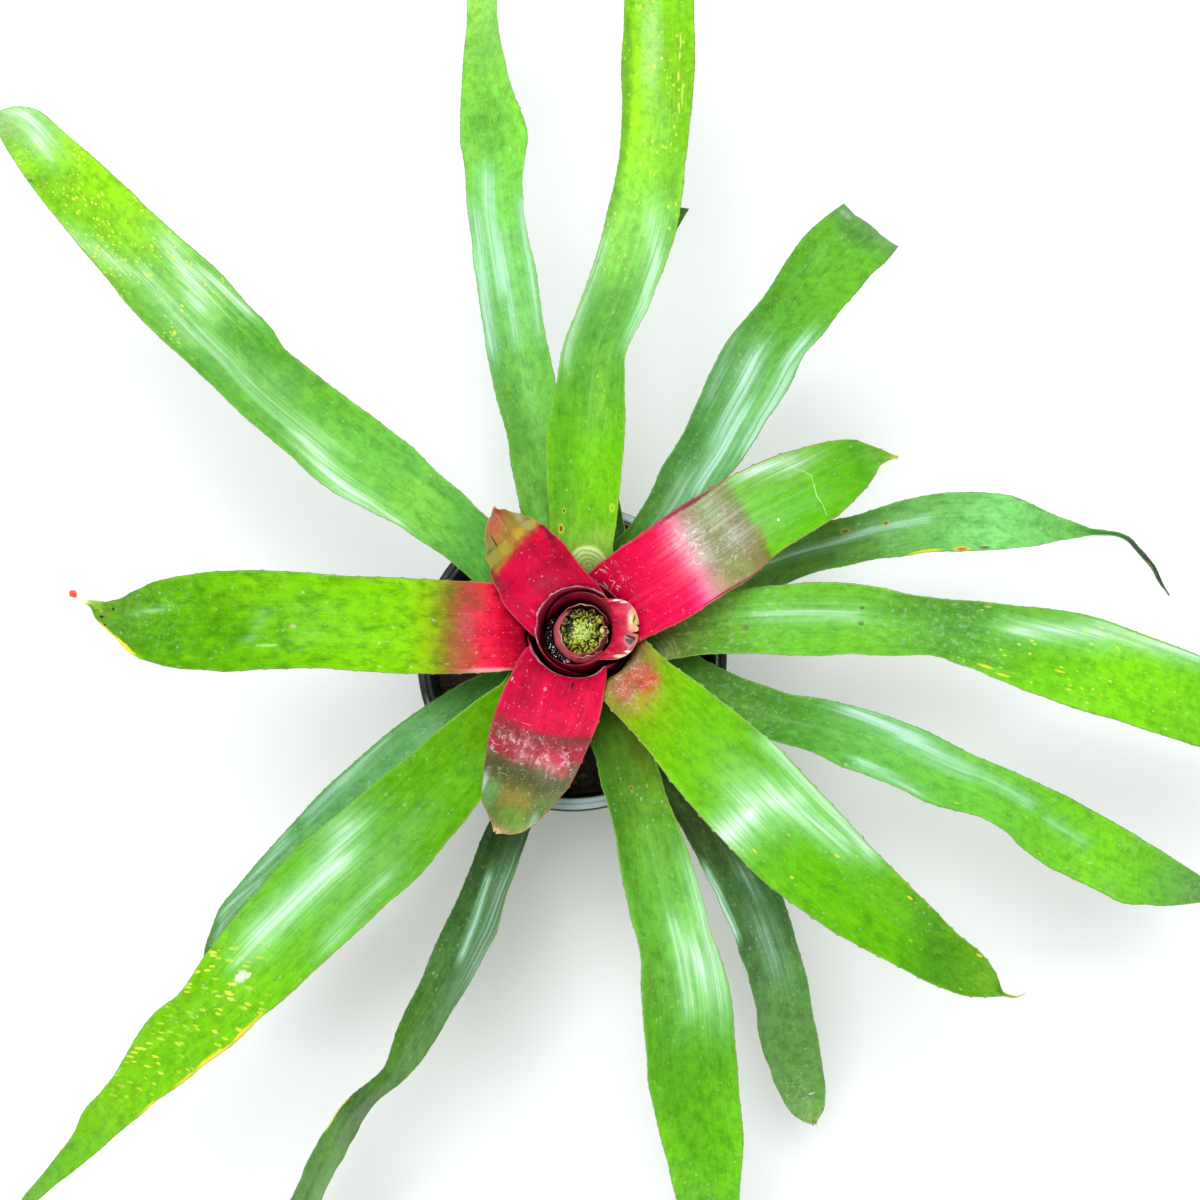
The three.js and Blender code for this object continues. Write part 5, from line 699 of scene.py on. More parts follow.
STYLE = {
    "leaf_cup_curled": dict(RED, cols=57, step=0.6, ripple=0.25, warp=(0.35, 0.5), spine=0.0, tip_strength=0.0, edge=(244, 208, 184), edge_strength=0.8, edge_from=2.0,
                            ramp=[(0.0, (192, 14, 56)), (0.30, (212, 34, 74)), (0.55, (220, 76, 98)), (0.8, (208, 92, 94)), (1.0, (214, 180, 132))],
                            lip=(-1.0, 0.3, 0.30, (206, 120, 140)), light=(240, 130, 140), light_amount=0.45, thick=0.75,
                            inside=(190, 32, 82), inside2=(136, 16, 58), notches=[(-0.3, 0.12, 4.5, 8.0), (0.35, 0.10, 1.2, 4.0)],
                            marks=[(0.80, 0.48, 3.6, 1.7, (206, 190, 110), (226, 170, 140)), (0.80, 0.50, 2.4, 0.45, (96, 84, 34), None), (0.66, 0.42, 2.4, 0.5, (226, 214, 190), None), (0.66, -0.52, 1.5, 1.5, (64, 50, 48), (170, 130, 126)), (0.82, -0.42, 1.6, 0.8, (40, 34, 34), None), (0.5, -0.75, 1.4, 1.0, (120, 60, 66), None),
                                   (0.16, 0.97, 0.45, 2.6, (250, 226, 230), None), (0.46, 0.98, 0.4, 2.4, (246, 214, 214), None), (0.34, -0.95, 0.8, 4.0, (214, 206, 150), None), (0.6, -0.9, 0.6, 1.6, (230, 220, 180), None), (0.25, 0.3, 0.7, 1.8, (150, 50, 66), None), (0.42, 0.05, 0.6, 2.0, (176, 70, 78), None),
                                   (0.9, 0.0, 1.6, 0.8, (206, 200, 120), None)]),
    "leaf_inner_upper_left": dict(RED, cols=61, step=0.7, ripple=0.5, skew=0.12, bow=0.0, warp=(0.05, 0.08), tip=(240, 176, 150), tip_from=0.95,
                                  ramp=[(0.0, (200, 2, 56)), (0.15, (228, 2, 70)), (0.36, (222, 6, 64)), (0.41, (216, 44, 56)), (0.45, (200, 116, 50)), (0.53, (182, 158, 50)), (0.70, (164, 158, 60)), (0.80, (196, 140, 80)), (0.90, (222, 138, 108)), (1.0, (240, 180, 156))],
                                  lip=(-1.0, 0.9, 1.0, (250, 206, 220)),
                                  tints=[(36.5, 0.92, 3.0, 8.0, (128, 156, 84), 0.65), (30.5, 0.94, 2.6, 5.0, (150, 158, 80), 0.6), (38.6, -0.92, 2.2, 6.0, (190, 206, 150), 0.55), (35.0, -0.92, 2.2, 5.0, (172, 186, 104), 0.5), (33.0, -0.30, 3.2, 2.6, (214, 176, 56), 0.6),
                                         (26.4, -0.95, 1.8, 8.0, (112, 26, 46), 0.8), (24.0, 0.97, 2.4, 7.0, (140, 46, 56), 0.85), (6.0, -0.15, 7.0, 6.0, (170, 10, 50), 0.55), (31.0, 0.30, 4.0, 3.0, (170, 170, 64), 0.5), (18.0, 0.1, 7.0, 8.0, (244, 6, 78), 0.45), (12.0, -0.75, 4.0, 9.0, (164, 8, 48), 0.5), (14.0, 0.8, 3.0, 9.0, (176, 30, 56), 0.4)],
                                  marks=[(0.67, 0.65, 0.4, 2.8, (30, 34, 26), None)]),
    "leaf_inner_lower": dict(RED, cols=41, step=0.9, ripple=0.6, skew=0.03, bow=0.06, warp=(0.05, 0.06), tip=(244, 196, 166), tip_from=0.965, scurf=0.22,
                             ramp=[(0.0, (200, 0, 56)), (0.12, (222, 2, 64)), (0.30, (226, 6, 70)), (0.345, (204, 26, 66)), (0.375, (124, 56, 50)), (0.43, (152, 50, 58)), (0.52, (162, 48, 58)), (0.565, (114, 76, 46)), (0.60, (88, 86, 42)), (0.66, (82, 90, 40)), (0.78, (108, 122, 54)), (0.90, (116, 146, 60)), (1.0, (196, 172, 124))], red_to=(0.52, 0.60), deep=(64, 70, 28), light=(126, 150, 64), vein_light=(150, 140, 80),
                             lip=(-0.8, 0.6, 0.85, (244, 190, 204)), scuff=[(0.41, 0.46, -0.9, -0.25, 0.55), (0.47, 0.53, -0.30, 0.70, 0.60), (0.38, 0.56, -0.9, 0.9, 0.14)], scuff_colour=(240, 196, 196), painted_sheen=[(0.50, -0.4, 0.53, 0.6, 0.05, 0.16), (0.44, -0.75, 0.43, -0.1, 0.04, 0.14)], painted_sheen_colour=(246, 214, 208), painted_sheen_soft=(224, 150, 150), painted_glow=0.10, painted_glow_colour=(214, 110, 120), mottle=0.42, fine_strength=0.36, scratch=[(0.37, 0.57, -0.95, 0.9, 0.36), (0.60, 0.78, -0.95, 0.95, 0.15)],
                             # the pale blue-green stretches on both margins near the tip, at 60.5 mm and 66 mm, are
                             # pale margins lightened further by a painted highlight
                             tints=[(39.6, 0.40, 7.0, 3.4, (204, 36, 76), 0.70), (43.2, 0.66, 5.0, 3.0, (204, 52, 76), 0.50), (38.5, -0.35, 4.5, 2.6, (170, 60, 74), 0.4), (60.0, -0.05, 9.0, 7.5, (156, 138, 56), 0.60), (62.0, -0.80, 5.5, 8.5, (110, 160, 88), 0.70), (60.5, -1.04, 2.0, 7.5, (186, 214, 206), 0.6), (36.0, -0.75, 6.0, 3.0, (104, 60, 52), 0.6),
                                    (59.0, 0.85, 4.6, 8.0, (104, 132, 74), 0.65), (66.0, 0.96, 2.0, 4.5, (160, 198, 176), 0.5), (68.5, 0.25, 8.0, 5.0, (116, 158, 64), 0.75), (50.5, 0.50, 10.0, 5.0, (84, 86, 42), 0.6), (53.0, -0.35, 12.0, 5.0, (80, 84, 38), 0.6), (12.0, -0.6, 4.5, 9.0, (176, 4, 50), 0.4)],
                             marks=[(0.008, 0.30, 0.8, 2.4, (84, 10, 44), None), (0.082, -0.24, 0.7, 1.3, (190, 138, 150), None), (0.10, -0.95, 0.4, 1.4, (226, 180, 180), None), (0.02, 0.22, 0.6, 1.6, (120, 20, 60), None),
                                    (0.655, -0.50, 2.6, 0.16, (156, 156, 104), None), (0.33, -0.35, 2.2, 0.18, (240, 110, 140), None)]),
    "leaf_inner_upper_right": dict(RED, cols=37, ripple=0.7, warp=(0.030, 0.028), bow=0.0, skew=-0.010, tip=(214, 220, 110), tip_from=0.97,
                                   ramp=[(0.0, (196, 2, 52)), (0.06, (222, 2, 64)), (0.18, (240, 4, 80)), (0.215, (244, 56, 116)), (0.250, (236, 124, 150)), (0.290, (172, 138, 116)), (0.33, (140, 136, 86)), (0.38, (134, 140, 76)), (0.435, (128, 112, 70)), (0.462, (112, 124, 44)), (0.485, (98, 182, 14)), (0.75, (96, 180, 14)), (0.86, (76, 154, 24)), (0.95, (112, 176, 52)), (1.0, (206, 218, 110))],
                                   deep=(70, 120, 24), deep_amount=0.20, light=(150, 214, 40), light_amount=0.22, mottle=0.20, pebble=0.40, gain=(1.06, 1.06, 1.10), red_to=(0.26, 0.36), lip=(-0.8, 0.6, 0.7, (244, 190, 204)), scurf_colour=(240, 222, 214),
                                   scratch=[(0.28, 0.44, -0.7, 0.9, 0.35), (-0.05, 0.010, -0.1, 0.9, 0.75)], scuff=[(0.25, 0.31, -0.15, 0.6, 0.85), (0.28, 0.44, -0.6, 0.8, 0.22)], scuff_colour=(244, 226, 222), vein_amount=0.05, line_amount=0.18, painted_glow=0.14, painted_glow_colour=(196, 190, 150), vein_light=(240, 150, 150), painted_sheen_soft=(178, 206, 172),
                                   painted_sheen=[(0.29, 0.55, 0.28, -0.2, 0.22, 0.3), (0.54, 0.92, 0.66, 0.74, 0.19, 0.82), (0.39, 0.9, 0.41, -0.25, 0.26, 0.25)],
                                   marks=[(0.55, -0.35, 0.6, 0.6, (240, 244, 226), None), 
                                          (0.37, 0.985, 1.5, 24.0, (132, 40, 66), None), (0.33, -0.98, 0.5, 20.0, (140, 30, 50), None)],
                                   creases=[([(0.645, 0.94), (0.653, 0.72), (0.668, 0.56), (0.690, 0.44), (0.706, 0.27), (0.699, 0.0), (0.690, -0.27), (0.692, -0.55), (0.686, -0.86)], 0.0050, (198, 230, 140), 0.70)],
                                   # the light pink tint near the lower margin at 45 mm is a painted highlight
                                   tints=[(113.0, -0.05, 17.0, 11.0, (96, 180, 18), 0.60), (92.0, -0.50, 11.0, 14.0, (92, 184, 4), 0.75), (70.5, -0.45, 7.0, 2.6, (150, 112, 50), 0.50), (60.0, -0.15, 8.0, 9.0, (134, 104, 70), 0.4), (45.0, -0.75, 5.0, 6.0, (214, 170, 150), 0.45)]),
    "leaf_inner_left": dict(RED, cols=37, warp=(0.022, 0.035), bow=0.0, deep=(58, 122, 6), light=(140, 214, 14), deep_amount=0.50, light_amount=0.45, mottle=0.50, line_amount=0.12, vein_amount=0.02, vein_light=(140, 214, 20), spec=0.08, spine=0.5, scurf=0.16, painted_glow=0.06, skew=-0.012, red_to=(0.080, 0.135), gain=(1.10, 1.05, 0.66),
                            ramp=[(0.0, (196, 10, 76)), (0.03, (242, 36, 114)), (0.055, (240, 54, 120)), (0.078, (198, 70, 108)), (0.098, (164, 88, 92)), (0.124, (142, 112, 72)), (0.146, (136, 150, 50)), (0.170, (138, 186, 24)), (0.21, (128, 204, 8)), (0.24, (122, 202, 4)), (0.45, (108, 188, 4)), (0.7, (94, 174, 14)), (0.76, (90, 166, 24)), (0.84, (84, 146, 58)), (0.90, (110, 166, 72)), (0.935, (140, 186, 96)), (1.0, (226, 214, 190))],
                            # the pale pink tint along the lower margin near the cup, at 24 mm and cross place 1.0, is a
                            # painted highlight
                            scurf_colour=(226, 226, 206), edge=(150, 180, 90), tints=[(27.0, -0.62, 8.0, 7.0, (150, 84, 62), 0.55), (24.0, 1.0, 1.7, 12.0, (255, 206, 216), 0.55), (33.0, 0.55, 9.0, 6.0, (176, 96, 70), 0.45), (31.0, -0.1, 7.0, 5.0, (220, 110, 120), 0.35), (9.0, 0.1, 9.0, 5.0, (196, 16, 60), 0.4)], tip=(242, 238, 196), tip_from=0.945, tip_strength=0.9, tip_end=(226, 52, 40), tip_end_from=0.980, dry_edge=[(0.76, 0.885, 1)],
                            scuff=[(0.66, 0.84, -0.9, 0.7, 0.16)], scuff_colour=(196, 222, 160), painted_sheen=[(0.50, -0.2, 0.53, 0.4, 0.08, 0.10), (0.74, -0.3, 0.80, -0.2, 0.08, 0.22)],
                            marks=[(0.870, -0.45, 0.9, 0.9, (24, 34, 18), None), (0.895, 0.60, 0.9, 1.2, (20, 28, 16), None), (0.872, 0.97, 1.0, 1.0, (30, 30, 18), None),
                                   (0.44, 0.1, 1.0, 1.6, (176, 176, 140), None), (0.49, 0.5, 0.8, 5.0, (150, 210, 110), None)]),
    "leaf_inner_lower_right": dict(GREEN, cols=37, gain=(1.01, 0.98, 0.60), warp=(0.04, 0.06), skew=0.03, bow=0.0, spine=0.9, spine_gap=(8.0, 11.0), tints=[(17.0, 0.0, 15.0, 9.0, (180, 122, 78), 0.80), (11.0, 0.45, 9.0, 5.0, (160, 134, 84), 0.9), (18.0, 0.05, 9.0, 5.5, (212, 84, 84), 0.72), (21.5, -0.45, 6.0, 5.0, (206, 110, 92), 0.62), (25.0, 0.26, 6.5, 5.0, (222, 66, 58), 0.80), (29.5, -0.10, 12.0, 4.2, (190, 158, 48), 0.60), (21.0, -0.86, 3.6, 7.0, (166, 150, 60), 0.7), (34.0, -0.1, 9.0, 3.0, (160, 200, 30), 0.5)], scratch=[(-0.02, 0.070, -0.75, 0.6, 0.36)], scratch_colour=(252, 226, 218),
                                   scuff=[(0.0, 0.07, -0.6, 0.4, 0.30)], scuff_colour=(250, 216, 208), deep=(66, 142, 6), light=(140, 216, 24), mottle=0.30,
                                   ramp=[(0.0, (140, 124, 60)), (0.025, (146, 156, 40)), (0.05, (146, 180, 16)), (0.09, (132, 196, 2)), (0.16, (118, 204, 0)), (0.30, (108, 194, 24)), (0.45, (100, 192, 6)), (0.66, (102, 190, 10)), (0.76, (78, 152, 34)), (0.84, (100, 178, 30)), (0.92, (116, 184, 66)), (0.96, (104, 160, 84)), (1.0, (214, 220, 190))],
                                   inside=(70, 26, 30), inside2=(104, 60, 44), edge=(176, 196, 120), dashes=[(0.4, 0.9, -0.9, 0.9, 0.02, 0.6, 0)], tip_strength=0.5, tip=(224, 226, 200), tip_from=0.975,
                                   painted_sheen=[(0.355, -0.95, 0.355, -0.1, 0.15, 0.95), (0.34, -0.1, 0.39, 0.55, 0.22, 0.85), (0.30, 0.95, 0.54, 0.9, 0.15, 0.8), (0.35, 0.35, 0.50, 0.62, 0.18, 0.65)],
                                   marks=[(0.845, 0.9, 0.6, 2.0, (226, 214, 60), None), (0.405, -0.7, 0.5, 1.2, (226, 214, 60), None), (0.51, 0.35, 0.5, 1.2, (226, 214, 60), None), (0.66, 0.8, 0.5, 1.4, (226, 214, 60), None)]),
    "leaf_outer_back": dict(GREEN, gain=(1.06, 1.06, 1.15), warp=(0.05, 0.08), deep=(70, 138, 30), light=(170, 236, 50), scars=[(10.4, -3.2, 11.4, 5, 0.95, (220, 250, 130), 0.85)], dashes=[(0.3, 0.72, -0.9, 0.9, 0.14, 0.7, 0)], mottle=0.22, scurf_colour=(206, 236, 150), tints=[(222.0, 1.0, 4.6, 90.0, (82, 146, 34), 0.70), (262.0, 0.20, 5.5, 34.0, (196, 242, 158), 0.50), (300.0, 0.25, 7.0, 36.0, (180, 238, 128), 0.35), (216.0, -0.05, 8.0, 20.0, (150, 214, 100), 0.40)],
                            ramp=[(0.0, (140, 190, 60)), (0.03, (120, 194, 22)), (0.10, (112, 196, 8)), (0.17, (98, 170, 44)), (0.26, (110, 182, 70)), (0.36, (144, 216, 74)), (0.46, (158, 236, 34)), (0.62, (156, 236, 16)), (0.85, (130, 210, 24)), (1.0, (160, 200, 80))],
                            painted_sheen=[(0.36, -0.25, 0.31, -0.75, 0.2, 0.5), (0.31, -0.75, 0.24, -1.0, 0.21, 0.6), (0.24, 0.95, 0.2, 0.9, 0.2, 0.35), (0.31, 0.95, 0.23, 0.95, 0.27, 0.25)],
                            marks=[(0.015, 0.7, 0.9, 1.5, (96, 60, 30), (214, 206, 40)), (0.035, 0.6, 0.6, 0.9, (90, 76, 40), (190, 206, 60)), (0.04, -0.88, 0.9, 1.2, (150, 186, 50), (196, 220, 64)), (0.602, -0.62, 0.45, 5.5, (232, 230, 116), None), (0.580, -0.60, 0.45, 2.6, (230, 226, 110), None), (0.548, -0.58, 0.45, 3.6, (234, 228, 112), None), (0.566, 0.10, 0.7, 1.6, (226, 228, 120), None), (0.578, -0.10, 0.6, 1.2, (230, 232, 120), None), (0.535, -0.45, 0.6, 1.0, (226, 228, 120), None), (0.498, -0.66, 0.35, 4.0, (224, 228, 120), None),
                                   (0.52, -0.72, 0.35, 9.0, (196, 226, 120), None)]),
    "leaf_outer_front_left": dict(GREEN, gain=(0.98, 0.98, 0.64), warp=(0.05, 0.08), deep=(80, 152, 26), light=(156, 222, 70), mottle=0.28, dashes=[(0.42, 0.55, -0.98, 0.05, 0.98, 1.0, 1), (0.44, 0.56, -0.3, 0.95, 0.22, 0.9, 1), (0.56, 0.68, -0.95, 0.95, 0.48, 0.95, 1)], dry_edge=[(0.45, 0.60, 1), (0.63, 0.67, 1)],
                                  ramp=[(0.0, (112, 182, 10)), (0.10, (98, 174, 4)), (0.22, (94, 172, 22)), (0.34, (112, 194, 56)), (0.46, (128, 214, 12)), (0.7, (138, 220, 4)), (0.88, (116, 202, 16)), (1.0, (130, 190, 90))],
                                  painted_sheen=[(0.25, -0.65, 0.3, -0.3, 0.25, 0.6), (0.28, -0.25, 0.39, -0.4, 0.24, 0.75), (0.34, -0.25, 0.43, -0.35, 0.1, 0.4), (0.25, 0.6, 0.34, 0.75, 0.17, 0.3)], marks=[(0.44, -0.05, 2.3, 3.4, (222, 230, 210), None), (0.432, 0.06, 1.0, 1.6, (226, 232, 214), None)]),
    "leaf_outer_back_left": dict(GREEN, gain=(1.08, 1.05, 1.0), warp=(0.05, 0.10), deep=(66, 142, 34), light=(160, 232, 76), dashes=[(0.46, 0.84, -0.98, 0.4, 0.85, 0.85, 0), (0.55, 0.90, -0.2, 0.95, 0.45, 0.80, 0), (0.42, 0.62, 0.50, 0.99, 0.85, 0.85, 0)], notches=[], mottle=0.34,
                                 ramp=[(0.0, (102, 184, 84)), (0.12, (106, 188, 82)), (0.24, (114, 197, 66)), (0.40, (98, 178, 52)), (0.50, (138, 212, 80)), (0.60, (150, 226, 40)), (0.70, (154, 236, 8)), (0.82, (156, 238, 6)), (0.90, (132, 200, 70)), (1.0, (176, 214, 150))],
                                 painted_sheen=[(0.93, -0.7, 0.86, -0.25, 0.34, 0.95), (0.86, -0.3, 0.82, -0.1, 0.2, 0.3), (0.66, 0.95, 0.55, 0.35, 0.20, 0.4), (0.55, 0.25, 0.44, 0.45, 0.22, 0.45), (0.56, -0.75, 0.47, -0.2, 0.22, 0.6), (0.52, -0.6, 0.42, -0.95, 0.16, 0.5), (0.44, 0.35, 0.24, 0.35, 0.22, 0.42), (0.26, 0.45, 0.17, 0.85, 0.20, 0.85), (0.18, 0.85, 0.12, 0.95, 0.14, 0.6)], painted_sheen_soft=(196, 246, 170),
                                 marks=[(0.79, 0.93, 1.0, 2.4, (90, 120, 60), None)]),
    "leaf_outer_right": dict(GREEN, gain=(1.06, 1.05, 1.0), warp=(0.05, 0.10), scurf=0.34, scurf_strength=0.6, deep=(60, 128, 30), light=(150, 224, 70), dashes=[(0.36, 0.66, -0.9, 0.9, 0.10, 0.7, 0)], pebble=0.55, mottle=0.26, scars=[(11.0, -12.0, 17.5, 8, 0.13, (130, 142, 78), 0.36)],
                             ramp=[(0.0, (110, 124, 56)), (0.05, (104, 156, 50)), (0.12, (112, 192, 56)), (0.24, (112, 190, 50)), (0.34, (90, 158, 58)), (0.44, (116, 204, 26)), (0.6, (130, 220, 12)), (0.85, (104, 192, 20)), (1.0, (110, 160, 70))],
                             scuff=[(0.0, 0.14, -0.9, 0.9, 0.20), (0.26, 0.40, -0.6, 0.9, 0.25)], painted_sheen=[(0.12, 0.25, 0.22, 0.2, 0.19, 0.32), (0.42, 0.45, 0.52, 0.7, 0.19, 0.7), (0.52, 0.8, 0.67, 0.95, 0.16, 0.6)],
                             marks=[(0.095, -0.15, 1.6, 1.6, (110, 130, 70), None), (0.235, -0.05, 1.4, 1.4, (96, 120, 60), None), (0.235, 0.4, 0.9, 1.0, (90, 110, 50), None), (0.39, -0.8, 0.8, 4.0, (226, 214, 60), None), (0.41, -0.85, 0.7, 3.0, (226, 214, 60), None), (0.48, -0.3, 0.5, 3.0, (226, 214, 60), None)]),
    "leaf_outer_front": dict(GREEN, gain=(1.12, 1.08, 0.9), warp=(0.05, 0.10), scurf=0.34, deep=(56, 118, 26), light=(134, 210, 70), mottle=0.28, tints=[(28.0, -0.45, 14.0, 40.0, (72, 128, 32), 0.78), (60.0, -0.95, 4.0, 45.0, (66, 132, 28), 0.6), (215.0, 0.0, 16.0, 30.0, (70, 160, 8), 0.4)],
                             ramp=[(0.0, (110, 126, 44)), (0.05, (104, 150, 40)), (0.12, (96, 158, 52)), (0.22, (100, 174, 66)), (0.34, (116, 194, 76)), (0.42, (104, 192, 40)), (0.50, (110, 204, 6)), (0.68, (112, 206, 4)), (0.82, (90, 170, 30)), (1.0, (104, 150, 80))],
                             painted_sheen=[(0.2, 1.0, 0.34, 0.75, 0.21, 0.75), (0.27, 0.1, 0.37, 0.1, 0.19, 0.5), (0.3, 0.3, 0.35, 0.7, 0.29, 0.7)], marks=[(0.055, -0.05, 0.6, 1.0, (110, 80, 50), (160, 150, 70))]),
    "leaf_outer_back_right_trimmed": dict(DARK, gain=(1.06, 1.04, 1.0), warp=(0.06, 0.10), scurf=0.42, scurf_strength=0.5, light=(140, 206, 100), tip=(126, 166, 110), tip_from=0.982, tip_strength=0.55, folds=[(176.0, 1.2, -0.7)], notches=[(0.0, 0.62, -3.0, 22.0), (0.55, 0.12, 0.6, 5.0), (-0.35, 0.09, 0.5, 4.0)], tints=[(221.0, 0.75, 4.0, 2.4, (190, 212, 182), 0.5), (223.0, -0.75, 4.0, 2.0, (140, 166, 120), 0.4), (214.0, 0.1, 11.0, 5.0, (78, 142, 40), 0.5)], mottle=0.26,
                                          ramp=[(0.0, (76, 134, 44)), (0.14, (82, 150, 66)), (0.30, (98, 172, 88)), (0.50, (94, 170, 52)), (0.72, (104, 186, 36)), (0.90, (102, 184, 36)), (1.0, (94, 148, 80))],
                                          painted_sheen=[(0.47, 0.10, 0.3, -0.1, 0.26, 0.55), (0.34, -0.2, 0.17, -0.40, 0.26, 0.62), (0.58, -0.75, 0.3, -0.95, 0.20, 0.55), (0.50, 0.85, 0.36, 0.75, 0.16, 0.35), (0.13, 0.1, 0.08, 0.0, 0.3, 0.4)]),
    "leaf_outer_back_twisted": dict(DARK, gain=(1.16, 1.12, 1.1), warp=(0.05, 0.10), light=(160, 230, 110), deep=(66, 132, 44), mottle=0.34, folds=[(232.0, 1.6, -1.0), (238.0, 1.4, 0.7)],
                                    ramp=[(0.0, (104, 168, 62)), (0.12, (108, 180, 72)), (0.30, (112, 190, 86)), (0.44, (118, 202, 66)), (0.56, (124, 206, 58)), (0.62, (116, 190, 66)), (0.72, (142, 216, 76)), (0.9, (116, 192, 66)), (1.0, (140, 180, 100))],
                                    painted_sheen=[(0.4, 0.30, 0.27, 0.15, 0.26, 0.62), (0.33, -0.05, 0.21, 0.0, 0.20, 0.45), (0.36, -0.95, 0.21, -0.8, 0.21, 0.45), (0.35, 0.75, 0.2, 0.95, 0.26, 0.6)]),
    "leaf_outer_right_front": dict(DARK, gain=(1.12, 1.1, 1.0), warp=(0.05, 0.10), scurf=0.36, light=(142, 214, 86), deep=(54, 116, 36), pebble=0.55, mottle=0.22, dashes=[(0.3, 0.7, -0.9, 0.9, 0.02, 0.6, 0)], scuff=[(0.0, 0.12, -0.9, 0.9, 0.18), (0.86, 0.99, -0.8, 0.9, 0.30)],
                                   ramp=[(0.0, (80, 132, 50)), (0.12, (82, 148, 52)), (0.24, (104, 180, 80)), (0.36, (106, 188, 64)), (0.50, (106, 192, 36)), (0.66, (118, 208, 16)), (0.80, (96, 178, 26)), (0.92, (84, 144, 60)), (1.0, (124, 154, 116))],
                                   painted_sheen=[(0.20, 0.85, 0.29, 0.65, 0.24, 0.75), (0.27, 0.55, 0.37, 0.45, 0.20, 0.9), (0.36, 0.5, 0.47, 0.3, 0.16, 0.6), (0.23, -0.7, 0.31, -0.85, 0.14, 0.65), (0.52, 0.2, 0.60, 0.1, 0.14, 0.3)]),
    "leaf_lower_front_left": dict(DARK, gain=(1.03, 1.02, 1.03), warp=(0.05, 0.10), ramp=[(0.0, (84, 146, 62)), (0.2, (92, 164, 78)), (0.5, (86, 158, 78)), (0.75, (84, 156, 66)), (1.0, (112, 164, 90))], light=(136, 206, 110),
                                  painted_sheen=[(0.30, -0.9, 0.50, -0.8, 0.16, 0.3), (0.60, -0.85, 0.83, -0.75, 0.17, 0.42), (0.72, -0.55, 0.84, -0.5, 0.12, 0.32), (0.86, -0.6, 0.96, -0.2, 0.16, 0.4)], mottle=0.28),
    "leaf_lower_right_tapered": dict(DARK, gain=(1.22, 1.19, 1.24), warp=(0.05, 0.08), tip=(110, 160, 60), light=(130, 192, 110), spine=0.4,
                                     ramp=[(0.0, (84, 132, 50)), (0.15, (88, 148, 60)), (0.35, (118, 194, 104)), (0.55, (102, 176, 76)), (0.68, (78, 136, 62)), (0.75, (58, 84, 56)), (0.82, (44, 50, 46)), (0.93, (40, 42, 42)), (1.0, (70, 96, 56))],
                                     painted_sheen=[(0.0, 0.05, 0.1, 0.3, 0.17, 0.55), (0.09, 0.25, 0.21, 0.25, 0.15, 0.45)],
                                     marks=[(0.05, 0.5, 0.9, 1.6, (80, 120, 60), (190, 180, 60)), (0.13, 0.4, 0.7, 1.1, (80, 110, 50), (190, 180, 60)), (0.19, -0.97, 1.0, 9.0, (220, 208, 60), None), (0.27, -0.93, 0.9, 3.0, (190, 100, 40), (220, 208, 70)), (0.32, -0.92, 0.7, 3.0, (130, 80, 60), None)]),
    "leaf_lower_front_right": dict(DARK, gain=(1.16, 1.14, 1.1), warp=(0.06, 0.12), scurf=0.38, light=(116, 168, 96), deep=(36, 66, 36),
                                   ramp=[(0.0, (66, 86, 40)), (0.2, (72, 112, 54)), (0.45, (86, 140, 66)), (0.75, (88, 146, 58)), (0.92, (100, 160, 56)), (1.0, (150, 190, 90))], scuff=[(0.76, 0.95, -0.9, 0.2, 0.30)],
                                   painted_sheen=[(0.12, -0.95, 0.26, -0.95, 0.13, 0.8), (0.16, 0.25, 0.21, 0.3, 0.17, 0.35), (0.29, 0.1, 0.38, 0.1, 0.41, 0.25)], marks=[(0.855, 0.35, 1.6, 0.8, (226, 232, 220), None)]),
    "leaf_lower_front_folded": dict(DARK, gain=(1.05, 1.04, 0.95), warp=(0.06, 0.12), gloss=0.24, light=(110, 160, 84), deep=(36, 72, 32), dry_edge=[(0.52, 0.60, -1)],
                                    ramp=[(0.0, (54, 84, 36)), (0.12, (58, 98, 44)), (0.25, (64, 112, 52)), (0.38, (84, 136, 42)), (0.50, (64, 106, 40)), (0.60, (84, 150, 30)), (0.8, (98, 172, 22)), (1.0, (130, 170, 80))],
                                    painted_sheen=[(0.09, -0.05, 0.2, 0.2, 0.12, 0.85), (0.09, 0.55, 0.2, 0.85, 0.4, 0.25)]),
    "leaf_lower_back_small": dict(DARK, warp=(0.06, 0.12), ramp=[(0.0, (74, 118, 50)), (0.5, (78, 130, 50)), (1.0, (80, 128, 44))], edge=(206, 214, 40), edge_strength=0.85, tip=(64, 104, 44), tip_from=0.97),
}
for i, L in enumerate(LEAVES):
    L.update(STYLE[L["name"]])
    L["seed"] = 3 + 2.37 * i


# ------------------------------------------------------------------ leaves
def finish_piece(ob, node, mat):
    ob.data.materials.clear(); ob.data.materials.append(mat)
    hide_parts(node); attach(ob, "root")
    return ob


for k, L in enumerate(LEAVES):
    ob = build_leaf(k)
    finish_piece(ob, L["name"], leaf_material(L))


# ------------------------------------------------------------------ turned bodies
def rounded(profile, radius=0.5, steps=4):
    """The open polyline profile [r, z, own radius] with its corners rounded."""
    out = []
    P = [np.array(p[:2], float) for p in profile]
    for i, p in enumerate(P):
        rad = profile[i][2] if len(profile[i]) > 2 else radius
        if i in (0, len(P) - 1) or rad == 0:
            out.append(p); continue
        a, b = P[i - 1] - p, P[i + 1] - p
        la, lb = np.linalg.norm(a), np.linalg.norm(b)
        d = min(rad, la * 0.45, lb * 0.45)
        s, e = p + a / la * d, p + b / lb * d
        for j in range(steps + 1):
            t = j / steps
            out.append((1 - t) ** 2 * s + 2 * t * (1 - t) * p + t * t * e)
    return np.array(out)


def dense(P, most):
    """Adds points so that no step of the polyline is longer than most."""
    out = [P[0]]
    for a, b in zip(P[:-1], P[1:]):
        n = max(1, int(math.ceil(np.linalg.norm(b - a) / most)))
        for j in range(1, n + 1):
            out.append(a + (b - a) * j / n)
    return np.array(out)


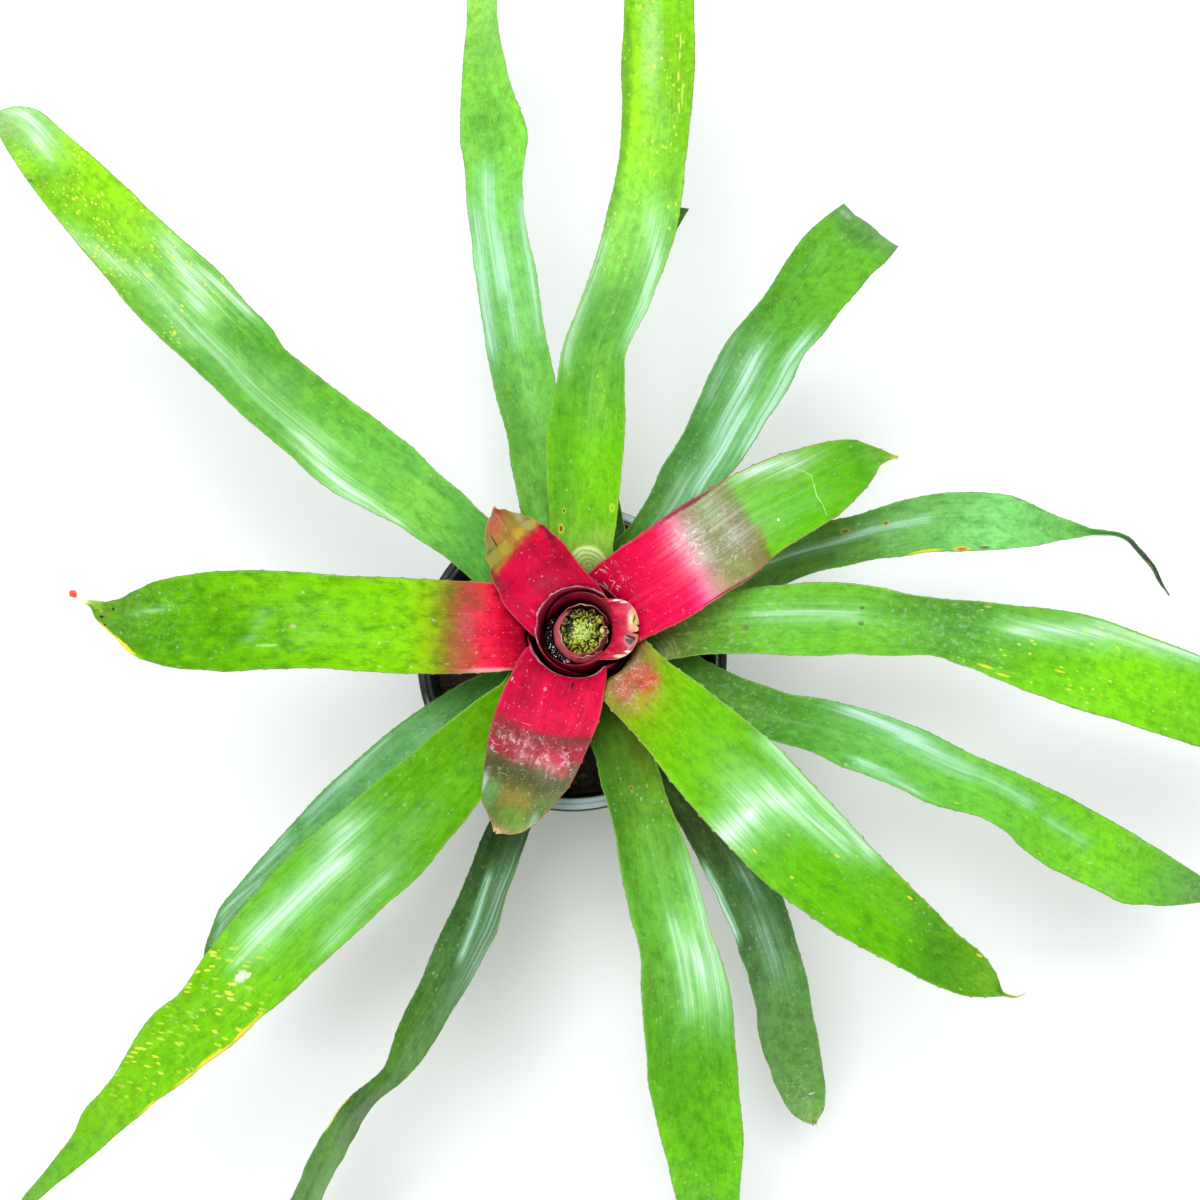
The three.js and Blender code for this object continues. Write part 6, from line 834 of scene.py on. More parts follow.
def turned(name, P, seg, wobble=None):
    """Body of revolution of a profile that starts and ends on the axis."""
    inner = P[1:-1]
    a = np.arange(seg) / seg * 2 * np.pi
    v = np.stack([inner[:, None, 0] * np.cos(a), inner[:, None, 0] * np.sin(a), inner[:, None, 1] + 0 * a], -1)
    if wobble is not None:
        v = wobble(v, inner, a)
    n = len(inner)
    verts = np.concatenate([v.reshape(-1, 3), [[0, 0, P[0, 1]]], [[0, 0, P[-1, 1]]]])
    faces = []
    for i in range(n - 1):
        j = np.arange(seg); j2 = (j + 1) % seg
        faces += [tuple(f) for f in np.stack([i * seg + j, i * seg + j2, (i + 1) * seg + j2, (i + 1) * seg + j], -1)]
    c0, c1 = n * seg, n * seg + 1
    for j in range(seg):
        j2 = (j + 1) % seg
        faces.append((c0, j2, j)); faces.append((c1, (n - 1) * seg + j, (n - 1) * seg + j2))
    return fix_outward(make_object(name, verts, faces))


def apply_modifiers(ob):
    dg = bpy.context.evaluated_depsgraph_get()
    me = bpy.data.meshes.new_from_object(ob.evaluated_get(dg))
    ob.modifiers.clear()
    ob.data = me


# ------------------------------------------------------------------ pot
H = POT["height"]; R = POT["rim"]; WT = POT["wall_top"]; B = POT["base"]; D = POT["drop"]; W = POT["wall"]
wall_outer = lambda z: lerp(B, WT, min(1, max(0, (z - 2.5) / (H - D - 2.5))))
pot_profile = [
    [0, 0], [B - 12.0, 0, 0.3], [B - 11.4, 0.6, 0.3], [B - 6.0, 0.6, 0.3], [B - 5.4, 0, 0.3], [B - 1.6, 0, 1.2], [B, 2.5, 1.4],
    [wall_outer(18.0), 18.0, 0.3], [wall_outer(18.0) + 0.35, 18.6, 0.3], [wall_outer(20.4) + 0.35, 20.4, 0.3], [wall_outer(21.0), 21.0, 0.3],
    [wall_outer(104.0), 104.0, 0.3], [wall_outer(104.6) + 0.4, 104.6, 0.3], [wall_outer(107.0) + 0.4, 107.0, 0.3], [wall_outer(107.6), 107.6, 0.3],
    [WT, H - D, 0.5], [WT + 0.9, H - 1.9, 0.5],
    [R - 2.7, H - 1.9, 0.5], [R - 3.1, H - D, 0.35], [R - 1.7, H - D, 0.45],
    [R - 1.3, H - 9.0, 0.3], [R - 0.75, H - 8.7, 0.3], [R - 0.55, H - 4.6, 0.3], [R - 0.25, H - 2.6, 0.4], [R, H - 1.2, 0.8], [R - 0.5, H - 0.1, 0.7], [R - 1.8, H, 0.6],
    [R - 3.4, H, 0.5], [R - 3.9, H - 0.6, 0.35], [R - 4.3, H - 0.6, 0.3], [R - 4.7, H - 0.15, 0.4], [R - 6.0, H - 0.2, 0.5], [R - 6.7, H - 1.2, 0.6],
    [WT - W, H - D, 0.5], [wall_outer(60) - W, 60, 0.3], [B - W, 4.2, 1.4], [B - W - 1.8, 2.0, 0.8], [0, 2.0]]
pot = turned("pot_fine", dense(rounded(pot_profile, 0.4, 3), 9.0), 192)
cut = []
for i in range(POT["holes"]):
    a = (i + 0.5) / POT["holes"] * 2 * math.pi
    bpy.ops.mesh.primitive_cylinder_add(vertices=40, radius=POT["hole_r"] * MM, depth=0.008,
                                        location=(POT["hole_circle"] * MM * math.cos(a), POT["hole_circle"] * MM * math.sin(a), 0.001))
    drill = bpy.context.active_object
    m = pot.modifiers.new("hole", "BOOLEAN"); m.operation = "DIFFERENCE"; m.solver = "EXACT"; m.object = drill
    cut.append(drill)
apply_modifiers(pot)
for d in cut:
    bpy.data.objects.remove(d)
pot.data.polygons.foreach_set("use_smooth", [True] * len(pot.data.polygons))
pot.data.set_sharp_from_angle(angle=math.radians(32))

k = Nodes("pot_plastic")
oc = k.object_coords()
grit = k.noise(k.scaled(oc, (900, 900, 900)), detail=2)
cloud = k.noise(k.scaled(oc, (22, 22, 22), (3, 1, 4)), detail=5, rough=0.6)
dust = k.noise(k.scaled(oc, (70, 70, 240), (7, 2, 1)), detail=5, rough=0.65)
drip = k.noise(k.scaled(oc, (160, 160, 9), (1, 8, 2)), detail=3, rough=0.6)
col = k.ramp(cloud, [(0.3, (30, 31, 33)), (0.7, (40, 41, 44))])
col = k.mix(k.span(dust, 0.50, 0.78, 0, 0.20), col, (112, 104, 92))
col = k.mix(k.span(drip, 0.60, 0.80, 0, 0.16), col, (140, 140, 134))
sx = k.t.nodes.new("ShaderNodeSeparateXYZ"); k.put(sx.inputs[0], oc)
low = k.span(sx.outputs[2], 0.0, 0.02, 0.32, 0.0)
col = k.mix(k.math("MULTIPLY", low, k.span(cloud, 0.35, 0.6)), col, (98, 82, 64))
# painted highlight: pale blue-white stretches painted along the top of the rim where the overhead light reflects off
# it, broken up by the dust noise
flat = k.t.nodes.new("ShaderNodeVectorMath"); flat.operation = "MULTIPLY"; k.put(flat.inputs[0], oc); flat.inputs[1].default_value = (1, 1, 0)
far = k.t.nodes.new("ShaderNodeVectorMath"); far.operation = "LENGTH"; k.put(far.inputs[0], flat.outputs[0])
turn = k.math("ARCTAN2", sx.outputs[1], sx.outputs[0])
painted_rim_highlight = None
for (mid, wide, inner, outer, strength) in ((-1.50, 0.44, R - 6.6, R - 0.8, 1.0), (1.02, 0.42, R - 4.2, R - 0.4, 0.85), (2.3, 0.25, R - 5.9, R - 4.4, 0.35), (0.1, 0.3, R - 5.9, R - 4.4, 0.35), (-2.6, 0.3, R - 3.4, R - 1.4, 0.4)):
    m = k.span(k.math("ABSOLUTE", k.math("SUBTRACT", turn, mid)), wide, wide * 0.55, 0, 1)
    m = k.math("MULTIPLY", m, k.math("MULTIPLY", k.span(far.outputs["Value"], inner * MM, (inner + 0.5) * MM), k.span(far.outputs["Value"], (outer - 0.5) * MM, outer * MM, 1, 0)))
    m = k.math("MULTIPLY", m, strength)
    painted_rim_highlight = m if painted_rim_highlight is None else k.math("MAXIMUM", painted_rim_highlight, m)
painted_rim_highlight = k.math("MULTIPLY", painted_rim_highlight, k.math("MULTIPLY", k.span(sx.outputs[2], 0.1285, 0.1292), k.span(dust, 0.30, 0.55, 0.65, 1.0)))
col = k.mix(painted_rim_highlight, col, (210, 226, 240))
k.put(k.bsdf.inputs["Base Color"], col)
k.put(k.bsdf.inputs["Roughness"], k.span(k.math("ADD", k.math("MULTIPLY", cloud, 0.5), k.math("MULTIPLY", dust, 0.5)), 0.3, 0.7, 0.24, 0.46, False))
k.bsdf.inputs["Specular IOR Level"].default_value = 0.6
fine_lines = k.noise(k.scaled(oc, (60, 60, 2600)), detail=1)
k.put(k.bsdf.inputs["Normal"], k.bump(k.math("ADD", k.math("MULTIPLY", grit, 0.6), k.math("MULTIPLY", fine_lines, 0.4)), 0.00012, 0.45))
finish_piece(pot, "pot", k.mat)


# ------------------------------------------------------------------ small loose pieces
def hull_shape(rng, n=12, squash=(1, 1, 1)):
    bm = bmesh.new()
    for p in unit(rng.normal(size=(n, 3))) * rng.uniform(0.8, 1.0, (n, 1)):
        bm.verts.new(p * squash)
    bmesh.ops.convex_hull(bm, input=bm.verts)
    loose = [v for v in bm.verts if not v.link_faces]
    bmesh.ops.delete(bm, geom=loose, context="VERTS")
    bmesh.ops.triangulate(bm, faces=bm.faces)
    bmesh.ops.recalc_face_normals(bm, faces=bm.faces)
    bm.verts.index_update()
    v = np.array([x.co for x in bm.verts]); f = [tuple(x.index for x in face.verts) for face in bm.faces]
    bm.free()
    return v, f


def turn_matrix(rng, tilt=1.0):
    a = rng.uniform(0, 2 * np.pi); b = rng.normal() * tilt; c = rng.normal() * tilt
    ca, sa, cb, sb, cc, sc = math.cos(a), math.sin(a), math.cos(b), math.sin(b), math.cos(c), math.sin(c)
    return np.array([[ca, -sa, 0], [sa, ca, 0], [0, 0, 1]]) @ np.array([[1, 0, 0], [0, cb, -sb], [0, sb, cb]]) @ np.array([[cc, 0, sc], [0, 1, 0], [-sc, 0, cc]])


class Pile:
    """Gathers many small closed bodies in one mesh, each with its own tone."""

    def __init__(self):
        self.v, self.f, self.tone, self.n = [], [], [], 0

    def add(self, v, f, tone):
        self.v.append(v); self.f += [tuple(i + self.n for i in q) for q in f]
        self.tone.append(np.full(len(v), tone) if np.isscalar(tone) else tone); self.n += len(v)

    def make(self, name, smooth_shade=False):
        return make_object(name, np.concatenate(self.v), self.f, smooth_shade, floats={"tone": np.concatenate(self.tone)})


# ------------------------------------------------------------------ potting mix: a lumpy body with chips of bark in its surface
seg = 150
soil_r = lambda z: wall_outer(z) - W - 0.35
prof = [[0, 2.4], [B - W - 2.6, 2.4], [B - W - 0.9, 4.4], [soil_r(60), 60], [soil_r(SOIL_TOP) - 0.1, SOIL_TOP - 2.0]]
radii = np.linspace(soil_r(SOIL_TOP) - 0.6, 13.8, 46)
prof += [[r, SOIL_TOP - 0.6] for r in radii] + [[13.6, 108.0], [13.6, 97.0], [0, 97.0]]


def soil_wobble(v, inner, a):
    rng = np.random.default_rng(77)
    for i in range(len(inner)):
        if inner[i, 1] > SOIL_TOP - 1 and inner[i, 0] > 13.7:
            x, y = v[i, :, 0], v[i, :, 1]
            h = 0.0
            for (sx_, sy_, ph, amp) in lumps:
                h = h + amp * np.sin(x * sx_ + y * sy_ + ph)
            v[i, :, 2] += np.clip(h, -1.6, 1.3) + rng.uniform(-0.35, 0.35, len(a))
            v[i, :, :2] *= 1 + rng.uniform(-0.006, 0.0, (len(a), 1))
    return v


rng = np.random.default_rng(5)
lumps = [(rng.uniform(-0.9, 0.9), rng.uniform(-0.9, 0.9), rng.uniform(0, 6.28), rng.uniform(0.15, 0.42)) for _ in range(14)]
soil = turned("potting_mix_body", np.array(prof, float), seg, soil_wobble)
sv = np.empty(len(soil.data.vertices) * 3, np.float32); soil.data.vertices.foreach_get("co", sv); sv = sv.reshape(-1, 3) / MM
sf = [tuple(p.vertices) for p in soil.data.polygons]
bpy.data.objects.remove(soil)
pile = Pile(); pile.add(sv, sf, 0.12)
shapes = [hull_shape(rng, 11) for _ in range(14)]
for i in range(900):
    r = math.sqrt(rng.uniform(34.0**2, 67.0**2)); a = rng.uniform(0, 2 * np.pi)
    kind = rng.random()
    if kind < 0.12:
        size = np.array([rng.uniform(2.6, 4.6), rng.uniform(1.3, 2.2), rng.uniform(0.8, 1.4)]); tone = rng.uniform(0.45, 0.95)
    elif kind < 0.17:
        size = np.full(3, rng.uniform(0.7, 1.3)); tone = 2.0
    else:
        size = np.array([rng.uniform(0.8, 2.2), rng.uniform(0.6, 1.3), rng.uniform(0.4, 0.9)]); tone = rng.uniform(0.1, 0.7)
    if r + size[0] > 68.0:
        r = 68.0 - size[0]
    v, f = shapes[rng.integers(len(shapes))]
    v = (v * size) @ turn_matrix(rng, 0.35).T + np.array([r * math.cos(a), r * math.sin(a), SOIL_TOP - 0.5 + rng.uniform(0, 0.9)])
    pile.add(v, f, tone)
soil = pile.make("potting_mix_fine")
k = Nodes("potting_mix")
oc = k.object_coords(); tone = k.attr("tone")
n1 = k.noise(k.scaled(oc, (300, 300, 300)), detail=5, rough=0.65)
n2 = k.noise(k.scaled(oc, (1500, 900, 1500)), detail=3)
col = k.ramp(k.math("ADD", k.math("MULTIPLY", tone, 0.7), k.math("MULTIPLY", n1, 0.35)), [(0.15, (26, 20, 16)), (0.4, (52, 38, 28)), (0.7, (84, 60, 42)), (1.0, (118, 88, 62))])
col = k.mix(k.span(tone, 1.3, 1.6), col, (206, 202, 194))
col = k.mix(k.span(n2, 0.5, 0.75, 0, 0.35), col, (20, 15, 12))
k.put(k.bsdf.inputs["Base Color"], col); k.put(k.bsdf.inputs["Roughness"], k.span(n1, 0.3, 0.7, 0.75, 0.95))
k.put(k.bsdf.inputs["Normal"], k.bump(n2, 0.0005, 0.6))
finish_piece(soil, "potting_mix", k.mat)

# ------------------------------------------------------------------ stem stays as the CAD made it
k = Nodes("stem_fibre")
oc = k.object_coords()
n1 = k.noise(k.scaled(oc, (500, 500, 40)), detail=4)
k.put(k.bsdf.inputs["Base Color"], k.ramp(n1, [(0.3, (104, 96, 52)), (0.6, (150, 158, 84)), (0.8, (176, 180, 120))]))
k.put(k.bsdf.inputs["Roughness"], k.span(n1, 0.3, 0.7, 0.55, 0.8)); k.put(k.bsdf.inputs["Normal"], k.bump(n1, 0.0004, 0.5))
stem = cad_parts["stem"]
stem.data.materials.clear(); stem.data.materials.append(k.mat)


# ------------------------------------------------------------------ bracts
BRACTS = [dict(name="bract_left", az=196, half=74, radius=12.0, top=190.5, point=1.5, curl=2.6, out=1.0),
          dict(name="bract_right", az=330, half=72, radius=11.0, top=189.8, point=2.0, curl=1.6, out=0.5),
          dict(name="bract_back", az=84, half=66, radius=13.0, top=190.2, point=3.5, curl=0.6, out=0.0),
          dict(name="bract_front", az=280, half=40, radius=13.0, top=189.4, point=1.2, curl=1.6, out=0.3)]


def bract_material(name, seed, warm):
    k = Nodes(name)
    g = k.attr("grain", True); fr = k.attr("frac"); ac = k.attr("across"); un = k.attr("under")
    s = (seed, seed * 2.0, 0)
    st = k.noise(k.scaled(g, (900, 60, 0), s), detail=3); pa = k.noise(k.scaled(g, (200, 120, 0), s), detail=3)
    a, b, c = ((206, 86, 102), (226, 112, 122), (188, 50, 80)) if warm else ((142, 44, 66), (172, 78, 96), (104, 20, 44))
    col = k.ramp(k.math("ADD", fr, k.math("MULTIPLY", k.math("SUBTRACT", st, 0.5), 0.3)), [(0.0, (170, 150, 90)), (0.35, c), (0.7, a), (0.94, b), (1.0, (200, 104, 110))])
    col = k.mix(k.span(pa, 0.5, 0.8, 0, 0.35), col, c)
    col = k.mix(k.span(k.math("ABSOLUTE", ac), 0.93, 0.99, 0, 0.30), col, (220, 140, 140))
    col = k.mix(k.math("MULTIPLY", k.span(fr, 0.955, 0.99), k.span(k.math("ABSOLUTE", ac), 0.5, 0.1)), col, (222, 212, 180))
    k.put(k.bsdf.inputs["Base Color"], col)
    k.put(k.bsdf.inputs["Roughness"], k.span(pa, 0.3, 0.7, 0.36, 0.5))
    k.put(k.bsdf.inputs["Normal"], k.bump(st, 0.0002, 0.5))
    return k.mat


for n, b in enumerate(BRACTS):
    cols, lv = 49, 34
    u = np.linspace(-1, 1, cols)
    rows = []
    for t in np.linspace(0, 1, lv):
        half = b["half"] * (0.62 + 0.38 * math.sin(math.pi * min(1, t * 0.62 + 0.1)))
        a = np.radians(b["az"] + u * half)
        swell = math.sin(math.pi / 2 * min(1, t * 1.35))
        r = lerp(7.0 + (b["radius"] - 12) * 0.7, b["radius"] + b["out"] * float(smooth(t / 0.7)), swell) - b["curl"] * float(smooth((t - 0.66) / 0.34)) ** 1.4
        z = lerp(171.0, b["top"], t) + t * t * b["point"] * (np.exp(-u * u * 22) - 0.9 * np.abs(u) ** 3)
        z = z + 0.25 * t * np.sin(u * 9 + n * 2) - b["curl"] * 0.10 * float(smooth((t - 0.8) / 0.2))
        r = r + 0.18 * t * np.sin(u * 13 + n * 3) - 0.8 * np.exp(-u * u * 60) * float(smooth((t - 0.8) / 0.2))
        rows.append(np.stack([HEAD["x"] + r * np.cos(a), HEAD["y"] + r * np.sin(a), z + 0 * a], -1))
    rows = np.array(rows)
    half = 0.3 * (1 - 0.5 * np.abs(u[None]) ** 5) * np.ones((lv, 1)); half[-3:] *= np.array([0.85, 0.65, 0.4])[:, None]
    verts, faces, info = strip_shell(rows, half)
    if signed_volume(verts, faces) < 0:
        faces = [f[::-1] for f in faces]
    r_, c_ = info[:, 0].astype(int), info[:, 1].astype(int)
    fr = r_ / (lv - 1)
    ob = make_object(b["name"] + "_fine", verts, faces, floats={"frac": fr, "across": u[c_], "under": (info[:, 2] < 0) * 1.0},
                     vectors={"grain": np.stack([u[c_] * 0.012, fr * 0.02, 0 * fr], -1)})
    finish_piece(ob, b["name"], bract_material(b["name"], 3.1 * n + 1, b["name"] in ("bract_left", "bract_front")))


# ------------------------------------------------------------------ flower head: a dome of close-set buds
def bud(length, radius, seg=12, rings=12, keel=0.12, hook=0.0):
    """A pointed bud along +Z from the origin; returns points, faces and height 0 to 1."""
    t = np.linspace(0, 1, rings + 1)
    r = radius * (np.sin(np.pi * np.clip(t, 0, 1) ** 0.72) ** 0.75) * (1 - 0.25 * t)
    r[0] = radius * 0.45
    a = np.arange(seg) / seg * 2 * np.pi
    v, f, hgt = [], [], []
    for i in range(rings):
        rr = r[i] * (1 + keel * np.cos(3 * a) * math.sin(math.pi * t[i]))
        v.append(np.stack([rr * np.cos(a) + hook * t[i] ** 2, rr * np.sin(a), 0 * a + length * t[i]], -1)); hgt.append(np.full(seg, t[i]))
    v = np.concatenate(v + [np.array([[0, 0, -0.1 * length]]), np.array([[hook, 0, length]])]); hgt = np.concatenate(hgt + [np.array([0.0, 1.0])])
    for i in range(rings - 1):
        for j in range(seg):
            j2 = (j + 1) % seg
            f.append((i * seg + j, i * seg + j2, (i + 1) * seg + j2, (i + 1) * seg + j))
    b0, t0 = rings * seg, rings * seg + 1
    for j in range(seg):
        j2 = (j + 1) % seg
        f.append((b0, j2, j)); f.append((t0, (rings - 1) * seg + j, (rings - 1) * seg + j2))
    return v, f, hgt


def place(v, x, y, z, tilt, towards, spin):
    """Turns points about their own foot: spun, leaned by tilt towards an azimuth, and set down."""
    rs = np.array([[math.cos(spin), -math.sin(spin), 0], [math.sin(spin), math.cos(spin), 0], [0, 0, 1]])
    m = np.array([[math.cos(tilt), 0, math.sin(tilt)], [0, 1, 0], [-math.sin(tilt), 0, math.cos(tilt)]])
    rz = np.array([[math.cos(towards), -math.sin(towards), 0], [math.sin(towards), math.cos(towards), 0], [0, 0, 1]])
    return np.asarray(v) @ rs.T @ m.T @ rz.T + np.array([x, y, z])


def sepal(rng, length, radius, turn, close):
    """One curved scale of a calyx round the Z axis; close is how far its tip leans in."""
    rows, cols = 9, 9
    s = np.linspace(-1, 1, cols); out = []
    wig = rng.uniform(-0.12, 0.12, 3)
    for t in np.linspace(0, 1, rows):
        half = math.radians(66) * (math.sqrt(max(0.0, 1 - t ** 2.6)) * 0.94 + 0.06)
        rr = radius * (0.55 + 0.45 * math.sin(math.pi / 2 * min(1, t * 1.7)) - close * float(smooth((t - 0.55) / 0.45)))
        a = turn + s * half + wig[0] * t
        r = rr * (1 + 0.10 * np.cos(s * 3.1) * t + wig[1] * s * t)
        out.append(np.stack([r * np.cos(a), r * np.sin(a), length * (t + 0.05 * wig[2] * s) + 0 * a], -1))
    out = np.array(out)
    v, f, info = strip_shell(out, np.full(out.shape[:2], 0.09))
    if signed_volume(v, f) < 0:
        f = [q[::-1] for q in f]
    rim = np.maximum(info[:, 0] / (rows - 1), np.abs(s[info[:, 1].astype(int)]) ** 4 * 0.9)
    return v, f, info[:, 0] / (rows - 1), rim


class Head:
    def __init__(self):
        self.v, self.f, self.tone, self.tall, self.rim, self.n = [], [], [], [], [], 0

    def add(self, v, f, tone, tall, rim):
        self.v.append(np.asarray(v)); self.f += [tuple(i + self.n for i in q) for q in f]
        for store, x in ((self.tone, tone), (self.tall, tall), (self.rim, rim)):
            store.append(np.full(len(v), float(x)) if np.isscalar(x) else np.asarray(x, float))
        self.n += len(v)


rng = np.random.default_rng(12)
H_ = Head()
# rings of florets: count, ring radius, size, top, lean, tone
RINGS = [(13, 8.5, 2.15, 188.2, 0.44, 0.16), (9, 5.9, 1.95, 189.4, 0.28, 0.36), (6, 3.5, 1.5, 189.6, 0.14, 0.66), (3, 1.4, 1.2, 189.6, 0.05, 0.85)]
for number, ring, size, top, lean, tone0 in RINGS:
    first = rng.uniform(0, 6.28)
    for i in range(number):
        a = first + (i + rng.uniform(-0.16, 0.16)) / number * 2 * np.pi
        rr = ring + rng.uniform(-0.45, 0.35)
        x, y = rr * math.cos(a), rr * math.sin(a)
        # the boss shows through this hollow; its near-black colour is painted shade
        if math.hypot(x + 5.9, y - 0.8) < 1.7:      # the dark hollow where florets have dropped off
            continue
        rd = size * rng.uniform(0.84, 1.16); ln = rng.uniform(3.6, 4.6)
        tone = tone0 + rng.normal() * 0.09 + 0.10 * x / 9.0
        if math.hypot(x - 7.8, y - 1.4) < 2.2 and ring > 5:
            tone = 0.97
        tilt = lean + rng.normal() * 0.12; spin = rng.uniform(0, 6.28); tz = top + rng.uniform(-0.6, 0.35) - ln * math.cos(tilt)
        base = (HEAD["x"] + x, HEAD["y"] + y)
        shut = rng.random() < (0.25 if ring > 5 else 0.1)
        for j in range(3):
            v, f, tall, rim = sepal(rng, ln * rng.uniform(0.92, 1.05), rd * (1 + 0.04 * j), spin + j * 2.094, rng.uniform(0.55, 0.8) if shut else rng.uniform(0.05, 0.42))
            H_.add(place(v, *base, tz, tilt, a, 0), f, tone + rng.normal() * 0.05, tall, rim)
        v, f, h = bud(ln * 0.86, rd * 0.66, seg=10, rings=9, hook=rng.uniform(-0.2, 0.3))
        H_.add(place(v, *base, tz, tilt, a, spin), f, tone + 0.05, h, 0.2)
# the crumpled pale heart: folded young florets and bracteoles
for i in range(70):
    q = math.sqrt(rng.uniform(0, 1)); a = rng.uniform(0, 2 * np.pi); r0 = 4.2 * q
    long_, wide = rng.uniform(2.0, 3.6), rng.uniform(0.5, 1.05)
    out = []; bend = rng.uniform(-1.2, 1.2); fold = rng.uniform(0.3, 0.9)
    for t in np.linspace(0, 1, 7):
        c = np.array([0.35 * long_ * math.sin(bend * t), 0.0, long_ * t * (1 - 0.18 * abs(bend) * t)])
        ww = wide * math.sin(math.pi * (0.12 + 0.74 * t))
        out.append([c + np.array([0.0, ww * s, fold * ww * abs(s) + 0.12 * math.sin(5 * s + 6 * t)]) @ np.array([[1, 0, 0], [0, 1, 0], [-0.6, 0, 0.8]]) for s in (-1, -0.5, 0, 0.5, 1)])
    out = np.array(out)
    vv, ff, info = strip_shell(out, np.full(out.shape[:2], 0.08))
    if signed_volume(vv, ff) < 0:
        ff = [g[::-1] for g in ff]
    vv = place(vv, HEAD["x"] + r0 * math.cos(a), HEAD["y"] + r0 * math.sin(a), 187.6 + rng.uniform(0, 0.7) - 1.1 * q * q, rng.uniform(0.3, 1.25), rng.uniform(0, 6.28), rng.uniform(0, 6.28))
    vv[:, 2] = np.minimum(vv[:, 2], 191.2)
    H_.add(vv, ff, 0.95 + rng.uniform(-0.12, 0.10), 0.5 + 0.5 * info[:, 0] / 6, np.abs(info[:, 1] - 2) / 2)
# withered brown petals between the outer florets
for i in range(22):
    a = rng.uniform(0, 2 * np.pi); r0 = rng.uniform(5.4, 9.0)
    L_ = rng.uniform(2.0, 3.2); w = rng.uniform(0.3, 0.5)
    rowsP = []
    for t in np.linspace(0, 1, 7):
        c = np.array([0.9 * t * math.cos(1.5 * t), 0.9 * t * math.sin(1.5 * t), L_ * t * (1 - 0.25 * t)])
        dd = np.array([-math.sin(2.2 * t), math.cos(2.2 * t), 0.0]); ww = w * math.sin(math.pi * (0.15 + 0.8 * t))
        rowsP.append([c + dd * ww * s + np.array([0, 0, 0.12 * abs(s)]) for s in (-1, -0.4, 0.4, 1)])
    rowsP = np.array(rowsP)
    vv, ff, _ = strip_shell(rowsP, np.full(rowsP.shape[:2], 0.07))
    if signed_volume(vv, ff) < 0:
        ff = [g[::-1] for g in ff]
    H_.add(place(vv, HEAD["x"] + r0 * math.cos(a), HEAD["y"] + r0 * math.sin(a), 185.6, 0.2, a, a), ff, 1.6 if rng.random() < 0.4 else 0.05, 0.7, 0.5)
# the boss they stand on, painted near black all over as shade
seg = 48
prof = [(0.5, 169.2), (0.62, 172.4), (0.8, 176.6), (0.9, 180.6), (0.92, 183.0), (0.84, 184.6), (0.66, 185.6), (0.42, 186.2), (0.2, 186.5)]
v = [[HEAD["x"], HEAD["y"], 169.0]]; f = []
for (rr, z) in prof:
    for j in range(seg):
        a = j / seg * 2 * np.pi
        r = HEAD["radius"] * rr * (1 + 0.03 * math.cos(11 * a))
        v.append([HEAD["x"] + r * math.cos(a), HEAD["y"] + r * math.sin(a), z])
v.append([HEAD["x"], HEAD["y"], 186.6])
idx = lambda i, j: 1 + i * seg + j % seg
for j in range(seg):
    f.append((0, idx(0, j + 1), idx(0, j))); f.append((len(v) - 1, idx(len(prof) - 1, j), idx(len(prof) - 1, j + 1)))
    for i in range(len(prof) - 1):
        f.append((idx(i, j), idx(i, j + 1), idx(i + 1, j + 1), idx(i + 1, j)))
H_.add(v, f, 0.0, 0.0, 0.0)
head = make_object("flower_head_fine", np.concatenate(H_.v), H_.f, True, floats={"tone": np.concatenate(H_.tone), "tall": np.concatenate(H_.tall), "rim": np.concatenate(H_.rim)})
fix_outward(head)
k = Nodes("flower_buds")
oc = k.object_coords(); tone = k.attr("tone"); tall = k.attr("tall"); rim = k.attr("rim")
n1 = k.noise(k.scaled(oc, (900, 900, 500)), detail=3); n2 = k.noise(k.scaled(oc, (2600, 2600, 700)), detail=2)
col = k.ramp(k.math("ADD", tone, k.math("MULTIPLY", k.math("SUBTRACT", n1, 0.5), 0.35)), [(0.0, (88, 80, 20)), (0.18, (132, 130, 26)), (0.38, (172, 182, 32)), (0.6, (200, 226, 56)), (0.8, (216, 246, 112)), (0.95, (238, 254, 160))])
col = k.mix(k.span(tone, 1.3, 1.5), col, (206, 196, 160))
col = k.mix(k.math("MULTIPLY", k.span(rim, 0.72, 1.0), k.span(tone, 0.0, 0.8, 0.35, 0.6)), col, (224, 232, 150))
# painted shade: the lower part of every floret and scale, and the whole boss, darkened nearly to black for the shade
# down in the gaps between them
col = k.mix(k.span(tall, 0.72, 0.16), col, (26, 22, 6))
col = k.mix(k.span(n2, 0.55, 0.8, 0, 0.30), col, (232, 244, 170))
k.put(k.bsdf.inputs["Base Color"], col); k.put(k.bsdf.inputs["Roughness"], k.span(n1, 0.3, 0.7, 0.28, 0.5))
k.put(k.bsdf.inputs["Normal"], k.bump(n2, 0.0002, 0.5))
finish_piece(head, "flower_head", k.mat)

# ------------------------------------------------------------------ litter in the cup: wet black crumbs on a bed of the same, with white crumbs among them as painted glints
pile = Pile()
n = 40
bed_v, bed_f = [], []
for i in range(n + 1):
    t = i / n; a = math.radians(lerp(150, 258, t)); w = 0.85 * (0.35 + 0.65 * math.sin(math.pi * t)); hgt = 186.0 - 2.4 * (1 - math.sin(math.pi * t))
    for s, z in ((-1, 178.0), (1, 178.0), (1, hgt - 0.5), (0, hgt), (-1, hgt - 0.5)):
        r = 13.8 + s * w
        bed_v.append([4.4 + r * math.cos(a), 2.1 + r * math.sin(a), z])
for i in range(n):
    for j in range(5):
        a_, b_ = i * 5 + j, i * 5 + (j + 1) % 5
        bed_f.append((a_, b_, b_ + 5, a_ + 5))
bed_f.append((4, 3, 2, 1, 0)); e = n * 5; bed_f.append((e, e + 1, e + 2, e + 3, e + 4))
bed = np.array(bed_v)
if signed_volume(bed, [f for f in bed_f if len(f) == 4]) < 0:
    bed_f = [f[::-1] for f in bed_f]
pile.add(bed, bed_f, 0.0)
rng = np.random.default_rng(21)
shapes = [hull_shape(rng, 12) for _ in range(10)]
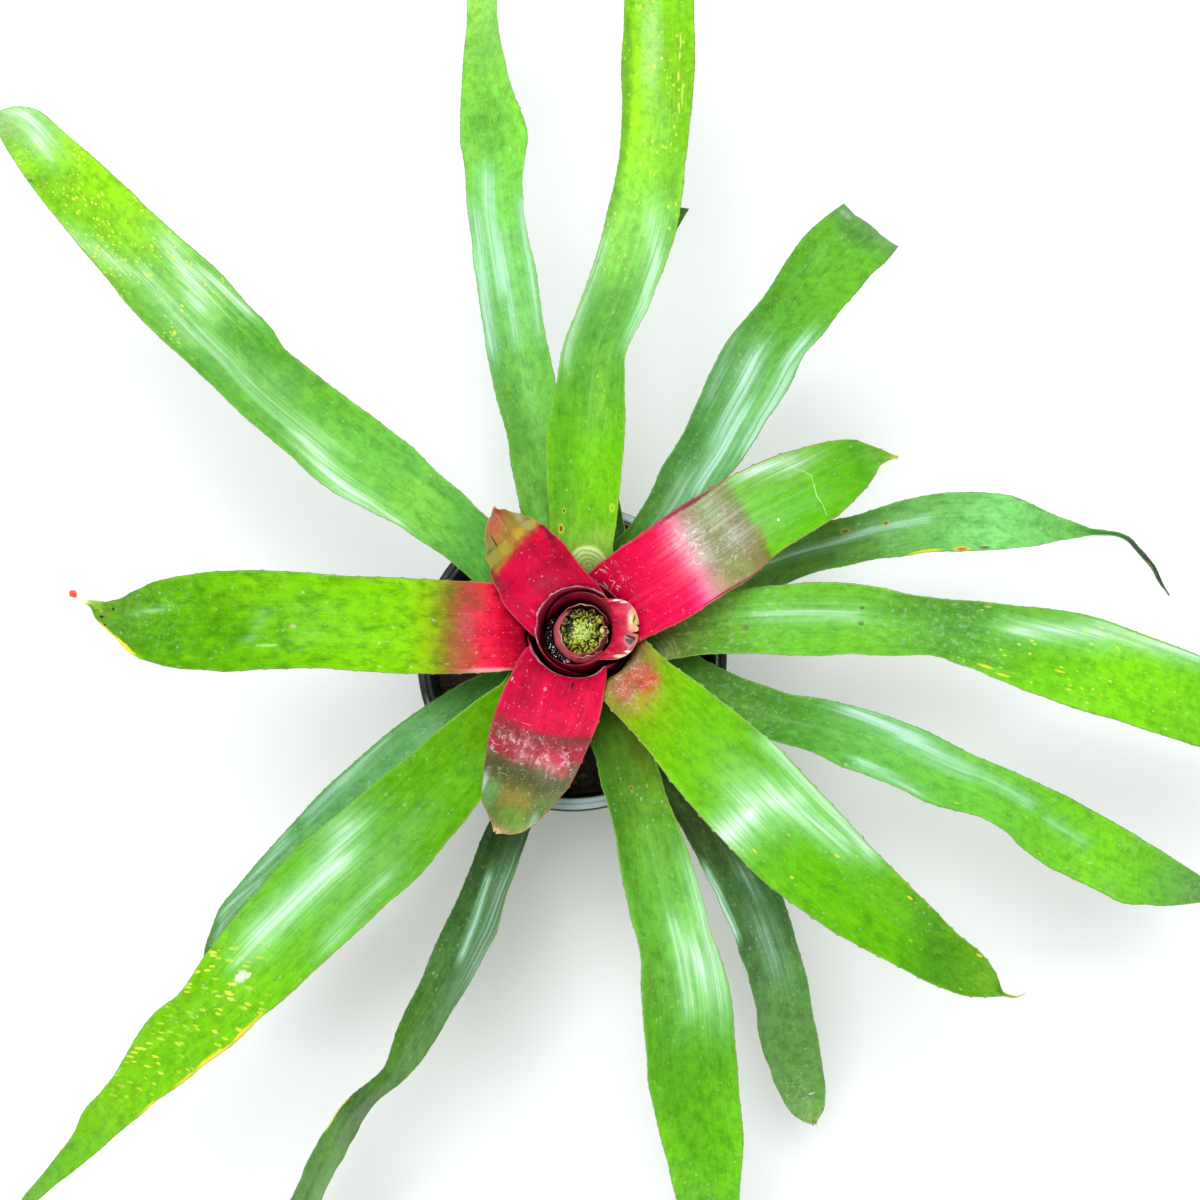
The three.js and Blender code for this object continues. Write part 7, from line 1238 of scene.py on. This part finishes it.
for i in range(330):
    t = rng.uniform(0.02, 0.98); a = math.radians(lerp(150, 258, t)); w = 1.45 * (0.35 + 0.65 * math.sin(math.pi * t))
    r = 13.9 + rng.uniform(-w, w); hgt = 186.0 - 2.4 * (1 - math.sin(math.pi * t))
    size = rng.uniform(0.22, 0.58) * np.array([1, rng.uniform(0.7, 1), rng.uniform(0.6, 0.9)])
    v, f = shapes[rng.integers(len(shapes))]
    # about one crumb in nine is white: painted glints, standing in for light sparkling on the wet crumbs
    tone = 2.0 if rng.random() < 0.11 else rng.uniform(0, 1)
    if tone > 1.5:
        size = np.array([0.40, 0.36, 0.30])
    v = (v * size) @ turn_matrix(rng, 1.0).T + np.array([4.4 + r * math.cos(a), 2.1 + r * math.sin(a), hgt - 0.4 + rng.uniform(0, 0.7)])
    pile.add(v, f, tone)
litter = pile.make("cup_litter_fine")
k = Nodes("wet_litter")
oc = k.object_coords(); tone = k.attr("tone")
n1 = k.noise(k.scaled(oc, (1500, 1500, 1500)), detail=3)
col = k.ramp(k.math("ADD", k.math("MULTIPLY", tone, 0.6), k.math("MULTIPLY", n1, 0.3)), [(0.1, (6, 6, 7)), (0.5, (16, 14, 16)), (0.9, (40, 36, 36))])
# the painted glint crumbs are white
col = k.mix(k.span(tone, 1.3, 1.6), col, (252, 252, 252))
k.put(k.bsdf.inputs["Base Color"], col); k.put(k.bsdf.inputs["Roughness"], k.span(n1, 0.3, 0.7, 0.10, 0.26))
k.bsdf.inputs["Coat Weight"].default_value = 0.6
k.put(k.bsdf.inputs["Normal"], k.bump(n1, 0.0003, 0.4))
finish_piece(litter, "cup_litter", k.mat)

# ------------------------------------------------------------------ stage, light and camera
fm = Nodes("floor_paint")
oc = fm.object_coords()
nz = fm.noise(fm.scaled(oc, (3, 3, 3)), detail=2)
fm.put(fm.bsdf.inputs["Base Color"], fm.ramp(nz, [(0.3, (247, 247, 248)), (0.7, (250, 250, 250))]))
fm.bsdf.inputs["Roughness"].default_value = 0.9
fm.bsdf.inputs["Specular IOR Level"].default_value = 0.1
me = bpy.data.meshes.new("floor"); s = 9.0
me.from_pydata([(-s, -s, 0), (s, -s, 0), (s, s, 0), (-s, s, 0)], [], [(0, 1, 2, 3)])
floor = bpy.data.objects.new("floor", me); bpy.context.scene.collection.objects.link(floor)
floor.data.materials.append(fm.mat)


def area(name, where, size, power, colour=(1, 1, 1), target=(0, 0, 0.2), shape="RECTANGLE", size_y=None, spread=None):
    li = bpy.data.lights.new(name, "AREA"); li.shape = shape; li.size = size
    if size_y is not None:
        li.size_y = size_y
    elif shape in ("RECTANGLE", "ELLIPSE"):
        li.size_y = size
    li.energy = power; li.color = colour
    if spread is not None:
        li.spread = math.radians(spread)
    ob = bpy.data.objects.new(name, li); bpy.context.scene.collection.objects.link(ob)
    ob.location = where
    ob.rotation_euler = (Vector(where) - Vector(target)).to_track_quat("Z", "Y").to_euler()
    ob.visible_camera = False
    return ob


def overhead(name, azimuth, zenith, distance, size, power, colour):
    a, z = math.radians(azimuth), math.radians(zenith)
    where = (distance * math.sin(z) * math.cos(a), distance * math.sin(z) * math.sin(a), 0.2 + distance * math.cos(z))
    return area(name, where, size, power, colour, shape="DISK")


overhead("roof", 120, 12, 2.2, 1.1, 40, (0.93, 0.98, 1.0))
overhead("side", -50, 42, 2.4, 1.0, 6, (1.0, 0.99, 0.97))

world = bpy.data.worlds.new("studio"); bpy.context.scene.world = world
world.use_nodes = True
world.node_tree.nodes["Background"].inputs[0].default_value = (1.0, 1.0, 1.0, 1.0)
world.node_tree.nodes["Background"].inputs[1].default_value = 0.58

cam_data = bpy.data.cameras.new("camera"); cam_data.lens = 40.0; cam_data.sensor_width = 36.0
cam = bpy.data.objects.new("camera", cam_data); bpy.context.scene.collection.objects.link(cam)
cam.location = (0.013818, -0.0877734, 0.7826739); cam.rotation_euler = (math.radians(10), 0, 0)
bpy.context.scene.camera = cam
bpy.context.scene.view_settings.view_transform = "Standard"
bpy.context.scene.view_settings.look = "None"
